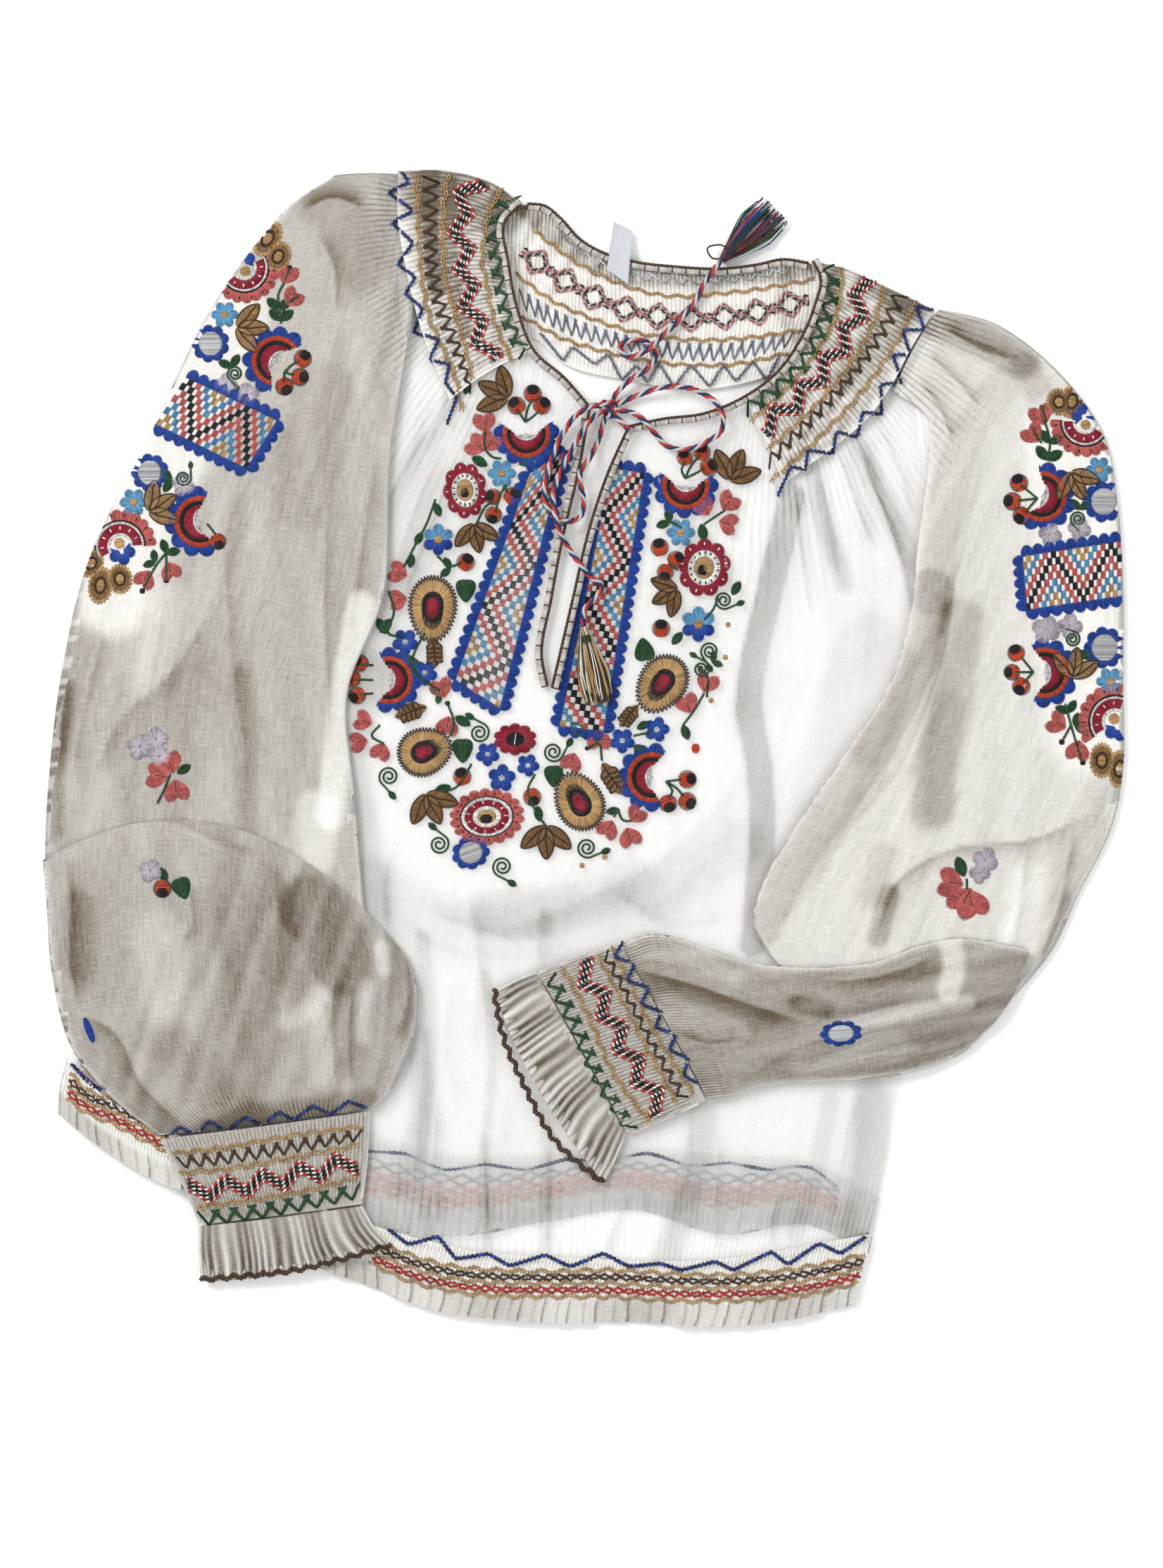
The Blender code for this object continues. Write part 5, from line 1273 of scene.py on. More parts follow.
CUFF_LEFT_ROWS = {
    "zigzag": (
        (-225.3, -210.3), (-217, -203.1), (-209, -208.4), (-201, -200.1), (-192.3, -206.2), (-182, -197.8),
        (-172.5, -203.1), (-163.8, -194.8), (-155.8, -200.1), (-145.9, -191.7), (-136, -196.7),
        (-126.5, -189.4), (-117, -193.2)),
    "chains": (
        ((-220.4, -217.6), (-189.6, -213.8), (-155.4, -207.7), (-118.6, -203.1)),
        ((-217, -228.2), (-182, -224.4), (-147.8, -218.3), (-120.8, -213)),
        ((-207.1, -246.4), (-182, -243), (-151.6, -238.1), (-121.6, -230.5))),
    "brown": (
        ((-219.3, -219.1), (-185.8, -215.3), (-155.4, -209.9), (-118.9, -204.6)),
        ((-217, -225.9), (-182, -222.1), (-151.6, -216.8), (-120.5, -210.7))),
    "wave": ((-212.4, -238.1), (-182, -234.3), (-151.6, -228.6), (-122, -222.1)),
    "green": (
        ((-207.9, -248.7), (-182, -245.7), (-151.6, -240.3), (-120.5, -233.5)),
        ((-206.3, -257.1), (-182, -254), (-151.6, -248.7), (-119.7, -241.9)))}
CUFF_RIGHT_ROWS = {
    "zigzag": (
        (21.3, -103.9), (16.3, -111.9), (27.7, -115.7), (23.2, -124.8), (35.3, -128.6), (30.8, -137.4),
        (42.2, -141.6), (38.4, -149.9), (49.8, -153.7), (46, -162.1), (56.6, -166.6), (53.6, -175.8),
        (63.5, -181.1)),
    "chains": (
        ((14.8, -107), (25.5, -127.9), (38.4, -152.6), (58.9, -185.6)),
        ((8, -111.9), (19.4, -132.4), (32.7, -158.3), (50.5, -190.9)),
        ((-11, -118), (2.3, -143.1), (15.6, -173.5), (35.3, -200.8))),
    "brown": (
        ((13.3, -108.1), (23.9, -129.4), (36.9, -154.5), (56.6, -187.2)),
        ((9.5, -111.2), (20.9, -131.7), (33.8, -157.5), (52.1, -190.2))),
    "wave": ((-1.9, -115), (10.3, -137), (25.1, -165.9), (42.9, -196.3)),
    "green": (
        ((-14.8, -120.3), (-1.5, -145.3), (12.5, -177.3), (29.3, -203.9)),
        ((-21.7, -123.3), (-8.7, -149.2), (5.7, -181.1), (22.4, -206.2)))}
RUFFLE_LEFT_EDGE = ((-206.3, -285.9), (-182, -283.7), (-155.4, -280.6), (-128.8, -274.2), (-103.7, -266.9))
RUFFLE_RIGHT_EDGE = ((-48.3, -129.4), (-43.3, -154.5), (-31.9, -181.1), (-14.8, -211.5), (10.3, -233.5))


def across_path(path: np.ndarray) -> tuple[np.ndarray, np.ndarray]:
    """Find the two directions across a path in space.

    Args:
        path: points of the path.

    Returns:
        The level side and the upper side at every point, each one unit long.
    """
    heading = np.gradient(path, axis=0)
    heading /= np.linalg.norm(heading, axis=1)[:, None]
    side = np.cross(heading, (0.0, 0.0, 1.0))
    side /= np.maximum(np.linalg.norm(side, axis=1), 1e-6)[:, None]
    return side, np.cross(side, heading)


def smooth_tube(name: str, path: np.ndarray, radius: float, sides: int) -> bpy.types.Mesh:
    """Mesh of a closed round tube along a path.

    Args:
        name: the mesh's name.
        path: the tube's ring centres in millimetres, rows of three.
        radius: the tube's radius.
        sides: faces round the tube.

    Returns:
        The mesh, in metres.
    """
    side, upper = across_path(path)
    turn = np.linspace(0, 2 * math.pi, sides + 1)
    rings = path[:, None] + radius * (side[:, None] * np.cos(turn)[None, :, None]
                                      + upper[:, None] * np.sin(turn)[None, :, None])
    bm = bmesh.new()
    bmesh.ops.create_grid(bm, x_segments=sides, y_segments=len(path) - 1, size=0.5)
    for vert in bm.verts:
        column = round((vert.co.x + 0.5) * sides)
        vert.co = Vector(rings[round((vert.co.y + 0.5) * (len(path) - 1)), column % sides]) * MM
    bmesh.ops.remove_doubles(bm, verts=bm.verts, dist=1e-7)
    bmesh.ops.holes_fill(bm, edges=[edge for edge in bm.edges if edge.is_boundary], sides=0)
    bmesh.ops.recalc_face_normals(bm, faces=bm.faces)
    for face in bm.faces:
        face.smooth = len(face.verts) == 4
    return baked(bm, name)


def joined(name: str, parts: Sequence[tuple[bpy.types.Mesh, int]]) -> bpy.types.Mesh:
    """One mesh from several; each part's faces take the material number given with it.

    Args:
        name: name of the new mesh.
        parts: meshes, each with the number of its material.

    Returns:
        The one mesh.
    """
    bm = bmesh.new()
    for mesh, number in parts:
        start = len(bm.faces)
        bm.from_mesh(mesh)
        bm.faces.ensure_lookup_table()
        for face in bm.faces[start:]:
            face.material_index = number
        bpy.data.meshes.remove(mesh)
    return baked(bm, name)


def level_tone(mesh: bpy.types.Mesh, tones: np.ndarray | float) -> None:
    """Give a mesh its tone attribute, one value for each vertex or one for all.

    Args:
        mesh: mesh to tone.
        tones: one tone, or one for each point.
    """
    layer = mesh.attributes.new("tone", "FLOAT", "POINT")
    values = np.broadcast_to(np.asarray(tones, np.float32), (len(mesh.vertices),))
    layer.data.foreach_set("value", np.ascontiguousarray(values))


class Needlework:
    """Satin and line stitches laid on the cloth below them, made as one mesh per piece."""

    LIMIT = 16000

    def __init__(self, ground: Ground, strict: bool = True, hang: bool = False) -> None:
        """Take up a needle over a ground.

        Args:
            ground: cloth below the stitches.
            strict: leave out stitches whose ends lie off the cloth.
            hang: let the ends of a stitch reach past the cloth, level with its middle.
        """
        self.ground = ground
        self.strict = strict
        self.hang = hang
        self.rows: list[np.ndarray] = []
        self.threads: list[Thread] = []

    def lay(self, thread: Thread, first: np.ndarray, last: np.ndarray, width: float = 0.62,
            lift: float = 0.0) -> None:
        """Lay stitches from the first points to the last ones, all of one dye, width and lift.

        Args:
            thread: dye of the stitches.
            first: plan points where they start.
            last: plan points where they end.
            width: width in millimetres.
            lift: height above the cloth in millimetres.
        """
        count = len(first)
        number = self.threads.index(thread) if thread in self.threads else len(self.threads)
        if number == len(self.threads):
            self.threads.append(thread)
        self.rows.append(np.column_stack((
            first[:, :2], last[:, :2], np.full(count, width), np.full(count, lift),
            np.full(count, number))))

    def line(self, threads: Sequence[Thread], route: Curve, step: float, width: float,
             slant: float = 0.0, lift: float = 0.1) -> None:
        """Run of stitches end to end along a route, in turn of each dye, slanted across it.

        Args:
            threads: dyes, taken in turn.
            route: way of the run.
            step: length of a stitch in millimetres.
            width: width of a stitch.
            slant: how far each stitch leans across the way.
            lift: height above the cloth.
        """
        points = spaced(route, step)
        side = normals(points) * slant
        for turn, thread in enumerate(threads):
            self.lay(thread, (points - side)[turn:-1:len(threads)],
                     (points + side)[turn + 1::len(threads)][:len(points[turn:-1:len(threads)])],
                     width, lift)

    def chain(self, thread: Thread, route: Curve, step: float, half: float, lift: float = 0.1) -> None:
        """Chain stitch: a row of small loops along a route.

        Args:
            thread: dye of the chain.
            route: way of the chain.
            step: length of a loop in millimetres.
            half: half of the width of a loop.
            lift: height above the cloth.
        """
        points = spaced(route, step)
        side = normals(points) * half
        for sign in (-1, 1):
            self.lay(thread, points[:-1] + sign * 0.35 * side[:-1], points[1:] + sign * side[1:], 0.85, lift)
            self.lay(thread, points[:-1] + sign * side[:-1], points[:-1] - sign * 0.2 * side[:-1], 0.8, lift)

    def herringbone(self, thread: Thread, inner: Curve, outer: Curve, count: int, width: float = 0.95,
                    crossing: float = 0.25) -> None:
        """Open zigzag between two routes, each stitch a little past the next one's start.

        Args:
            thread: dye of the stitches.
            inner: first edge of the row.
            outer: second edge of the row.
            count: number of crossings.
            width: width of a stitch.
            crossing: share of a step by which neighbours overlap.
        """
        steps = np.linspace(0.5 / count, 1 - 0.5 / count, count)
        shift = (0.5 + crossing) / count
        self.lay(thread, inner(np.clip(steps - shift, 0, 1)), outer(steps), width, 0.15)
        self.lay(thread, outer(steps), inner(np.clip(steps + shift, 0, 1)), width, 0.3)

    def blanket(self, thread: Thread, route: Curve, reach: float, step: float) -> None:
        """Blanket stitch: a line along an edge and a tick across it at every step.

        Args:
            thread: dye of the stitches.
            route: edge to follow.
            reach: length of the ticks in millimetres.
            step: distance between ticks.
        """
        width = 0.9
        self.line((thread,), route, 2.4, width * 1.9, 0.12)
        points = spaced(route, step)
        self.lay(thread, points, points + normals(points) * reach, width, 0.2)

    def build(self, name: str, slot: str) -> None:
        """Make the stitches laid so far as pieces of at most LIMIT stitches.

        Args:
            name: name of the pieces.
            slot: not used.
        """
        table = np.concatenate(self.rows)
        spans = np.stack((table[:, :2], (table[:, :2] + table[:, 2:4]) / 2, table[:, 2:4]), axis=1)
        heights = self.ground.read(spans, strict=self.strict)
        if self.hang:
            heights = np.where(np.isfinite(heights), heights, heights[:, 1:2])
        kept = np.isfinite(heights).all(axis=1)
        table, heights = table[kept], heights[kept]
        parts = max(1, math.ceil(len(table) / self.LIMIT))
        for part in range(parts):
            chosen = np.arange(len(table)) * parts // len(table) == part
            tag = name if parts == 1 else f"{name}_{part + 1}"
            mesh = stitch_mesh(tag, table[chosen], heights[chosen])
            present(tag, mesh, cottons(self.threads))


def stitch_mesh(name: str, table: np.ndarray, heights: np.ndarray) -> bpy.types.Mesh:
    """Mesh of many stitches, each a low closed spindle with a ridge along its top.

    Args:
        name: the mesh's name.
        table: first x, y, last x, y, width, lift and dye number of each stitch.
        heights: the cloth's height at each stitch's start, middle and end.

    Returns:
        The mesh, in metres, with its tone attribute and material numbers.
    """
    bm = bmesh.new()
    bmesh.ops.create_uvsphere(bm, u_segments=3, v_segments=3, radius=1.0)
    mesh = baked(bm, name)
    bm = bmesh.new()
    bm.from_mesh(mesh)
    each_vert, each_face, count = len(bm.verts), len(bm.faces), len(table)
    made = 1
    while made < count:
        more = min(made, count - made)
        bm.verts.ensure_lookup_table()
        bm.faces.ensure_lookup_table()
        faces = bm.faces[:more * each_face]
        edges = dict.fromkeys(edge for face in faces for edge in face.edges)
        bmesh.ops.duplicate(bm, geom=[*bm.verts[:more * each_vert], *edges, *faces])
        made += more
    bm.to_mesh(mesh)
    bm.free()
    form = read_points(mesh).reshape(count, each_vert, 3)
    along = np.where(np.abs(form[..., 2]) > 0.9, form[..., 2], np.sign(form[..., 2]) * SPINDLE_SHOULDER)
    span = table[:, 2:4] - table[:, :2]
    length = np.maximum(np.linalg.norm(span, axis=1), 1e-6)
    heading = span / length[:, None]
    across = np.stack((-heading[:, 1], heading[:, 0]), axis=1)
    width = (table[:, 4] / 2)[:, None]
    reach = (length / 2 + table[:, 4] / 4)[:, None]
    middle = ((table[:, :2] + table[:, 2:4]) / 2)[:, None]
    plan = (middle + heading[:, None] * (along * reach)[..., None]
            + across[:, None] * (form[..., 0] / SPINDLE_EDGE * width)[..., None])
    share = (along + 1) / 2
    bed = np.where(share < 0.5, heights[:, :1] + 2 * share * (heights[:, 1:2] - heights[:, :1]),
                   heights[:, 1:2] + (2 * share - 1) * (heights[:, 2:] - heights[:, 1:2]))
    # A stitch is about half as high as it is wide, and its underside is sunk a little into its bed
    raise_up = table[:, 5][:, None] + 0.12 + (form[..., 1] / SPINDLE_EDGE * 0.5 + 0.35) * width * 1.1
    spots = np.dstack((plan, bed + raise_up)) * MM
    write_points(mesh, spots.reshape(-1, 3))
    seed = np.sin(np.arange(count) * 12.9898 + table[:, 0] * 0.7) * 43758.5453
    level_tone(mesh, np.repeat(seed - np.floor(seed), each_vert))
    mesh.polygons.foreach_set("material_index", np.repeat(table[:, 6].astype(np.int32), each_face))
    mesh.polygons.foreach_set("use_smooth", np.ones(count * each_face, bool))
    return mesh


Radius = Callable[[np.ndarray], np.ndarray]


def even(radius: float) -> Radius:
    """The same radius all round."""
    return lambda angle: np.full_like(angle, radius)


def scallops(radius: float, depth: float, lobes: float, start: float = 0.0) -> Radius:
    """A radius with round lobes, counted over the full turn from a start angle in degrees."""
    first = math.radians(start)
    return lambda angle: radius - depth + depth * np.abs(np.sin(lobes * (angle - first) / 2)) ** 0.7


def teardrop(radius: float, tip: float) -> Radius:
    """A round radius drawn out to a point at the top."""
    return lambda angle: radius * (1 + tip * ((1 + np.sin(angle)) / 2) ** 7)


def rays(angle: np.ndarray) -> np.ndarray:
    """Plan headings, one unit long, at angles in radians."""
    return np.stack((np.cos(angle), np.sin(angle)), axis=1)


class Flora:
    """Flowers, leaves and fruit of the embroidery, drawn round their own centres in millimetres."""

    def __init__(self, work: Needlework) -> None:
        """Take the needle that works the motifs.

        Args:
            work: needle to work with.
        """
        self.work = work
        self.centre = np.zeros(2)
        self.frame = np.eye(2)

    def stitch(self, motif: str, x: float, y: float, turn: float = 0.0, size: float = 1.0,
               stretch: float = 1.0) -> None:
        """Work one motif at a place, turned by degrees, scaled, and stretched along its own height.

        Args:
            motif: name of the motif's method.
            x: place across in millimetres.
            y: place along in millimetres.
            turn: turn in degrees.
            size: scale.
            stretch: scale along the motif's own height.
        """
        angle = math.radians(turn)
        self.centre = np.array((x, y))
        self.frame = size * np.array(((math.cos(angle), -math.sin(angle) * stretch),
                                      (math.sin(angle), math.cos(angle) * stretch)))
        getattr(self, motif)()

    def put(self, points: np.ndarray) -> np.ndarray:
        """A motif's own points on the cloth."""
        return self.centre + points @ self.frame.T

    @property
    def scale(self) -> float:
        """Mean scale of the motif in work."""
        return math.sqrt(abs(np.linalg.det(self.frame)))

    def satin(self, thread: Thread, first: np.ndarray, last: np.ndarray, lift: float = 0.0,
              width: float = 0.68) -> None:
        """Satin between two edges given point for point."""
        self.work.lay(thread, self.put(first), self.put(last), width, lift)

    def band(self, thread: Thread, inner: Radius | float, outer: Radius | float, start: float = 0.0,
             stop: float = 360.0, lift: float = 0.0, pitch: float = SATIN_PITCH,
             offset: tuple[float, float] = (0.0, 0.0)) -> None:
        """Satin band between two radii, from one angle to another in degrees.

        Args:
            thread: dye of the satin.
            inner: inner radius, the same all round or a function of the angle.
            outer: outer radius, given in the same way.
            start: first angle in degrees.
            stop: last angle in degrees.
            lift: height above the cloth.
            pitch: distance between stitches in millimetres.
            offset: middle of the band in the motif's own place.
        """
        inner, outer = (edge if callable(edge) else even(edge) for edge in (inner, outer))
        middle = float(np.mean(outer(np.radians(np.linspace(start, stop, 24)))))
        count = max(5, int(math.radians(stop - start) * middle * self.scale * 0.85 / pitch))
        angle = np.radians(np.linspace(start, stop, count, endpoint=stop - start < 359))
        self.satin(thread, np.array(offset) + rays(angle) * inner(angle)[:, None],
                   np.array(offset) + rays(angle) * outer(angle)[:, None], lift)

    def blob(self, thread: Thread, wide: float, high: float, offset: tuple[float, float] = (0.0, 0.0),
             lift: float = 0.0) -> None:
        """Oval filled with satin across its width.

        Args:
            thread: dye of the satin.
            wide: half of the width.
            high: half of the height.
            offset: middle of the oval.
            lift: height above the cloth.
        """
        rows = np.linspace(-1, 1, max(3, int(2 * high * self.scale / SATIN_PITCH)) + 2)[1:-1]
        half = wide * np.sqrt(1 - rows ** 2)
        level = offset[1] + high * rows
        self.satin(thread, np.stack((offset[0] - half, level), axis=1),
                   np.stack((offset[0] + half, level), axis=1), lift)

    def blade(self, thread: Thread, length: float, wide: float, turn: float = 0.0,
              offset: tuple[float, float] = (0.0, 0.0), vein: Thread | None = None,
              rim: Thread | None = None, lift: float = 0.0, blunt: float = 1.0) -> None:
        """Leaf or petal from its foot, in two halves of slanting satin with a vein and a rim.

        Args:
            thread: dye of the satin.
            length: length of the leaf.
            wide: its width.
            turn: turn in degrees.
            offset: place of its foot.
            vein: dye of the vein, if any.
            rim: dye of the outline, if any.
            lift: height above the cloth.
            blunt: above 1 for a leaf that is widest near its tip.
        """
        angle = math.radians(turn)
        spin = np.array(((math.cos(angle), -math.sin(angle)), (math.sin(angle), math.cos(angle))))
        share = np.linspace(0.04, 1, max(4, int(length * self.scale / 0.55)))
        half = wide / 2 * np.sin(math.pi * share ** blunt) ** 0.65
        spine = np.stack((np.zeros_like(share), length * np.clip(share - 0.13, 0, 1)), axis=1)
        for sign in (-1, 1):
            edge = np.stack((sign * half, length * share), axis=1)
            self.satin(thread, np.array(offset) + spine @ spin.T, np.array(offset) + edge @ spin.T, lift)
            if rim:
                outline = np.array(offset) + (edge * (1.06, 1.0)) @ spin.T
                self.satin(rim, outline[:-1], outline[1:], lift + 0.12, 0.95)
        if vein:
            line = np.stack((0.03 * length * np.sin(5 * share), length * share * 0.9), axis=1)
            line = np.array(offset) + line @ spin.T
            self.satin(vein, line[:-1], line[1:], lift + 0.3, 0.85)

    def ticks(self, thread: Thread, spots: Route, lift: float, width: float) -> None:
        """Single stitches, given as rows of first x, y and last x, y."""
        rows = np.array(spots)
        self.satin(thread, rows[:, :2], rows[:, 2:], lift, width)

    def dots(self, thread: Thread, radius: float, count: int, start: float, stop: float) -> None:
        """Small seed stitches along an arc.

        Args:
            thread: dye of the seeds.
            radius: radius of the arc.
            count: number of seeds.
            start: first angle in degrees.
            stop: last angle in degrees.
        """
        angle = np.radians(np.linspace(start, stop, count, endpoint=stop - start < 359))
        self.satin(thread, rays(angle) * (radius - 0.55), rays(angle) * (radius + 0.55), 0.35, 0.95)

    def crescent(self) -> None:
        """Bowl-shaped flower: scalloped rim, three inner crescents and a pale fringe."""
        self.band(Thread.ROYAL, 12.4, scallops(18.0, 3.4, 11.5, 160), 158, 382)
        self.band(Thread.ORANGE, 10.4, 12.9, 161, 379, 0.15)
        self.band(Thread.BLACK, 8.3, 10.6, 165, 375, 0.1)

        def bowl(angle: np.ndarray) -> np.ndarray:
            """Radius of the bowl's rim at each angle."""
            return np.minimum(4.8 * np.sin(angle) + np.sqrt(7.9 ** 2 - (4.8 * np.cos(angle)) ** 2), 8.6)

        self.band(Thread.CRIMSON, bowl, 8.7, 172, 368)
        self.band(Thread.GREY, lambda angle: bowl(angle) - 3.2 - 0.5 * np.sin(9 * angle), bowl, 192, 348,
                  0.0, 0.6)
        self.band(Thread.WHITE, lambda angle: bowl(angle) - 0.5, lambda angle: bowl(angle) + 0.4, 186, 354,
                  0.2, 0.6)

    def berry(self) -> None:
        """Round berry with a dark cap at its far end."""
        self.blob(Thread.ORANGE, 4.2, 4.8)
        self.blob(Thread.BLACK, 3.1, 2.7, (0.0, 2.3), 0.25)
        self.band(Thread.UMBER, 4.3, 4.9, -60, 240, 0.15, 0.8)

    def bud(self) -> None:
        """Small dark bud."""
        self.blob(Thread.BLACK, 1.5, 1.6)

    def seed(self) -> None:
        """Small round tan bud."""
        self.blob(Thread.TAN, 1.6, 1.9)

    def spot(self) -> None:
        """Small round red bud."""
        self.blob(Thread.ORANGE, 2.2, 2.7)

    def trio(self, thread: Thread = Thread.BROWN, length: float = 17.6, wide: float = 8.0) -> None:
        """Three veined leaves from one foot.

        Args:
            thread: dye of the leaves.
            length: length of a leaf.
            wide: its width.
        """
        for turn in (-50, 48, 0):
            self.blade(thread, length, wide, turn, vein=Thread.UMBER, rim=Thread.UMBER, lift=0.1,
                       blunt=0.95)

    def gilt(self) -> None:
        """Three veined light brown leaves from one foot."""
        self.trio(Thread.OCHRE, 17.0, 7.8)

    def oak(self) -> None:
        """Long brown leaf with a lobed rim."""
        self.blade(Thread.BROWN, 19.0, 8.4, vein=Thread.UMBER)
        for number, level in enumerate((4.5, 7.5, 10.5, 13.5)):
            for sign in (-1, 1):
                self.blade(Thread.BROWN, 5.4, 3.2, sign * -62, (0.0, level - number * 0.3),
                           rim=Thread.UMBER)

    def heart(self) -> None:
        """Two-lobed pink leaf with a dark slit."""
        for turn in (-24, 24):
            self.blade(Thread.SALMON, 11.4, 6.8, turn, blunt=1.35)
        self.ticks(Thread.UMBER, ((0.0, 0.4, 0.1, 3.4), (0.1, 3.2, 0.0, 6.0)), 0.3, 0.6)

    def leaf(self) -> None:
        """Small green leaf."""
        self.blade(Thread.GREEN, 9.4, 5.4)

    def pair(self) -> None:
        """Two small green leaves on a short stem."""
        for turn in (-52, 48):
            self.blade(Thread.GREEN, 8.6, 5.2, turn)

    def greenheart(self) -> None:
        """Green heart-shaped leaf with a vein, its point away from the stem."""
        for sign in (-1, 1):
            self.blade(Thread.GREEN, 12.3, 7.6, sign * 9, (sign * 2.2, 0.0), blunt=0.6)
        self.ticks(Thread.UMBER, ((0.0, 1.0, 0.0, 4.4), (0.0, 4.0, 0.0, 8.0)), 0.3, 0.5)

    def skyflower(self) -> None:
        """Light blue flower with a tan eye."""
        self.band(Thread.SKY, 1.8, scallops(7.9, 3.3, 6, 30))
        self.blob(Thread.TAN, 2.0, 2.0, lift=0.3)

    def twotone(self) -> None:
        """Flower with light blue petals above and dark blue petals below."""
        self.band(Thread.SKY, 1.8, scallops(8.8, 3.4, 6, 0), -5, 185)
        self.band(Thread.ROYAL, 1.8, scallops(8.8, 3.4, 6, 0), 185, 355)
        self.blob(Thread.TAN, 2.2, 2.2, lift=0.3)

    def bluelet(self) -> None:
        """Small dark blue flower with a grey eye."""
        self.band(Thread.ROYAL, 1.2, scallops(7.1, 2.9, 5, 18))
        self.blob(Thread.GREY, 1.5, 1.5, lift=0.3)

    def redring(self) -> None:
        """Crimson scalloped flower with a white ring and a dark-eyed tan heart."""
        self.band(Thread.CRIMSON, 7.6, scallops(13.0, 2.4, 9))
        self.dots(Thread.WHITE, 10.6, 9, 20, 380)
        self.band(Thread.WHITE, 4.9, 7.8, lift=0.1)
        self.dots(Thread.UMBER, 6.7, 15, 0, 360)
        self.blob(Thread.TAN, 4.8, 4.8)
        self.blob(Thread.BLACK, 2.5, 2.4, (-0.5, -1.1), 0.25)

    def pomegranate(self) -> None:
        """Tan fruit with a looped rim round a dark, red-hearted drop."""
        self.band(Thread.TAN, teardrop(4.6, 0.7), teardrop(11.6, 0.38))
        self.band(Thread.BLACK, teardrop(3.3, 0.7), teardrop(6.0, 0.95), lift=0.2)
        self.band(Thread.CRIMSON, 0.2, teardrop(3.6, 1.1), lift=0.2, pitch=0.6)
        angle = np.radians(np.arange(0, 360, 4.0))
        rim = rays(angle) * (teardrop(11.2, 0.38)(angle) + 2.4 * (np.arange(len(angle)) % 2))[:, None]
        self.satin(Thread.COCOA, rim, np.roll(rim, -1, axis=0), 0.25, 0.85)

    def loops(self) -> None:
        """Oval brown loop with a tan heart and a fringe."""
        self.band(Thread.TAN, 5.0, scallops(7.0, 1.3, 22))
        self.band(Thread.BROWN, 3.2, 5.5, lift=0.1)
        self.band(Thread.UMBER, 2.3, 3.4, lift=0.2)
        self.blob(Thread.TAN, 2.4, 2.4, lift=0.1)

    def halfring(self) -> None:
        """Half-round flower: pink fringe, crimson ring with white seeds and a blue flower inside."""
        self.band(Thread.SALMON, 10.2, scallops(14.8, 1.4, 20), 165, 375)
        self.dots(Thread.UMBER, 12.4, 9, 175, 365)
        self.band(Thread.BLACK, 9.6, 10.4, 165, 375, 0.1)
        self.band(Thread.WHITE, 8.9, 9.7, 165, 375, 0.1)
        self.band(Thread.CRIMSON, 5.0, 9.0, 168, 372)
        self.dots(Thread.WHITE, 7.2, 6, 190, 350)
        self.band(Thread.WHITE, 4.2, 5.1, 170, 370, 0.1)
        self.band(Thread.ROYAL, 1.0, scallops(5.6, 2.0, 5, 54), -30, 210, 0.15, 0.5, (0.0, 2.4))
        self.blob(Thread.TAN, 2.1, 2.1, (0.0, -1.2), 0.3)

    def bluering(self) -> None:
        """Scalloped blue ring round a pale disc."""
        self.band(Thread.ROYAL, 6.4, scallops(10.4, 2.0, 9))
        self.blob(Thread.GREY, 6.6, 6.6, lift=0.05)

    def greatflower(self) -> None:
        """Large low flower in pink, white and crimson round a dark eye."""
        self.band(Thread.SALMON, 15.2, scallops(21.8, 3.0, 18))
        self.dots(Thread.UMBER, 17.4, 20, 0, 360)
        self.band(Thread.BLACK, 14.7, 15.4, lift=0.15)
        self.band(Thread.WHITE, 12.9, 14.8, lift=0.1)
        self.band(Thread.CRIMSON, 8.0, scallops(13.2, 2.0, 11))
        self.dots(Thread.WHITE, 10.6, 11, 0, 360)
        self.band(Thread.WHITE, 5.4, 8.1, lift=0.1)
        self.blob(Thread.TAN, 5.5, 5.5)
        self.blob(Thread.BLACK, 3.6, 3.4, (-0.5, -1.4), 0.25)

    def rosette(self) -> None:
        """Crimson flower with a dark heart split by a pale line."""
        self.band(Thread.CRIMSON, 4.6, scallops(12.0, 2.4, 10))
        self.blob(Thread.BLACK, 5.2, 5.2, lift=0.1)
        self.ticks(Thread.WHITE, ((-0.4, -4.0, 0.0, 0.0), (0.0, 0.0, 0.4, 4.0)), 0.5, 0.6)

    def spiral(self) -> None:
        """Curling green tendril with a small leaf on it."""
        angle = np.linspace(0.6, 4.2 * math.pi, 34)
        curl = rays(angle) * (0.9 + 0.39 * angle)[:, None]
        tail = curl[-1] + np.linspace(0, 1, 8)[1:, None] * (-5.0, 5.4)
        line = np.concatenate((curl, tail))
        self.satin(Thread.GREEN, line[:-1], line[1:], 0.1, 1.3)
        self.blade(Thread.GREEN, 6.2, 3.9, 40, tuple(line[-1]))

    def haze(self) -> None:
        """Blurred flower of the cloth's lower layer, seen through the upper one."""
        self.band(Thread.HAZE, 0.6, scallops(7.4, 2.6, 4, 20))

    def dash(self) -> None:
        """Short blue bar."""
        self.blob(Thread.ROYAL, 2.2, 8.0)


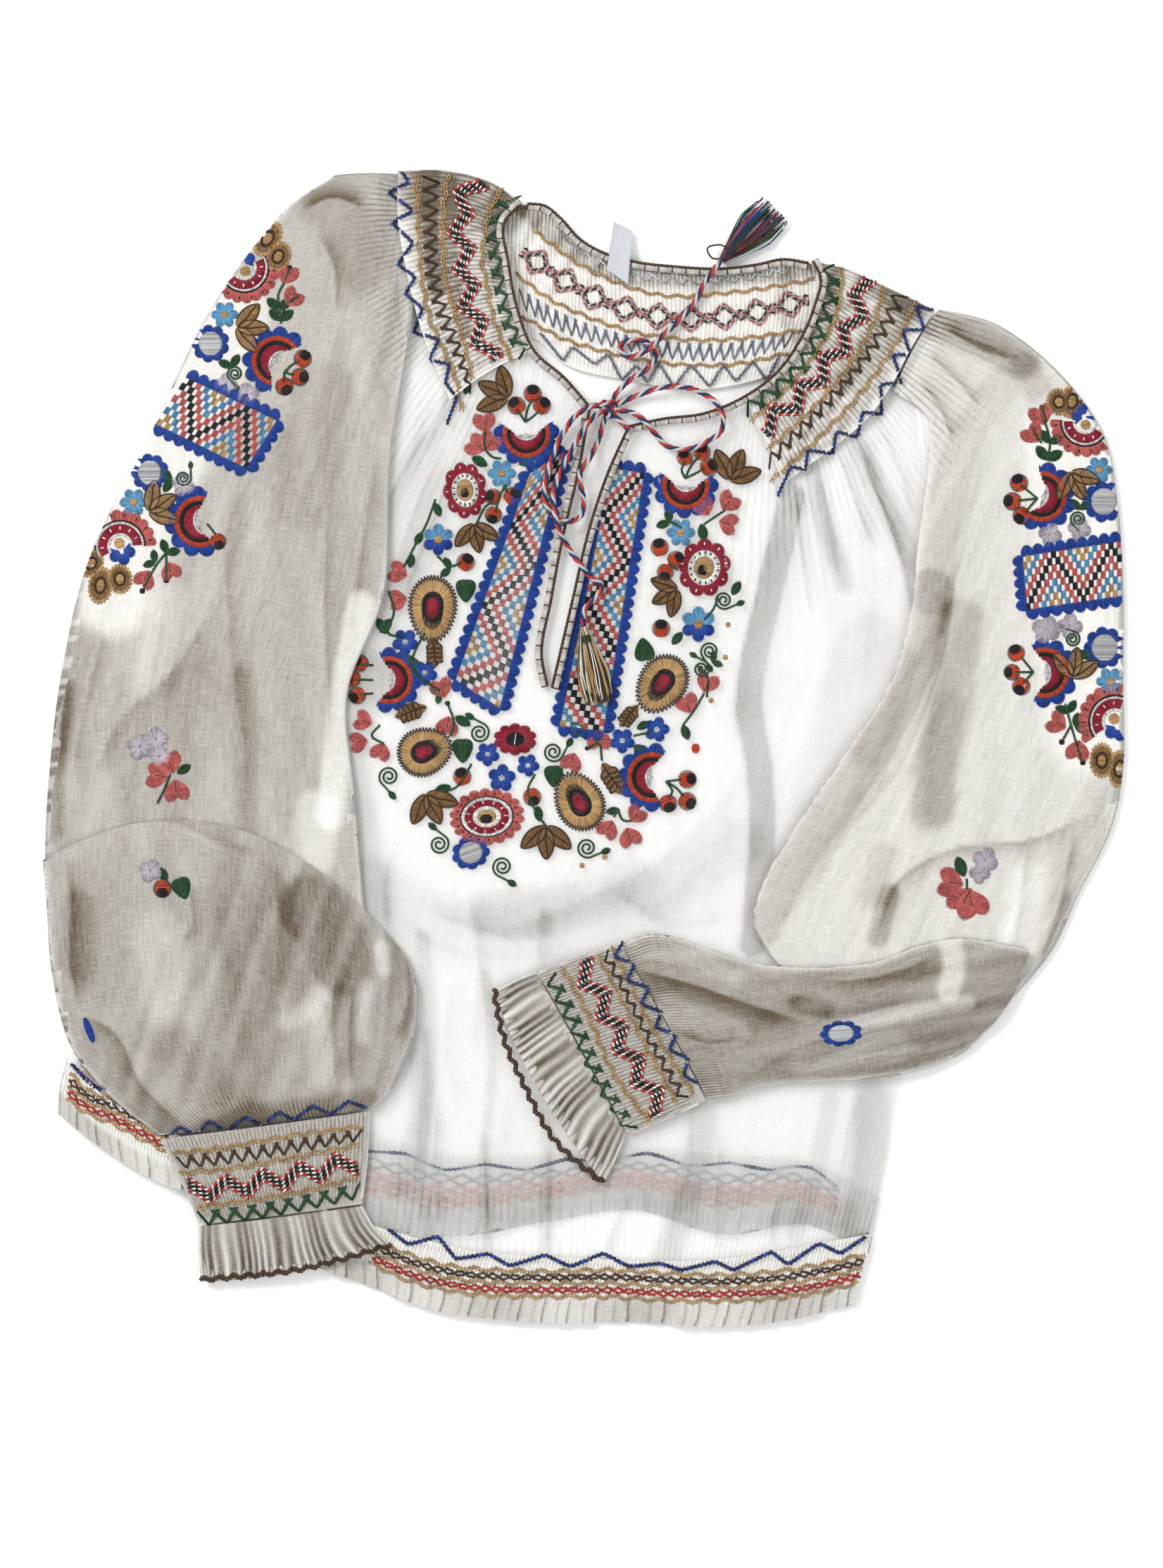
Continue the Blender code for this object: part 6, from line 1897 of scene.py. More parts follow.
class CheckBand:
    """Band of small satin checks between scalloped edges of buttonhole stitch."""

    def __init__(self, corners: Route, across: int, along: int, shift: int, bare: int = -1) -> None:
        """Set out the band.

        Args:
            corners: corner spots of the band in millimetres, in order round it.
            across: cells across.
            along: cells along.
            shift: cells by which the zigzag is moved on.
            bare: number of the edge that runs over the sleeve and has no scallops.
        """
        self.corners = np.array(corners, float)
        self.across = across
        self.along = along
        self.shift = shift
        self.bare = bare

    def at(self, u: np.ndarray, v: np.ndarray) -> np.ndarray:
        """Place of shares across and along the band.

        Args:
            u: share across.
            v: share along.

        Returns:
            Plan points.
        """
        first, second, third, fourth = self.corners
        u, v = np.asarray(u, float)[..., None], np.asarray(v, float)[..., None]
        return (1 - v) * ((1 - u) * first + u * second) + v * ((1 - u) * fourth + u * third)

    def dye(self, column: int, row: int) -> Thread:
        """Dye of a cell, by its distance from the zigzag, which moves one column at every row.

        Args:
            column: cell across.
            row: cell along.

        Returns:
            The dye.
        """
        turn = 2 * (self.across - 1)
        phase = (row + self.shift) % turn
        gap = abs(column - min(phase, turn - phase))
        return (Thread.BLACK, Thread.SALMON, Thread.SKY, Thread.TAN)[min(gap // 2, 3)]

    def work(self, needle: Needlework) -> None:
        """Work the checks, then the four edges.

        Args:
            needle: needle to work with.
        """
        cells: dict[Thread, list[tuple[float, float]]] = {}
        for row in range(self.along):
            for column in range(self.across):
                if (row + column + self.shift) % 2 == 0:
                    cells.setdefault(self.dye(column, row), []).append((column, row))
        count = round(np.linalg.norm(self.corners[2] - self.corners[1]) / self.along / SATIN_PITCH)
        for thread, spots in cells.items():
            grid = np.array(spots, float)
            for step in np.linspace(0.0, 1.0, count):
                v = (grid[:, 1] + step) / self.along
                needle.lay(thread, self.at((grid[:, 0] - 0.06) / self.across, v),
                           self.at((grid[:, 0] + 1.06) / self.across, v), 0.66, 0.05)
        for index in range(4):
            if index == self.bare:
                continue
            start, stop = self.corners[index], self.corners[(index + 1) % 4]
            length = np.linalg.norm(stop - start)
            edge = polyline((start, stop))(np.linspace(0, 1, int(length / SATIN_PITCH)))
            way, inwards = stop - start, self.corners.mean(axis=0) - start
            outwards = -normals(edge) * np.sign(way[0] * inwards[1] - way[1] * inwards[0])
            lobes = max(2, round(length / 6.2))
            reach = 2.6 + 2.8 * np.abs(np.sin(math.pi * lobes * np.linspace(0, 1, len(edge)))) ** 0.7
            needle.lay(Thread.ROYAL, edge - outwards * 0.6, edge + outwards * reach[:, None], 0.7, 0.15)


@dataclass
class Studio:
    """Pale table, soft light and a camera straight above it."""

    lens_mm: float = 102.13
    sensor_mm: float = 36.0
    height_m: float = 2.4
    centre: tuple[float, float] = (-0.0011, -0.019)
    table_size_m: float = 3.0
    table_drop_m: float = 0.0004
    room_light: float = 0.78

    def build(self) -> None:
        """Make the camera, the table top and the lights."""
        scene = bpy.context.scene
        shot = bpy.data.cameras.new("camera")
        shot.sensor_fit = "VERTICAL"
        shot.sensor_height = self.sensor_mm
        shot.lens = self.lens_mm
        camera = bpy.data.objects.new("camera", shot)
        camera.location = (*self.centre, self.height_m)
        scene.collection.objects.link(camera)
        scene.camera = camera
        scene.view_settings.view_transform = "Standard"
        bm = bmesh.new()
        bmesh.ops.create_grid(bm, x_segments=1, y_segments=1, size=self.table_size_m)
        bmesh.ops.translate(bm, vec=(0.0, 0.0, -self.table_drop_m), verts=bm.verts)
        mesh = baked(bm, "table_top")
        mesh.materials.append(Dye("table_white", (0.95, 0.95, 0.95), 0.9).material)
        table = bpy.data.objects.new("table_top", mesh)
        scene.collection.objects.link(table)
        world = bpy.data.worlds.new("soft_room")
        world.use_nodes = True
        backdrop = world.node_tree.nodes["Background"]
        backdrop.inputs["Color"].default_value = (1.0, 1.0, 1.0, 1.0)
        backdrop.inputs["Strength"].default_value = self.room_light
        scene.world = world
        for name, spot, power, size in (("key", (-1.3, 1.25, 1.5), 40.0, 0.9),
                                        ("fill", (1.4, -0.9, 1.9), 14.0, 1.6)):
            glow = bpy.data.lights.new(name, "AREA")
            glow.energy = power
            glow.size = size
            lamp = bpy.data.objects.new(name, glow)
            lamp.location = spot
            lamp.rotation_euler = (-Vector(spot)).to_track_quat("-Z", "Y").to_euler()
            scene.collection.objects.link(lamp)


@dataclass
class Drawstring:
    """Three-strand cord tied in a bow at the slit, with a tassel on each free end.

    Each route runs from the edge where its cord leaves the cloth to its tassel, in millimetres.
    """

    radius: float = 1.55
    strand: float = 0.84
    lay_mm: float = 11.0
    dyes: tuple[Thread, ...] = (Thread.RED, Thread.NAVY, Thread.GREY)
    routes: dict[str, Route] = field(default_factory=lambda: {
        "cord_left": CORD_LEFT, "cord_right": CORD_RIGHT})
    nodes: dict[str, tuple[str, ...]] = field(default_factory=lambda: {
        "cord_left": ("cord_right_loop", "cord_lower_tail"),
        "cord_right": ("cord_right_run", "cord_left_loop", "cord_upper_tail")})

    def twisted(self, name: str, path: np.ndarray, radius: float, strand: float,
                lay: float) -> bpy.types.Mesh:
        """Mesh of three strands twisted round a path, one material number for each.

        Args:
            name: name of the mesh.
            path: middle line in millimetres.
            radius: radius of the whole cord.
            strand: radius of one strand.
            lay: length of one full twist.

        Returns:
            The mesh.
        """
        step = run_lengths(path)[0]
        side, upper = across_path(path)
        parts = []
        for number in range(3):
            turn = 2 * math.pi * (step / lay + number / 3)
            line = path + (radius - strand) * (np.cos(turn)[:, None] * side + np.sin(turn)[:, None] * upper)
            parts.append((smooth_tube(f"{name}_strand", line, strand, 6), number))
        mesh = joined(name, parts)
        level_tone(mesh, 0.6)
        return mesh

    def cord(self, name: str) -> None:
        """Args:
            name: name of the cord.
        """
        path = spaced(curve(self.routes[name]), 1.0)
        mesh = self.twisted(name, path, self.radius, self.strand, self.lay_mm)
        piece = present(name, mesh, cottons(self.dyes), self.nodes[name])

    def knot(self) -> bpy.types.Object:
        """Overhand knot: the cord wound once through its own loop.

        Returns:
            The finished knot.
        """
        turn = np.linspace(0, 2 * math.pi, 90)
        loop = np.stack((np.sin(turn) + 2 * np.sin(2 * turn), np.cos(turn) - 2 * np.cos(2 * turn),
                         -np.sin(3 * turn)), axis=1) * (1.25, 1.55, 1.35) + (13.5, 183.4, 5.2)
        mesh = self.twisted("knot_wound", loop, 1.6, 0.86, 8.0)
        return present("knot_wound", mesh, cottons(self.dyes), ("knot",))

    def build(self) -> None:
        """Make the tassels, the knot and both cords."""
        knot = self.knot()
        lower_dyes = (Thread.TAN, Thread.UMBER, Thread.GREEN, Thread.TAN, Thread.BROWN, Thread.WHITE,
                      Thread.UMBER)
        lower = Tassel("tassel_lower", head=(0.0, 65.5), end=(8.5, 24.0), spread=17.0, tie=LOWER_TIE,
                       dyes=lower_dyes).build()
        upper_dyes = (Thread.GREEN, Thread.NAVY, Thread.UMBER, Thread.CRIMSON, Thread.WHITE, Thread.GREEN,
                      Thread.ROYAL)
        upper = Tassel("tassel_upper", head=(74.5, 263.0), end=(104.0, 291.0), spread=22.0, tie=UPPER_TIE,
                       dyes=upper_dyes).build()
        self.cord("cord_left")
        self.cord("cord_right")


@dataclass
class Tassel:
    """Bunch of loose threads bound round its head."""

    node: str
    head: tuple[float, float]
    end: tuple[float, float]
    spread: float
    tie: Route
    dyes: tuple[Thread, ...]
    threads: int = 84

    def build(self) -> bpy.types.Object:
        """Make the threads, the bindings round the head and the tie's loose ends.

        Returns:
            The finished tassel.
        """
        low, high = (np.array(corner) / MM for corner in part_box(self.node))
        head, end = np.array(self.head), np.array(self.end)
        reach = float(np.linalg.norm(end - head))
        along = (end - head) / reach
        side = np.array((-along[1], along[0]))
        ground = ground_of(self.node)
        parts = []
        for number in range(self.threads):
            ring = math.sqrt((number + 0.5) / self.threads)
            lane, level = math.sin(THREAD_TURN * number) * ring, math.cos(THREAD_TURN * number) * ring
            share = np.linspace(0, 1, 11)
            full = 0.9 + 0.1 * math.sin(3.1 * number)
            plan = head + along * (reach * share * full)[:, None]
            width = 1.7 + (self.spread / 2 - 1.7) * np.clip(share * 1.5, 0, 1) ** 0.9
            sway = 0.7 * np.sin(5 * share + number) * share
            plan = plan + side * (lane * width + sway)[:, None]
            top = min(high[2], float(ground.read(plan[5:6])[0]))
            floor = low[2] + 0.5
            middle = (top + floor) / 2
            height = middle + level * (1.7 * (1 - share) + 1.1) + (floor + 1.6 - middle) * share ** 2
            line = np.column_stack((plan, np.maximum(height, floor)))
            parts.append((smooth_tube("thread", line, 0.36, 5), (3 * number + number // 5) % len(self.dyes)))
        centre = (low[2] + high[2]) / 2
        for wrap in range(5):
            turn = np.linspace(0, 2 * math.pi, 15)
            spot = head + along * (5.2 + 0.75 * wrap)
            ring = np.column_stack((spot + side * 2.5 * np.cos(turn)[:, None], centre + 2.2 * np.sin(turn)))
            parts.append((smooth_tube("wrap", ring, 0.45, 5), 1 if wrap % 2 else 2))
        line = spaced(curve(self.tie), 1.2)
        bow = np.column_stack((line, centre + 1.6 + 0.5 * np.sin(np.arange(len(line)) * 0.6)))
        parts.append((smooth_tube("tie", bow, 0.5, 6), 2))
        mesh = joined(self.node + "_threads", parts)
        level_tone(mesh, 0.5)
        return present(self.node + "_threads", mesh, cottons(self.dyes), (self.node,))


@dataclass
class Sheet:
    """Single cloth settled on its CAD node, with its creases and the shade of its folds."""

    name: str
    node: str
    points: np.ndarray
    finish: Voile
    slot: str
    held: str = "laid"
    rests_on: tuple[str, ...] = ()
    density_and_shade: np.ndarray | None = None
    relief: np.ndarray | float = 0.0
    sink: float = 0.5
    even: int = 3
    hole: np.ndarray | None = None
    underside: bool = False
    gathers: Gathers | None = None

    def build(self) -> bpy.types.Object:
        """Make the cloth.

        Returns:
            The finished cloth.
        """
        ground = ground_of(self.node)
        level = soften(ground.read(self.points, above=not self.underside), self.even)
        height = np.maximum(level - self.sink + self.relief, LEAST_HEIGHT)
        grid = np.dstack((self.points, height))
        piece = Skin(self.name, grid, self.finish, self.slot, (self.node,), self.density_and_shade, False,
                     self.hole, self.gathers).build()
        return piece


@dataclass
class Tube:
    """Flattened tube of cloth settled on its CAD node: an upper and a lower layer folded at both sides.

    Its layers lie inside the node by the inset, and come together over the last millimetres of the roll.
    """

    name: str
    node: str
    sections: Route
    rows: int
    top: int
    base: int
    finish: Voile
    slot: str
    density_and_shade: Callable[[np.ndarray], np.ndarray]
    relief: Callable[[np.ndarray, np.ndarray, np.ndarray], np.ndarray]
    held: str = "laid"
    rests_on: tuple[str, ...] = ()
    roll: float = 5.0
    inset: float = 0.3
    even: int = 4
    gathers: Callable[[np.ndarray, np.ndarray, np.ndarray], Gathers] | None = None

    def rounded(self, share: np.ndarray, width: np.ndarray) -> np.ndarray:
        """Share of the full height that a layer has reached near its folded sides.

        Args:
            share: shares across.
            width: width of the tube at each row, as a column.

        Returns:
            Share from 0 at the sides to 1 further in, rows x columns.
        """
        gap = np.minimum(share, 1 - share)[None] * width
        inwards = np.clip(gap / self.roll, 0, 1)
        return np.sqrt(inwards * (2 - inwards))

    def build(self) -> bpy.types.Object:
        """Returns:
            The finished cloth.
        """
        ground = ground_of(self.node)
        upper_share, lower_share = np.linspace(0, 1, self.top + 1), np.linspace(1, 0, self.base + 1)
        upper, lower = (ruled(self.sections, share, self.rows) for share in (upper_share, lower_share))
        roof = soften(ground.read(upper), self.even) - self.inset
        floor = soften(ground.read(lower, above=False), self.even) + self.inset
        side_by_side = np.stack([np.interp(upper_share, lower_share[::-1], row[::-1]) for row in floor])
        width = np.linalg.norm(np.diff(upper, axis=1), axis=2).sum(axis=1)[:, None]
        lift = self.rounded(upper_share, width)
        middle = (roof + side_by_side) / 2
        u, v = np.meshgrid(upper_share, np.linspace(0, 1, self.rows + 1))
        height = middle + (roof - middle) * lift + self.relief(upper, u, v) * lift
        edges = [middle[:, -1], middle[:, 0]]
        sink = self.rounded(lower_share, width)
        ends = edges[0][:, None] * lower_share[None] + edges[1][:, None] * (1 - lower_share)[None]
        under = np.maximum(ends + (floor - ends) * sink, LEAST_HEIGHT)
        grid = np.concatenate((np.dstack((upper, height)), np.dstack((lower, under))[:, 1:]), axis=1)
        # Painted fold shade of the upper layer fades towards its folded sides
        shade = np.concatenate((self.density_and_shade(upper) * (0.3 + 0.7 * lift), self.density_and_shade(lower)[:, 1:]), axis=1)
        gathers = None
        if self.gathers:
            across, along = np.meshgrid(lower_share, v[:, 0])
            sides = zip(self.gathers(upper, u, v), self.gathers(lower, across, along))
            gathers = tuple(np.concatenate((top, base[:, 1:]), axis=1) for top, base in sides)
        piece = Skin(self.name, grid, self.finish, self.slot, (self.node,), shade, True, None,
                     gathers).build()
        return piece


def pleats(u: np.ndarray, v: np.ndarray, count: int, height: float, rows: float = 0.0,
           sway: float = 0.0) -> np.ndarray:
    """Fine pipes side by side; between rows of smocking they lean in pairs to and from each other.

    Args:
        u: share across.
        v: share along.
        count: number of pleats.
        height: height in millimetres.
        rows: rows of stitches that pinch them.
        sway: how far they wander, in pleats.

    Returns:
        Heights in millimetres.
    """
    phase = u * count
    number = np.floor(phase)
    lean = sway * np.where(number % 2 == 0, 1.0, -1.0) * np.cos(math.pi * v * rows)
    return height * np.abs(np.cos(math.pi * (phase + lean * 0.5))) ** 0.8


@dataclass
class Piping:
    """Narrow folded binding along an edge, with brown blanket stitches over it."""

    name: str
    node: str
    route: Route
    side: int
    width: float = 4.0
    step: float = 7.4
    spacing: float = 1.6

    def build(self) -> None:
        """Make the rolled edge and its stitches."""
        centre = spaced(curve(self.route), self.spacing)
        side = normals(centre)
        middle = centre + side * self.side * self.width / 2
        level = soften(ground_of(self.node).read(middle)[:, None], 2)[:, 0] - 1.0
        turn = np.linspace(0, 2 * math.pi, 13)
        cell = 0.12 * np.cos(2 * math.pi * np.arange(len(centre)) * self.spacing / self.step)
        grid = np.stack([np.column_stack((middle + side * (self.width / 2 * math.cos(angle)),
                                          level + (1.15 + cell) * math.sin(angle)))
                         for angle in turn], axis=1)
        shade = np.broadcast_to(0.62 + 0.1 * np.sin(np.arange(len(centre)) * 1.3)[:, None], grid.shape[:2])
        piece = Skin(self.name, grid, GATHERS, "binding", (self.node,), shade, True).build()
        needle = Needlework(Ground(piece), strict=False)
        edge = middle - side * self.side * self.width / 2
        route = polyline(edge + side * self.side * 0.5)
        needle.blanket(Thread.COCOA, route, self.side * (self.width - 0.7), self.step)
        needle.build(self.name + "_stitches", "binding")


def gathered(relief: np.ndarray, height: float, low: float, high: float) -> np.ndarray:
    """Density of pleated cloth, as painted shade: low on the crests and high in the valleys between them."""
    return low + (high - low) * np.clip(1 - relief / height, 0, 1) ** 1.6


def smooth_step(value: np.ndarray, start: float, stop: float) -> np.ndarray:
    """Share from 0 to 1 between two values."""
    share = np.clip((value - start) / (stop - start), 0, 1)
    return share * share * (3 - 2 * share)


def wavy(route: Route, swing: float, pitch: float, shift: float = 0.0, offset: float = 0.0) -> Curve:
    """Zigzag with soft corners along a route, some way to its left.

    Args:
        route: middle of the zigzag.
        swing: its reach to each side in millimetres.
        pitch: length of one full wave.
        shift: share of a wave by which it is moved on.
        offset: distance to the left of the route.

    Returns:
        The zigzag.
    """
    spacing = 0.6
    points = spaced(curve(route), spacing)
    waves = np.arange(len(points)) * spacing / pitch + shift
    sweep = np.arcsin(0.97 * np.sin(2 * math.pi * waves)) * 2 / math.pi
    return polyline(points + normals(points) * (offset + swing * sweep)[:, None])


def smocking(needle: Needlework, rows: dict[str, Sequence], pale: bool = False) -> None:
    """Work the rows of smocking stitches: zigzag, chains, brown herringbone, waves and feather stitch.

    Args:
        needle: needle to work with.
        rows: routes of the rows by name.
        pale: paler threads of the wrong side, as the back neck shows.
    """
    royal, black, brown, green = ((Thread.SLATE, Thread.UMBER, Thread.SLATE, Thread.GREY) if pale else
                                  (Thread.NAVY, Thread.BLACK, Thread.COCOA, Thread.GREEN))
    red, white, thick = (Thread.SALMON, Thread.GREY, 0.75) if pale else (Thread.RED, Thread.WHITE, 1.0)
    twist = polyline(rows["zigzag"])
    needle.line((Thread.WHITE,), twist, step=3.0, width=1.1, lift=0.2)
    needle.line((royal, royal, Thread.SLATE if pale else Thread.ROYAL), twist, step=2.5,
                width=1.7 * thick, slant=0.45, lift=0.9)
    for number, chain in enumerate(rows["chains"]):
        route = wavy(chain, 1.1, 10.4, 0.25 * number)
        needle.chain(Thread.TAN, route, step=2.3, half=0.7 if pale else 1.05, lift=0.35)
    if "brown" in rows:
        inner, outer = (curve(route) for route in rows["brown"])
        count = int(run_lengths(inner(np.linspace(0, 1, 40)))[1] / (5.6 if pale else 7.6))
        for shift in (0.0, 0.16):
            needle.herringbone(brown, inner, outer, count, 0.8 if pale else 1.2, shift)
    if "wave" in rows:
        back = 0.7 if pale else 0.2
        for offset, thread, shift in ((-3.4, red, 0.2), (-1.2, black, 0.2), (1.0, black, back),
                                      (3.2, red, back)):
            route = wavy(rows["wave"], 4.5, 18.0 if pale else 20.0, shift, offset)
            needle.line((thread, thread, white), route, step=1.45, width=1.5 * thick, slant=0.4, lift=0.4)
    if "green" in rows:
        inner, outer = (curve(route) for route in rows["green"])
        count = int(run_lengths(inner(np.linspace(0, 1, 40)))[1] / 9.4)
        for shift in (0.1, 0.26):
            needle.herringbone(green, inner, outer, count, 1.5 * thick, shift)


def embroider(piece: bpy.types.Object, name: str, slot: str, motifs: Sequence, stems: Sequence = (),
              bands: Sequence = (), width: float = 1.4) -> None:
    """Work motifs, stems and checked bands on a piece; stitches off the cloth are left out.

    Args:
        piece: cloth to work on.
        name: name of the stitches.
        slot: handed on to the needle, which does not use it.
        motifs: motifs with their places.
        stems: routes of the stems.
        bands: corners and cells of the checked bands.
        width: width of a stem stitch.
    """
    needle = Needlework(Ground(piece))
    flora = Flora(needle)
    for motif in motifs:
        flora.stitch(*motif)
    for stem in stems:
        needle.line((Thread.GREEN,), curve(stem), step=2.2, width=width, slant=0.1, lift=0.15)
    for band in bands:
        CheckBand(*band).work(needle)
    needle.build(name, slot)


# Gathers that spread from the yokes into the front panel
FAN_LEFT = Fan((-14.0, 290.0), YOKE_LEFT_EDGES["outer"])
FAN_RIGHT = Fan((100.0, 262.0), YOKE_RIGHT_EDGES["outer"])


@dataclass
class Front:
    """Front panel of sheer cloth with the slit from the neck, and its embroidery."""

    rows: int = 154
    left: int = 138
    strip: int = 6
    right: int = 116

    def plan(self) -> tuple[np.ndarray, np.ndarray]:
        """Points of the panel, and the mask of the open slit.

        Returns:
            The points, and true where the slit is open.
        """
        slit = np.array(SLIT)
        slit_left, slit_right = curve(slit[:, 1:3], slit[:, 0]), curve(slit[:, 3:5], slit[:, 0])
        left = patch(curve(FRONT_TOP_LEFT), curve(FRONT_HEM_LEFT), curve(BODY_LEFT), slit_left,
                     self.left, self.rows)
        right = patch(curve(FRONT_TOP_RIGHT), curve(FRONT_HEM_RIGHT), slit_right, curve(BODY_RIGHT),
                      self.right, self.rows)
        share = np.linspace(0, 1, self.strip + 1)[1:-1, None]
        strip = left[:, -1][:, None] * (1 - share) + right[:, 0][:, None] * share
        hole = np.zeros((self.rows + 1, self.left + self.strip + self.right + 1), bool)
        hole[:self.rows // 3 + 1, self.left:self.left + self.strip + 1] = True
        return np.concatenate((left, strip, right), axis=1), hole

    def relief(self, points: np.ndarray) -> np.ndarray:
        """Creases: long soft ones down the panel and finer ones gathered below the yokes.

        Args:
            points: plan points.

        Returns:
            Heights in millimetres.
        """
        long_ones = 0.45 * crinkle(points, 84, 23, 1.3) + 0.22 * crinkle(points, 70, 11, 4.1)
        near = np.minimum(np.hypot(points[..., 0] + 55, points[..., 1] - 200),
                          np.hypot(points[..., 0] - 105, points[..., 1] - 165))
        fine = 0.35 * crinkle(points, 96, 6.5, 0.7) * np.clip(1.2 - near / 160, 0, 1)
        yokes = np.minimum(distance(points, YOKE_LEFT_EDGES["outer"]),
                           distance(points, YOKE_RIGHT_EDGES["outer"]))
        return long_ones + fine - 1.3 * np.clip(1.5 - yokes / 6, 0, 1)

    def build(self) -> None:
        """Make the panel and its needlework."""
        points, hole = self.plan()
        density_and_shade = (0.08 + 1.2 * shaded(points, 0.0, FRONT_SHADE) + 0.035 * crinkle(points, 80, 27, 2.2)
                   + 0.035 * crinkle(points, 20, 61, 0.4))
        columns = self.left + self.strip + self.right
        u, v = shares(columns, self.rows)
        gathers = strongest(FAN_LEFT.read(points), FAN_RIGHT.read(points),
                            (120 * u, 0.32 * smooth_step(v, 0.84, 1.0) ** 1.5),
                            (70 * u, np.full_like(u, 0.03)))
        piece = Sheet("front_cloth", "front_panel", points, BODY, "cloth", held="gathered",
                      rests_on=("back_cloth",), density_and_shade=np.clip(density_and_shade, 0, 1),
                      relief=self.relief(points), even=5, hole=hole, gathers=gathers).build()
        embroider(piece, "front_embroidery", "cloth", FRONT_MOTIFS, FRONT_STEMS, FRONT_BANDS, 1.45)


@dataclass
class Back:
    """Back panel, seen through the front."""

    rows: int = 96
    columns: int = 116

    def build(self) -> None:
        """Make the panel."""
        points = patch(curve(BACK_TOP), curve(BACK_HEM), curve(BACK_LEFT), curve(BACK_RIGHT), self.columns,
                       self.rows)
        relief = 0.3 * crinkle(points, 88, 19, 5.0)
        density_and_shade = shaded(points, 0.05, ()) + 0.05 * crinkle(points, 88, 13, 3.0)
        Sheet("back_cloth", "back_panel", points, BODY, "cloth", density_and_shade=np.clip(density_and_shade, 0, 1),
              relief=relief, sink=0.7).build()


@dataclass
class Hem:
    """Smocked band with a ruffle below it, worked over one of the panels' lower edges."""

    name: str
    node: str
    top: Route
    bottom: Route
    sides: tuple[Route, Route]
    pipes: int
    waves: int
    rows: int
    band: float = 0.6
    strength: float = 1.0
    tone: float = 0.07

    def build(self) -> None:
        """Make the band and the ruffle in one."""
        columns = 4 * self.pipes
        points = patch(curve(self.top), curve(self.bottom), curve(self.sides[0]), curve(self.sides[1]),
                       columns, self.rows)
        u, v = shares(columns, self.rows)
        loose = smooth_step(v, self.band - 0.08, self.band + 0.1)
        fine = pleats(u, v, self.pipes, 0.9 * self.strength, 5.0, 0.25)
        step = u * self.waves + 0.3 * np.sin(2 * math.pi * 3.3 * u) + 0.04 * np.sin(9 * v + 20 * u)
        part = step - np.floor(step)
        wave = (0.3 + 1.5 * part * v + 0.12 * np.sin(2 * math.pi * step * 4.3)) * self.strength
        relief = 0.9 + fine * (1 - loose) + wave * loose
        # Painted shade: darker valleys between the band's pleats, and thin dark lines where each flute of the
        # ruffle steps back
        fold_line_shade = np.exp(-part / 0.06) + 0.5 * np.exp(-((part - 0.62) / 0.05) ** 2)
        shade = (gathered(fine, 0.9 * self.strength, 0.06, 0.5 * self.strength) * (1 - loose)
                 + (0.42 + 0.34 * fold_line_shade + 0.08 * np.sin(2 * math.pi * 5.7 * u)) * loose)
        Sheet(self.name, self.node, points, GATHERS if self.strength == 1.0 else BODY, "smocking",
              held="gathered", density_and_shade=np.clip(shade + self.tone, 0, 1), relief=relief, sink=0.0, even=6,
              underside=True).build()


@dataclass
class Yoke:
    """Smocked yoke: fine pleats from the neck outwards, held by rows of coloured stitches."""

    name: str
    node: str
    edges: dict[str, Route]
    order: tuple[str, str, str, str]
    stitches: dict[str, Sequence]
    pipes: int
    rows: int
    low: float = 0.1
    high: float = 0.8
    relief: float = 1.0

    def build(self) -> None:
        """Make the pleated cloth, its open edges sunk into the cloth round it."""
        top, bottom, left, right = (curve(self.edges[name]) for name in self.order)
        points = patch(top, bottom, left, right, 4 * self.pipes, self.rows)
        u, v = shares(4 * self.pipes, self.rows)
        relief = pleats(u, v, self.pipes, self.relief, 8.0, 0.22)
        relief = relief * (0.75 + 0.25 * crinkle(points, 20, 9, 1.0)) + 0.25 * crinkle(points, 60, 14, 3.0)
        ends = smooth_step(u, 0.93, 1.0) if self.order[3] == "front" else np.zeros_like(u)
        edge = np.maximum(smooth_step(v, 0.86, 1.0), ends)
        # Painted shade in the pleats' valleys and along the shoulder fold, eased towards the open edges to
        # match the cloth round the yoke
        shade = gathered(relief, self.relief, self.low, self.high) * (1 - 0.7 * edge) + 0.12 * edge
        Sheet(self.name, self.node, points, GATHERS, "smocking", held="gathered",
              density_and_shade=np.clip(shade + shaded(points, 0.0, YOKE_SHADE), 0, 1),
              relief=relief + 0.7 - 1.6 * edge, sink=0.0, even=5, underside=True).build()

    def work(self, *grounds: str) -> None:
        """Work the stitches over the yoke and the cloth beside it.

        Args:
            grounds: names of the pieces that the stitches reach over.
        """
        needle = Needlework(ground_of(self.name, *grounds), hang=True)
        smocking(needle, self.stitches, self.relief < 1)
        needle.build(self.name + "_stitches", "smocking")


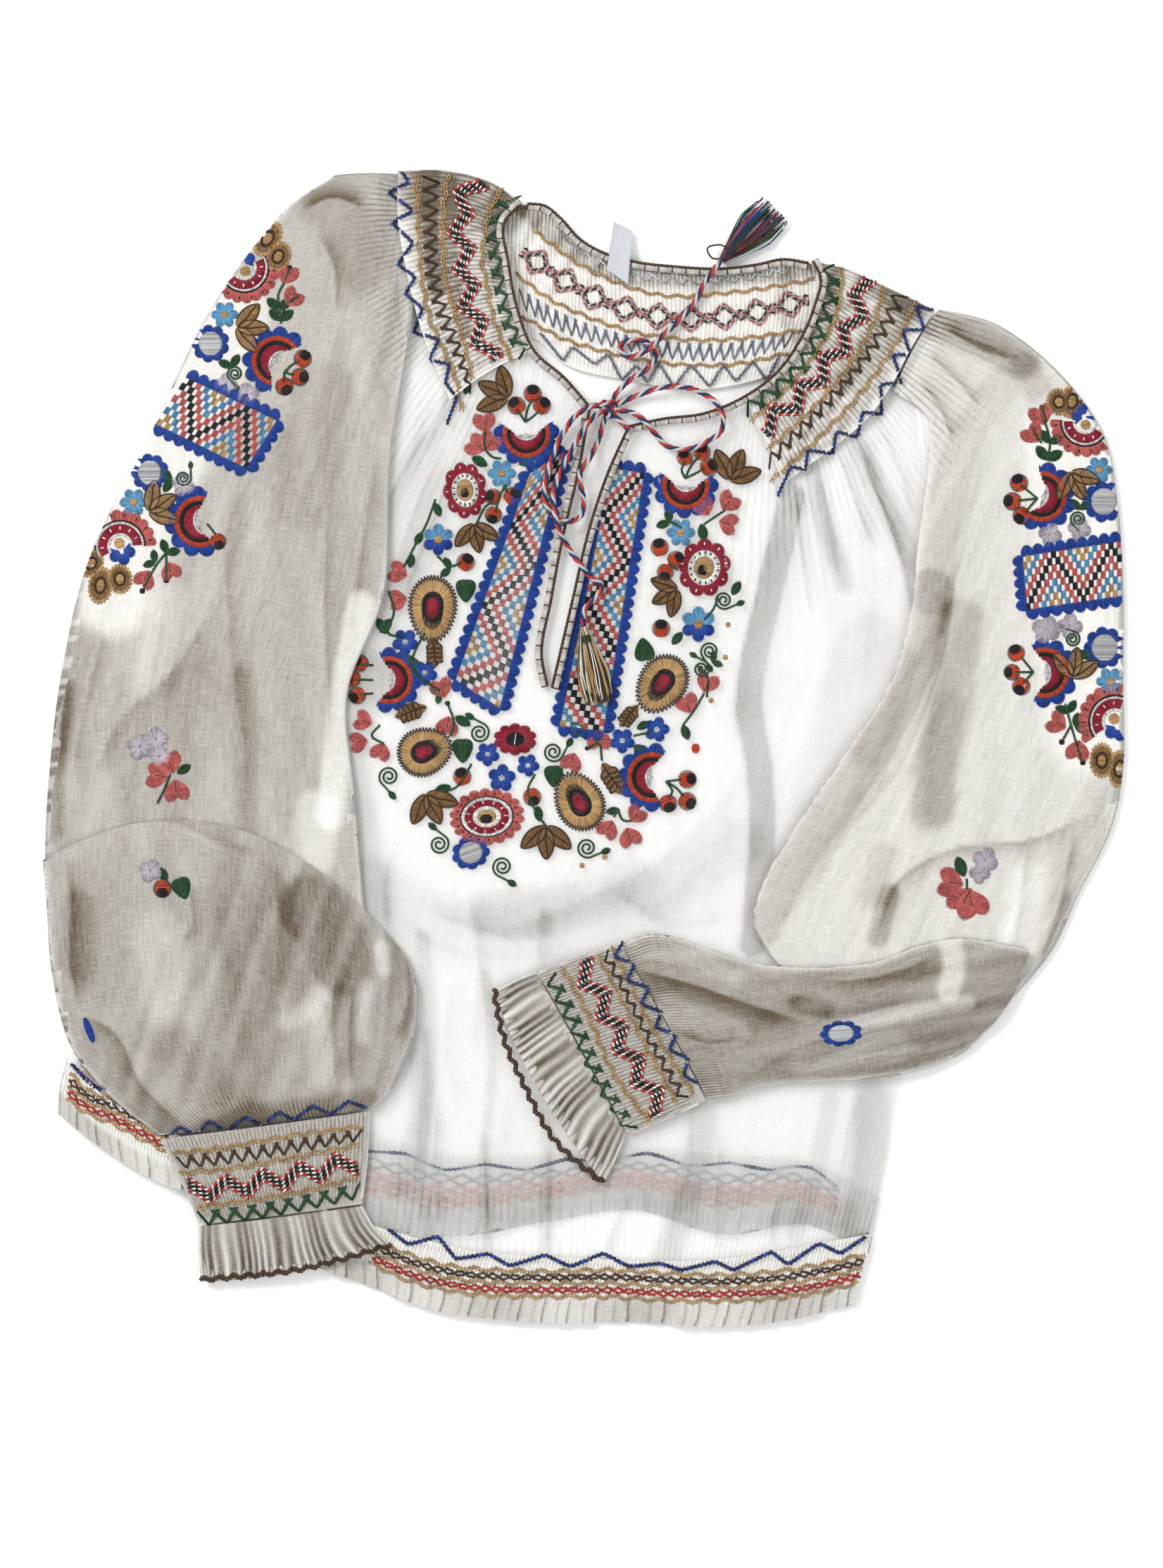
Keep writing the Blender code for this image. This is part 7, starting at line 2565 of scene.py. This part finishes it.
@dataclass
class Arm:
    """One sleeve in its four parts: upper arm, forearm folded over it, smocked cuff and ruffle.

    Shades, bases, creases and motifs are those of the upper arm and the forearm. Bases are the tones
    away from every fold, and creases are headings in degrees.
    """

    PIPES: ClassVar[int] = 52
    WAVES: ClassVar[int] = 21

    side: str
    sections: tuple[Route, Route, Route, Route]
    shades: tuple[Sequence, Sequence]
    bases: tuple[float, float]
    creases: tuple[float, float]
    motifs: tuple[Sequence, Sequence]
    band: tuple
    cuff: dict[str, Sequence]
    edge: Route

    def upper(self) -> None:
        """Upper arm, with its embroidery."""
        turn = self.creases[0]
        yoke = (YOKE_LEFT_EDGES if self.side == "left" else YOKE_RIGHT_EDGES)["outer"]
        fan = (replace(FAN_LEFT, reach=34.0, strength=0.34) if self.side == "left"
               else replace(FAN_RIGHT, reach=60.0))
        piece = Tube(
            f"sleeve_{self.side}_cloth", f"sleeve_{self.side}", self.sections[0],
            rows=164, top=104, base=24, finish=SLEEVE, slot="sleeve_cloth",
            density_and_shade=lambda at: np.clip(
                shaded(at, self.bases[0], self.shades[0]) + 0.05 * crinkle(at, turn, 21, 2.0)
                + 0.04 * crinkle(at, turn + 25, 33, 5.0), 0, 1),
            relief=lambda at, u, v: 0.5 * crinkle(at, turn, 17, 1.0)
            + 0.22 * crinkle(at, turn + 6, 6.5, 3.0) - 2.2 * np.clip(1.5 - distance(at, yoke) / 7, 0, 1),
            gathers=lambda at, u, v: strongest(fan.read(at), (30 * u, np.full_like(u, 0.04)))).build()
        embroider(piece, f"sleeve_{self.side}_embroidery", "sleeve_cloth", self.motifs[0], SLEEVE_STEMS,
                  (self.band,))

    def fore(self) -> None:
        """Forearm, puffed over the cuff."""
        turn = self.creases[1]
        piece = Tube(
            f"forearm_{self.side}_cloth", f"forearm_{self.side}", self.sections[1],
            rows=108, top=126, base=24, finish=SLEEVE, slot="sleeve_cloth",
            density_and_shade=lambda at: np.clip(
                shaded(at, self.bases[1], self.shades[1]) + 0.07 * crinkle(at, turn, 19, 2.5)
                + 0.05 * crinkle(at, turn + 30, 31, 5.5), 0, 1),
            relief=lambda at, u, v: 0.7 * crinkle(at, turn, 15, 1.7) + 0.3 * crinkle(at, turn + 8, 6, 3.4),
            held="gathered", rests_on=(f"sleeve_{self.side}_cloth",),
            gathers=lambda at, u, v: (58 * u, 0.04 + 0.5 * smooth_step(v, 0.70, 1.0) ** 1.3)).build()
        embroider(piece, f"forearm_{self.side}_flower", "sleeve_cloth", self.motifs[1])

    def smocked(self) -> None:
        """Smocked cuff."""
        Tube(
            f"cuff_{self.side}_cloth", f"cuff_{self.side}", self.sections[2],
            rows=30, top=4 * self.PIPES, base=40, finish=GATHERS, slot="smocking",
            density_and_shade=self.pleat_shade, relief=lambda at, u, v: self.pleated(u, v) - 0.6,
            held="gathered", roll=3.0, even=7).build()

    def work(self) -> None:
        """Work the cuff's rows of stitches over the cuff and the cloth on both sides of it."""
        grounds = (f"{part}_{self.side}_cloth" for part in ("forearm", "cuff", "ruffle"))
        needle = Needlework(ground_of(*grounds), hang=True)
        smocking(needle, self.cuff)
        needle.build(f"cuff_{self.side}_stitches", "smocking")

    def pleated(self, u: np.ndarray, v: np.ndarray) -> np.ndarray:
        """Height of the cuff's pleats, up to a millimetre."""
        return pleats(u, v, self.PIPES, 1.0, 6.0, 0.25)

    def pleat_shade(self, at: np.ndarray) -> np.ndarray:
        """Density of the cuff's pleats, as painted shade in their valleys; the lower layer, which has fewer
        points, is plain.

        Args:
            at: plan points.

        Returns:
            Tone of each point, from 0 to 1.
        """
        if at.shape[1] < 2 * self.PIPES:
            return np.full(at.shape[:2], 0.6)
        return gathered(self.pleated(*shares(at.shape[1] - 1, at.shape[0] - 1)), 1.0, 0.62, 1.0)

    def frill(self) -> None:
        """Ruffle with a brown scalloped buttonhole edge."""
        def wave(u: np.ndarray, v: np.ndarray) -> np.ndarray:
            """Height of the flutes."""
            step = u * self.WAVES + 0.4 * np.sin(2 * math.pi * 3.1 * u) + 0.1 * np.sin(5 * v + 7 * u)
            return np.sin(2 * math.pi * step) * (0.25 + 0.75 * v)

        def shade(at: np.ndarray) -> np.ndarray:
            """Tone of the flutes: painted shade in their troughs, lighter on their ridges."""
            u, v = shares(at.shape[1] - 1, at.shape[0] - 1)
            return np.clip(0.70 - 0.30 * wave(u, v) + 0.12 * np.sin(2 * math.pi * 4.7 * u), 0, 1)

        piece = Tube(
            f"ruffle_{self.side}_cloth", f"ruffle_{self.side}", self.sections[3],
            rows=20, top=8 * self.WAVES, base=8 * self.WAVES, finish=GATHERS, slot="smocking",
            density_and_shade=shade, relief=lambda at, u, v: 1.5 * wave(u, v),
            held="gathered", roll=3.0, even=7).build()
        needle = Needlework(Ground(piece), strict=False)
        edge = wavy(self.edge, 1.4, 8.0)
        for lift, side in ((0.15, 0.9), (0.35, -0.5), (0.2, 0.2)):
            needle.line((Thread.COCOA,), edge, step=1.5, width=1.8, slant=side, lift=lift)
        needle.build(f"ruffle_{self.side}_edge", "smocking")

    def build(self) -> None:
        """Make all four parts."""
        self.upper()
        self.fore()
        self.smocked()
        self.frill()
        self.work()


@dataclass
class Tag:
    """Blank ribbed woven tag at the back of the neck."""

    columns: int = 34
    rows: int = 66

    def build(self) -> None:
        """Make the tag."""
        top, bottom, left, right = (curve(LABEL_EDGES[name]) for name in ("foot", "tip", "left", "right"))
        points = patch(top, bottom, left, right, self.columns, self.rows)
        u, v = shares(self.columns, self.rows)
        ribs = 0.12 * np.cos(2 * math.pi * v * 22)
        # Painted shade in the grooves between the ribs; darker along both long edges
        shade = np.clip(0.42 + 0.45 * (ribs < 0) + 0.3 * (np.abs(2 * u - 1) > 0.9), 0, 1)
        Sheet("tag_ribbon", "tag", points, SATIN, "tag", density_and_shade=shade,
              relief=ribs + 0.4 * (2 * u - 1) ** 2, sink=0.4, even=2).build()


@dataclass
class Blouse:
    """The whole blouse over its frame."""

    def cloths(self) -> None:
        """Make the panels and the hems, and work the hems' stitches."""
        Back().build()
        ends = tuple((BACK_HEM[end], BACK_RUFFLE[end]) for end in (0, -1))
        Hem("hem_back_cloth", "hem_back", BACK_HEM, BACK_RUFFLE, ends, pipes=150, waves=22, rows=20,
            band=0.7, strength=0.5, tone=0.35).build()
        self.back_hem()
        hem = FRONT_HEM_LEFT + FRONT_HEM_RIGHT
        Hem("hem_front_cloth", "hem_front", hem, RUFFLE_BOTTOM,
            ((hem[0], *HEM_LEFT), (hem[-1], *HEM_RIGHT)), pipes=230, waves=30, rows=20).build()
        Front().build()
        needle = Needlework(ground_of("front_cloth", "hem_front_cloth"))
        for rows in (HEM_ROWS, HEM_LEFT_ROWS):
            twist = polyline(rows["zigzag"])
            needle.line((Thread.WHITE,), twist, step=3.0, width=1.0, lift=0.2)
            needle.line((Thread.NAVY, Thread.NAVY, Thread.ROYAL), twist, step=2.5, width=2.0, slant=0.45,
                        lift=0.5)
            chains = np.array(rows["chains"])
            for number, chain in enumerate(chains):
                route = wavy(chain, swing=1.3, pitch=12.0, shift=0.5 * number)
                needle.chain(Thread.TAN, route, step=2.6, half=0.9, lift=0.25)
            for chain, thread in (((chains[0] + chains[1]) / 2, Thread.COCOA),
                                  ((chains[1] + chains[2]) / 2, Thread.RED)):
                for shift in (0.0, 0.46):
                    route = wavy(chain, swing=2.1, pitch=12.0, shift=shift)
                    needle.line((thread,), route, step=3.2, width=1.3, slant=0.35, lift=0.3)
        needle.build("hem_stitches", "smocking")

    def back_hem(self) -> None:
        """Work the back panel's rows of stitches, which show through the front panel."""
        needle = Needlework(ground_of("back_cloth", "hem_back_cloth"))
        hem, ruffle = np.array(BACK_HEM, float), np.array(BACK_RUFFLE, float)
        for row in (hem, ruffle):
            row[-1] = 0.4 * row[-1] + 0.6 * row[-2]
        for level, thread, swing, pitch, shift, width in (
                (0.14, Thread.SLATE, 2.4, 44.0, 0.0, 2.0), (0.26, Thread.SLATE, 1.6, 12.0, 0.0, 1.5),
                (0.33, Thread.UMBER, 1.6, 12.0, 0.5, 1.2), (0.40, Thread.SALMON, 1.7, 12.0, 0.0, 2.0),
                (0.46, Thread.RED, 1.7, 12.0, 0.5, 2.2), (0.52, Thread.SALMON, 1.7, 12.0, 0.0, 2.6),
                (0.58, Thread.RED, 1.7, 12.0, 0.5, 2.2), (0.64, Thread.TAN, 1.4, 12.0, 0.0, 1.6)):
            route = wavy(hem + level * (ruffle - hem), swing, pitch, shift)
            needle.line((thread,), route, step=2.8, width=width, slant=0.35, lift=0.6)
        needle.build("back_hem_stitches", "smocking")

    def yokes(self) -> None:
        """Make the three smocked yokes and the bindings, and work the yokes' stitches."""
        order = ("inner", "outer", "fold", "front")
        back = Yoke("yoke_back_cloth", "yoke_back", YOKE_BACK_EDGES, ("neck", "stitches", "left", "right"),
                    YOKE_BACK_ROWS, pipes=78, rows=30, low=0.08, high=0.66, relief=0.8)
        left = Yoke("yoke_left_cloth", "yoke_left", YOKE_LEFT_EDGES, order, YOKE_LEFT_ROWS,
                    pipes=44, rows=40, low=0.36, high=0.98)
        right = Yoke("yoke_right_cloth", "yoke_right", YOKE_RIGHT_EDGES, order, YOKE_RIGHT_ROWS,
                     pipes=44, rows=40, low=0.32, high=0.96)
        for yoke in (back, left, right):
            yoke.build()
        self.bindings()
        back.work("back_cloth")
        left.work("front_cloth", "sleeve_left_cloth", "neck_left_piping")
        right.work("front_cloth", "sleeve_right_cloth", "neck_right_piping")

    def arms(self) -> None:
        """Make both sleeves."""
        Arm("left", (SLEEVE_LEFT, FORE_LEFT, CUFF_LEFT, RUFFLE_LEFT),
            shades=(SLEEVE_LEFT_SHADE, FORE_LEFT_SHADE), bases=(0.63, 0.68), creases=(75.0, 70.0),
            motifs=(SLEEVE_LEFT_MOTIFS, FORE_LEFT_MOTIFS), band=SLEEVE_LEFT_BAND, cuff=CUFF_LEFT_ROWS,
            edge=RUFFLE_LEFT_EDGE).build()
        Arm("right", (SLEEVE_RIGHT, FORE_RIGHT, CUFF_RIGHT, RUFFLE_RIGHT),
            shades=(SLEEVE_RIGHT_SHADE, FORE_RIGHT_SHADE), bases=(0.34, 0.75), creases=(62.0, 8.0),
            motifs=(SLEEVE_RIGHT_MOTIFS, FORE_RIGHT_MOTIFS), band=SLEEVE_RIGHT_BAND, cuff=CUFF_RIGHT_ROWS,
            edge=RUFFLE_RIGHT_EDGE).build()

    def bindings(self) -> None:
        """Make the neck and slit bindings with their blanket stitches."""
        slit = np.array(SLIT[:OPEN_ROWS])
        for name, node, route, side in (
                ("neck_back_piping", "binding_neck_back", NECK_BACK, -1),
                ("neck_left_piping", "binding_neck_left", NECK_LEFT, -1),
                ("neck_right_piping", "binding_neck_right", NECK_RIGHT, -1),
                ("slit_left_piping", "binding_slit_left", slit[:, 1:3], -1),
                ("slit_right_piping", "binding_slit_right", slit[:, 3:5], 1)):
            Piping(name, node, route, side).build()

    def build(self) -> None:
        """Make everything, the drawstring first."""
        Drawstring().build()
        self.cloths()
        self.arms()
        self.yokes()
        Tag().build()


def main() -> None:
    """Build the studio and the blouse."""
    logging.basicConfig(level=logging.INFO, format="%(message)s")
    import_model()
    Studio().build()
    Blouse().build()


if __name__ == "__main__":
    main()
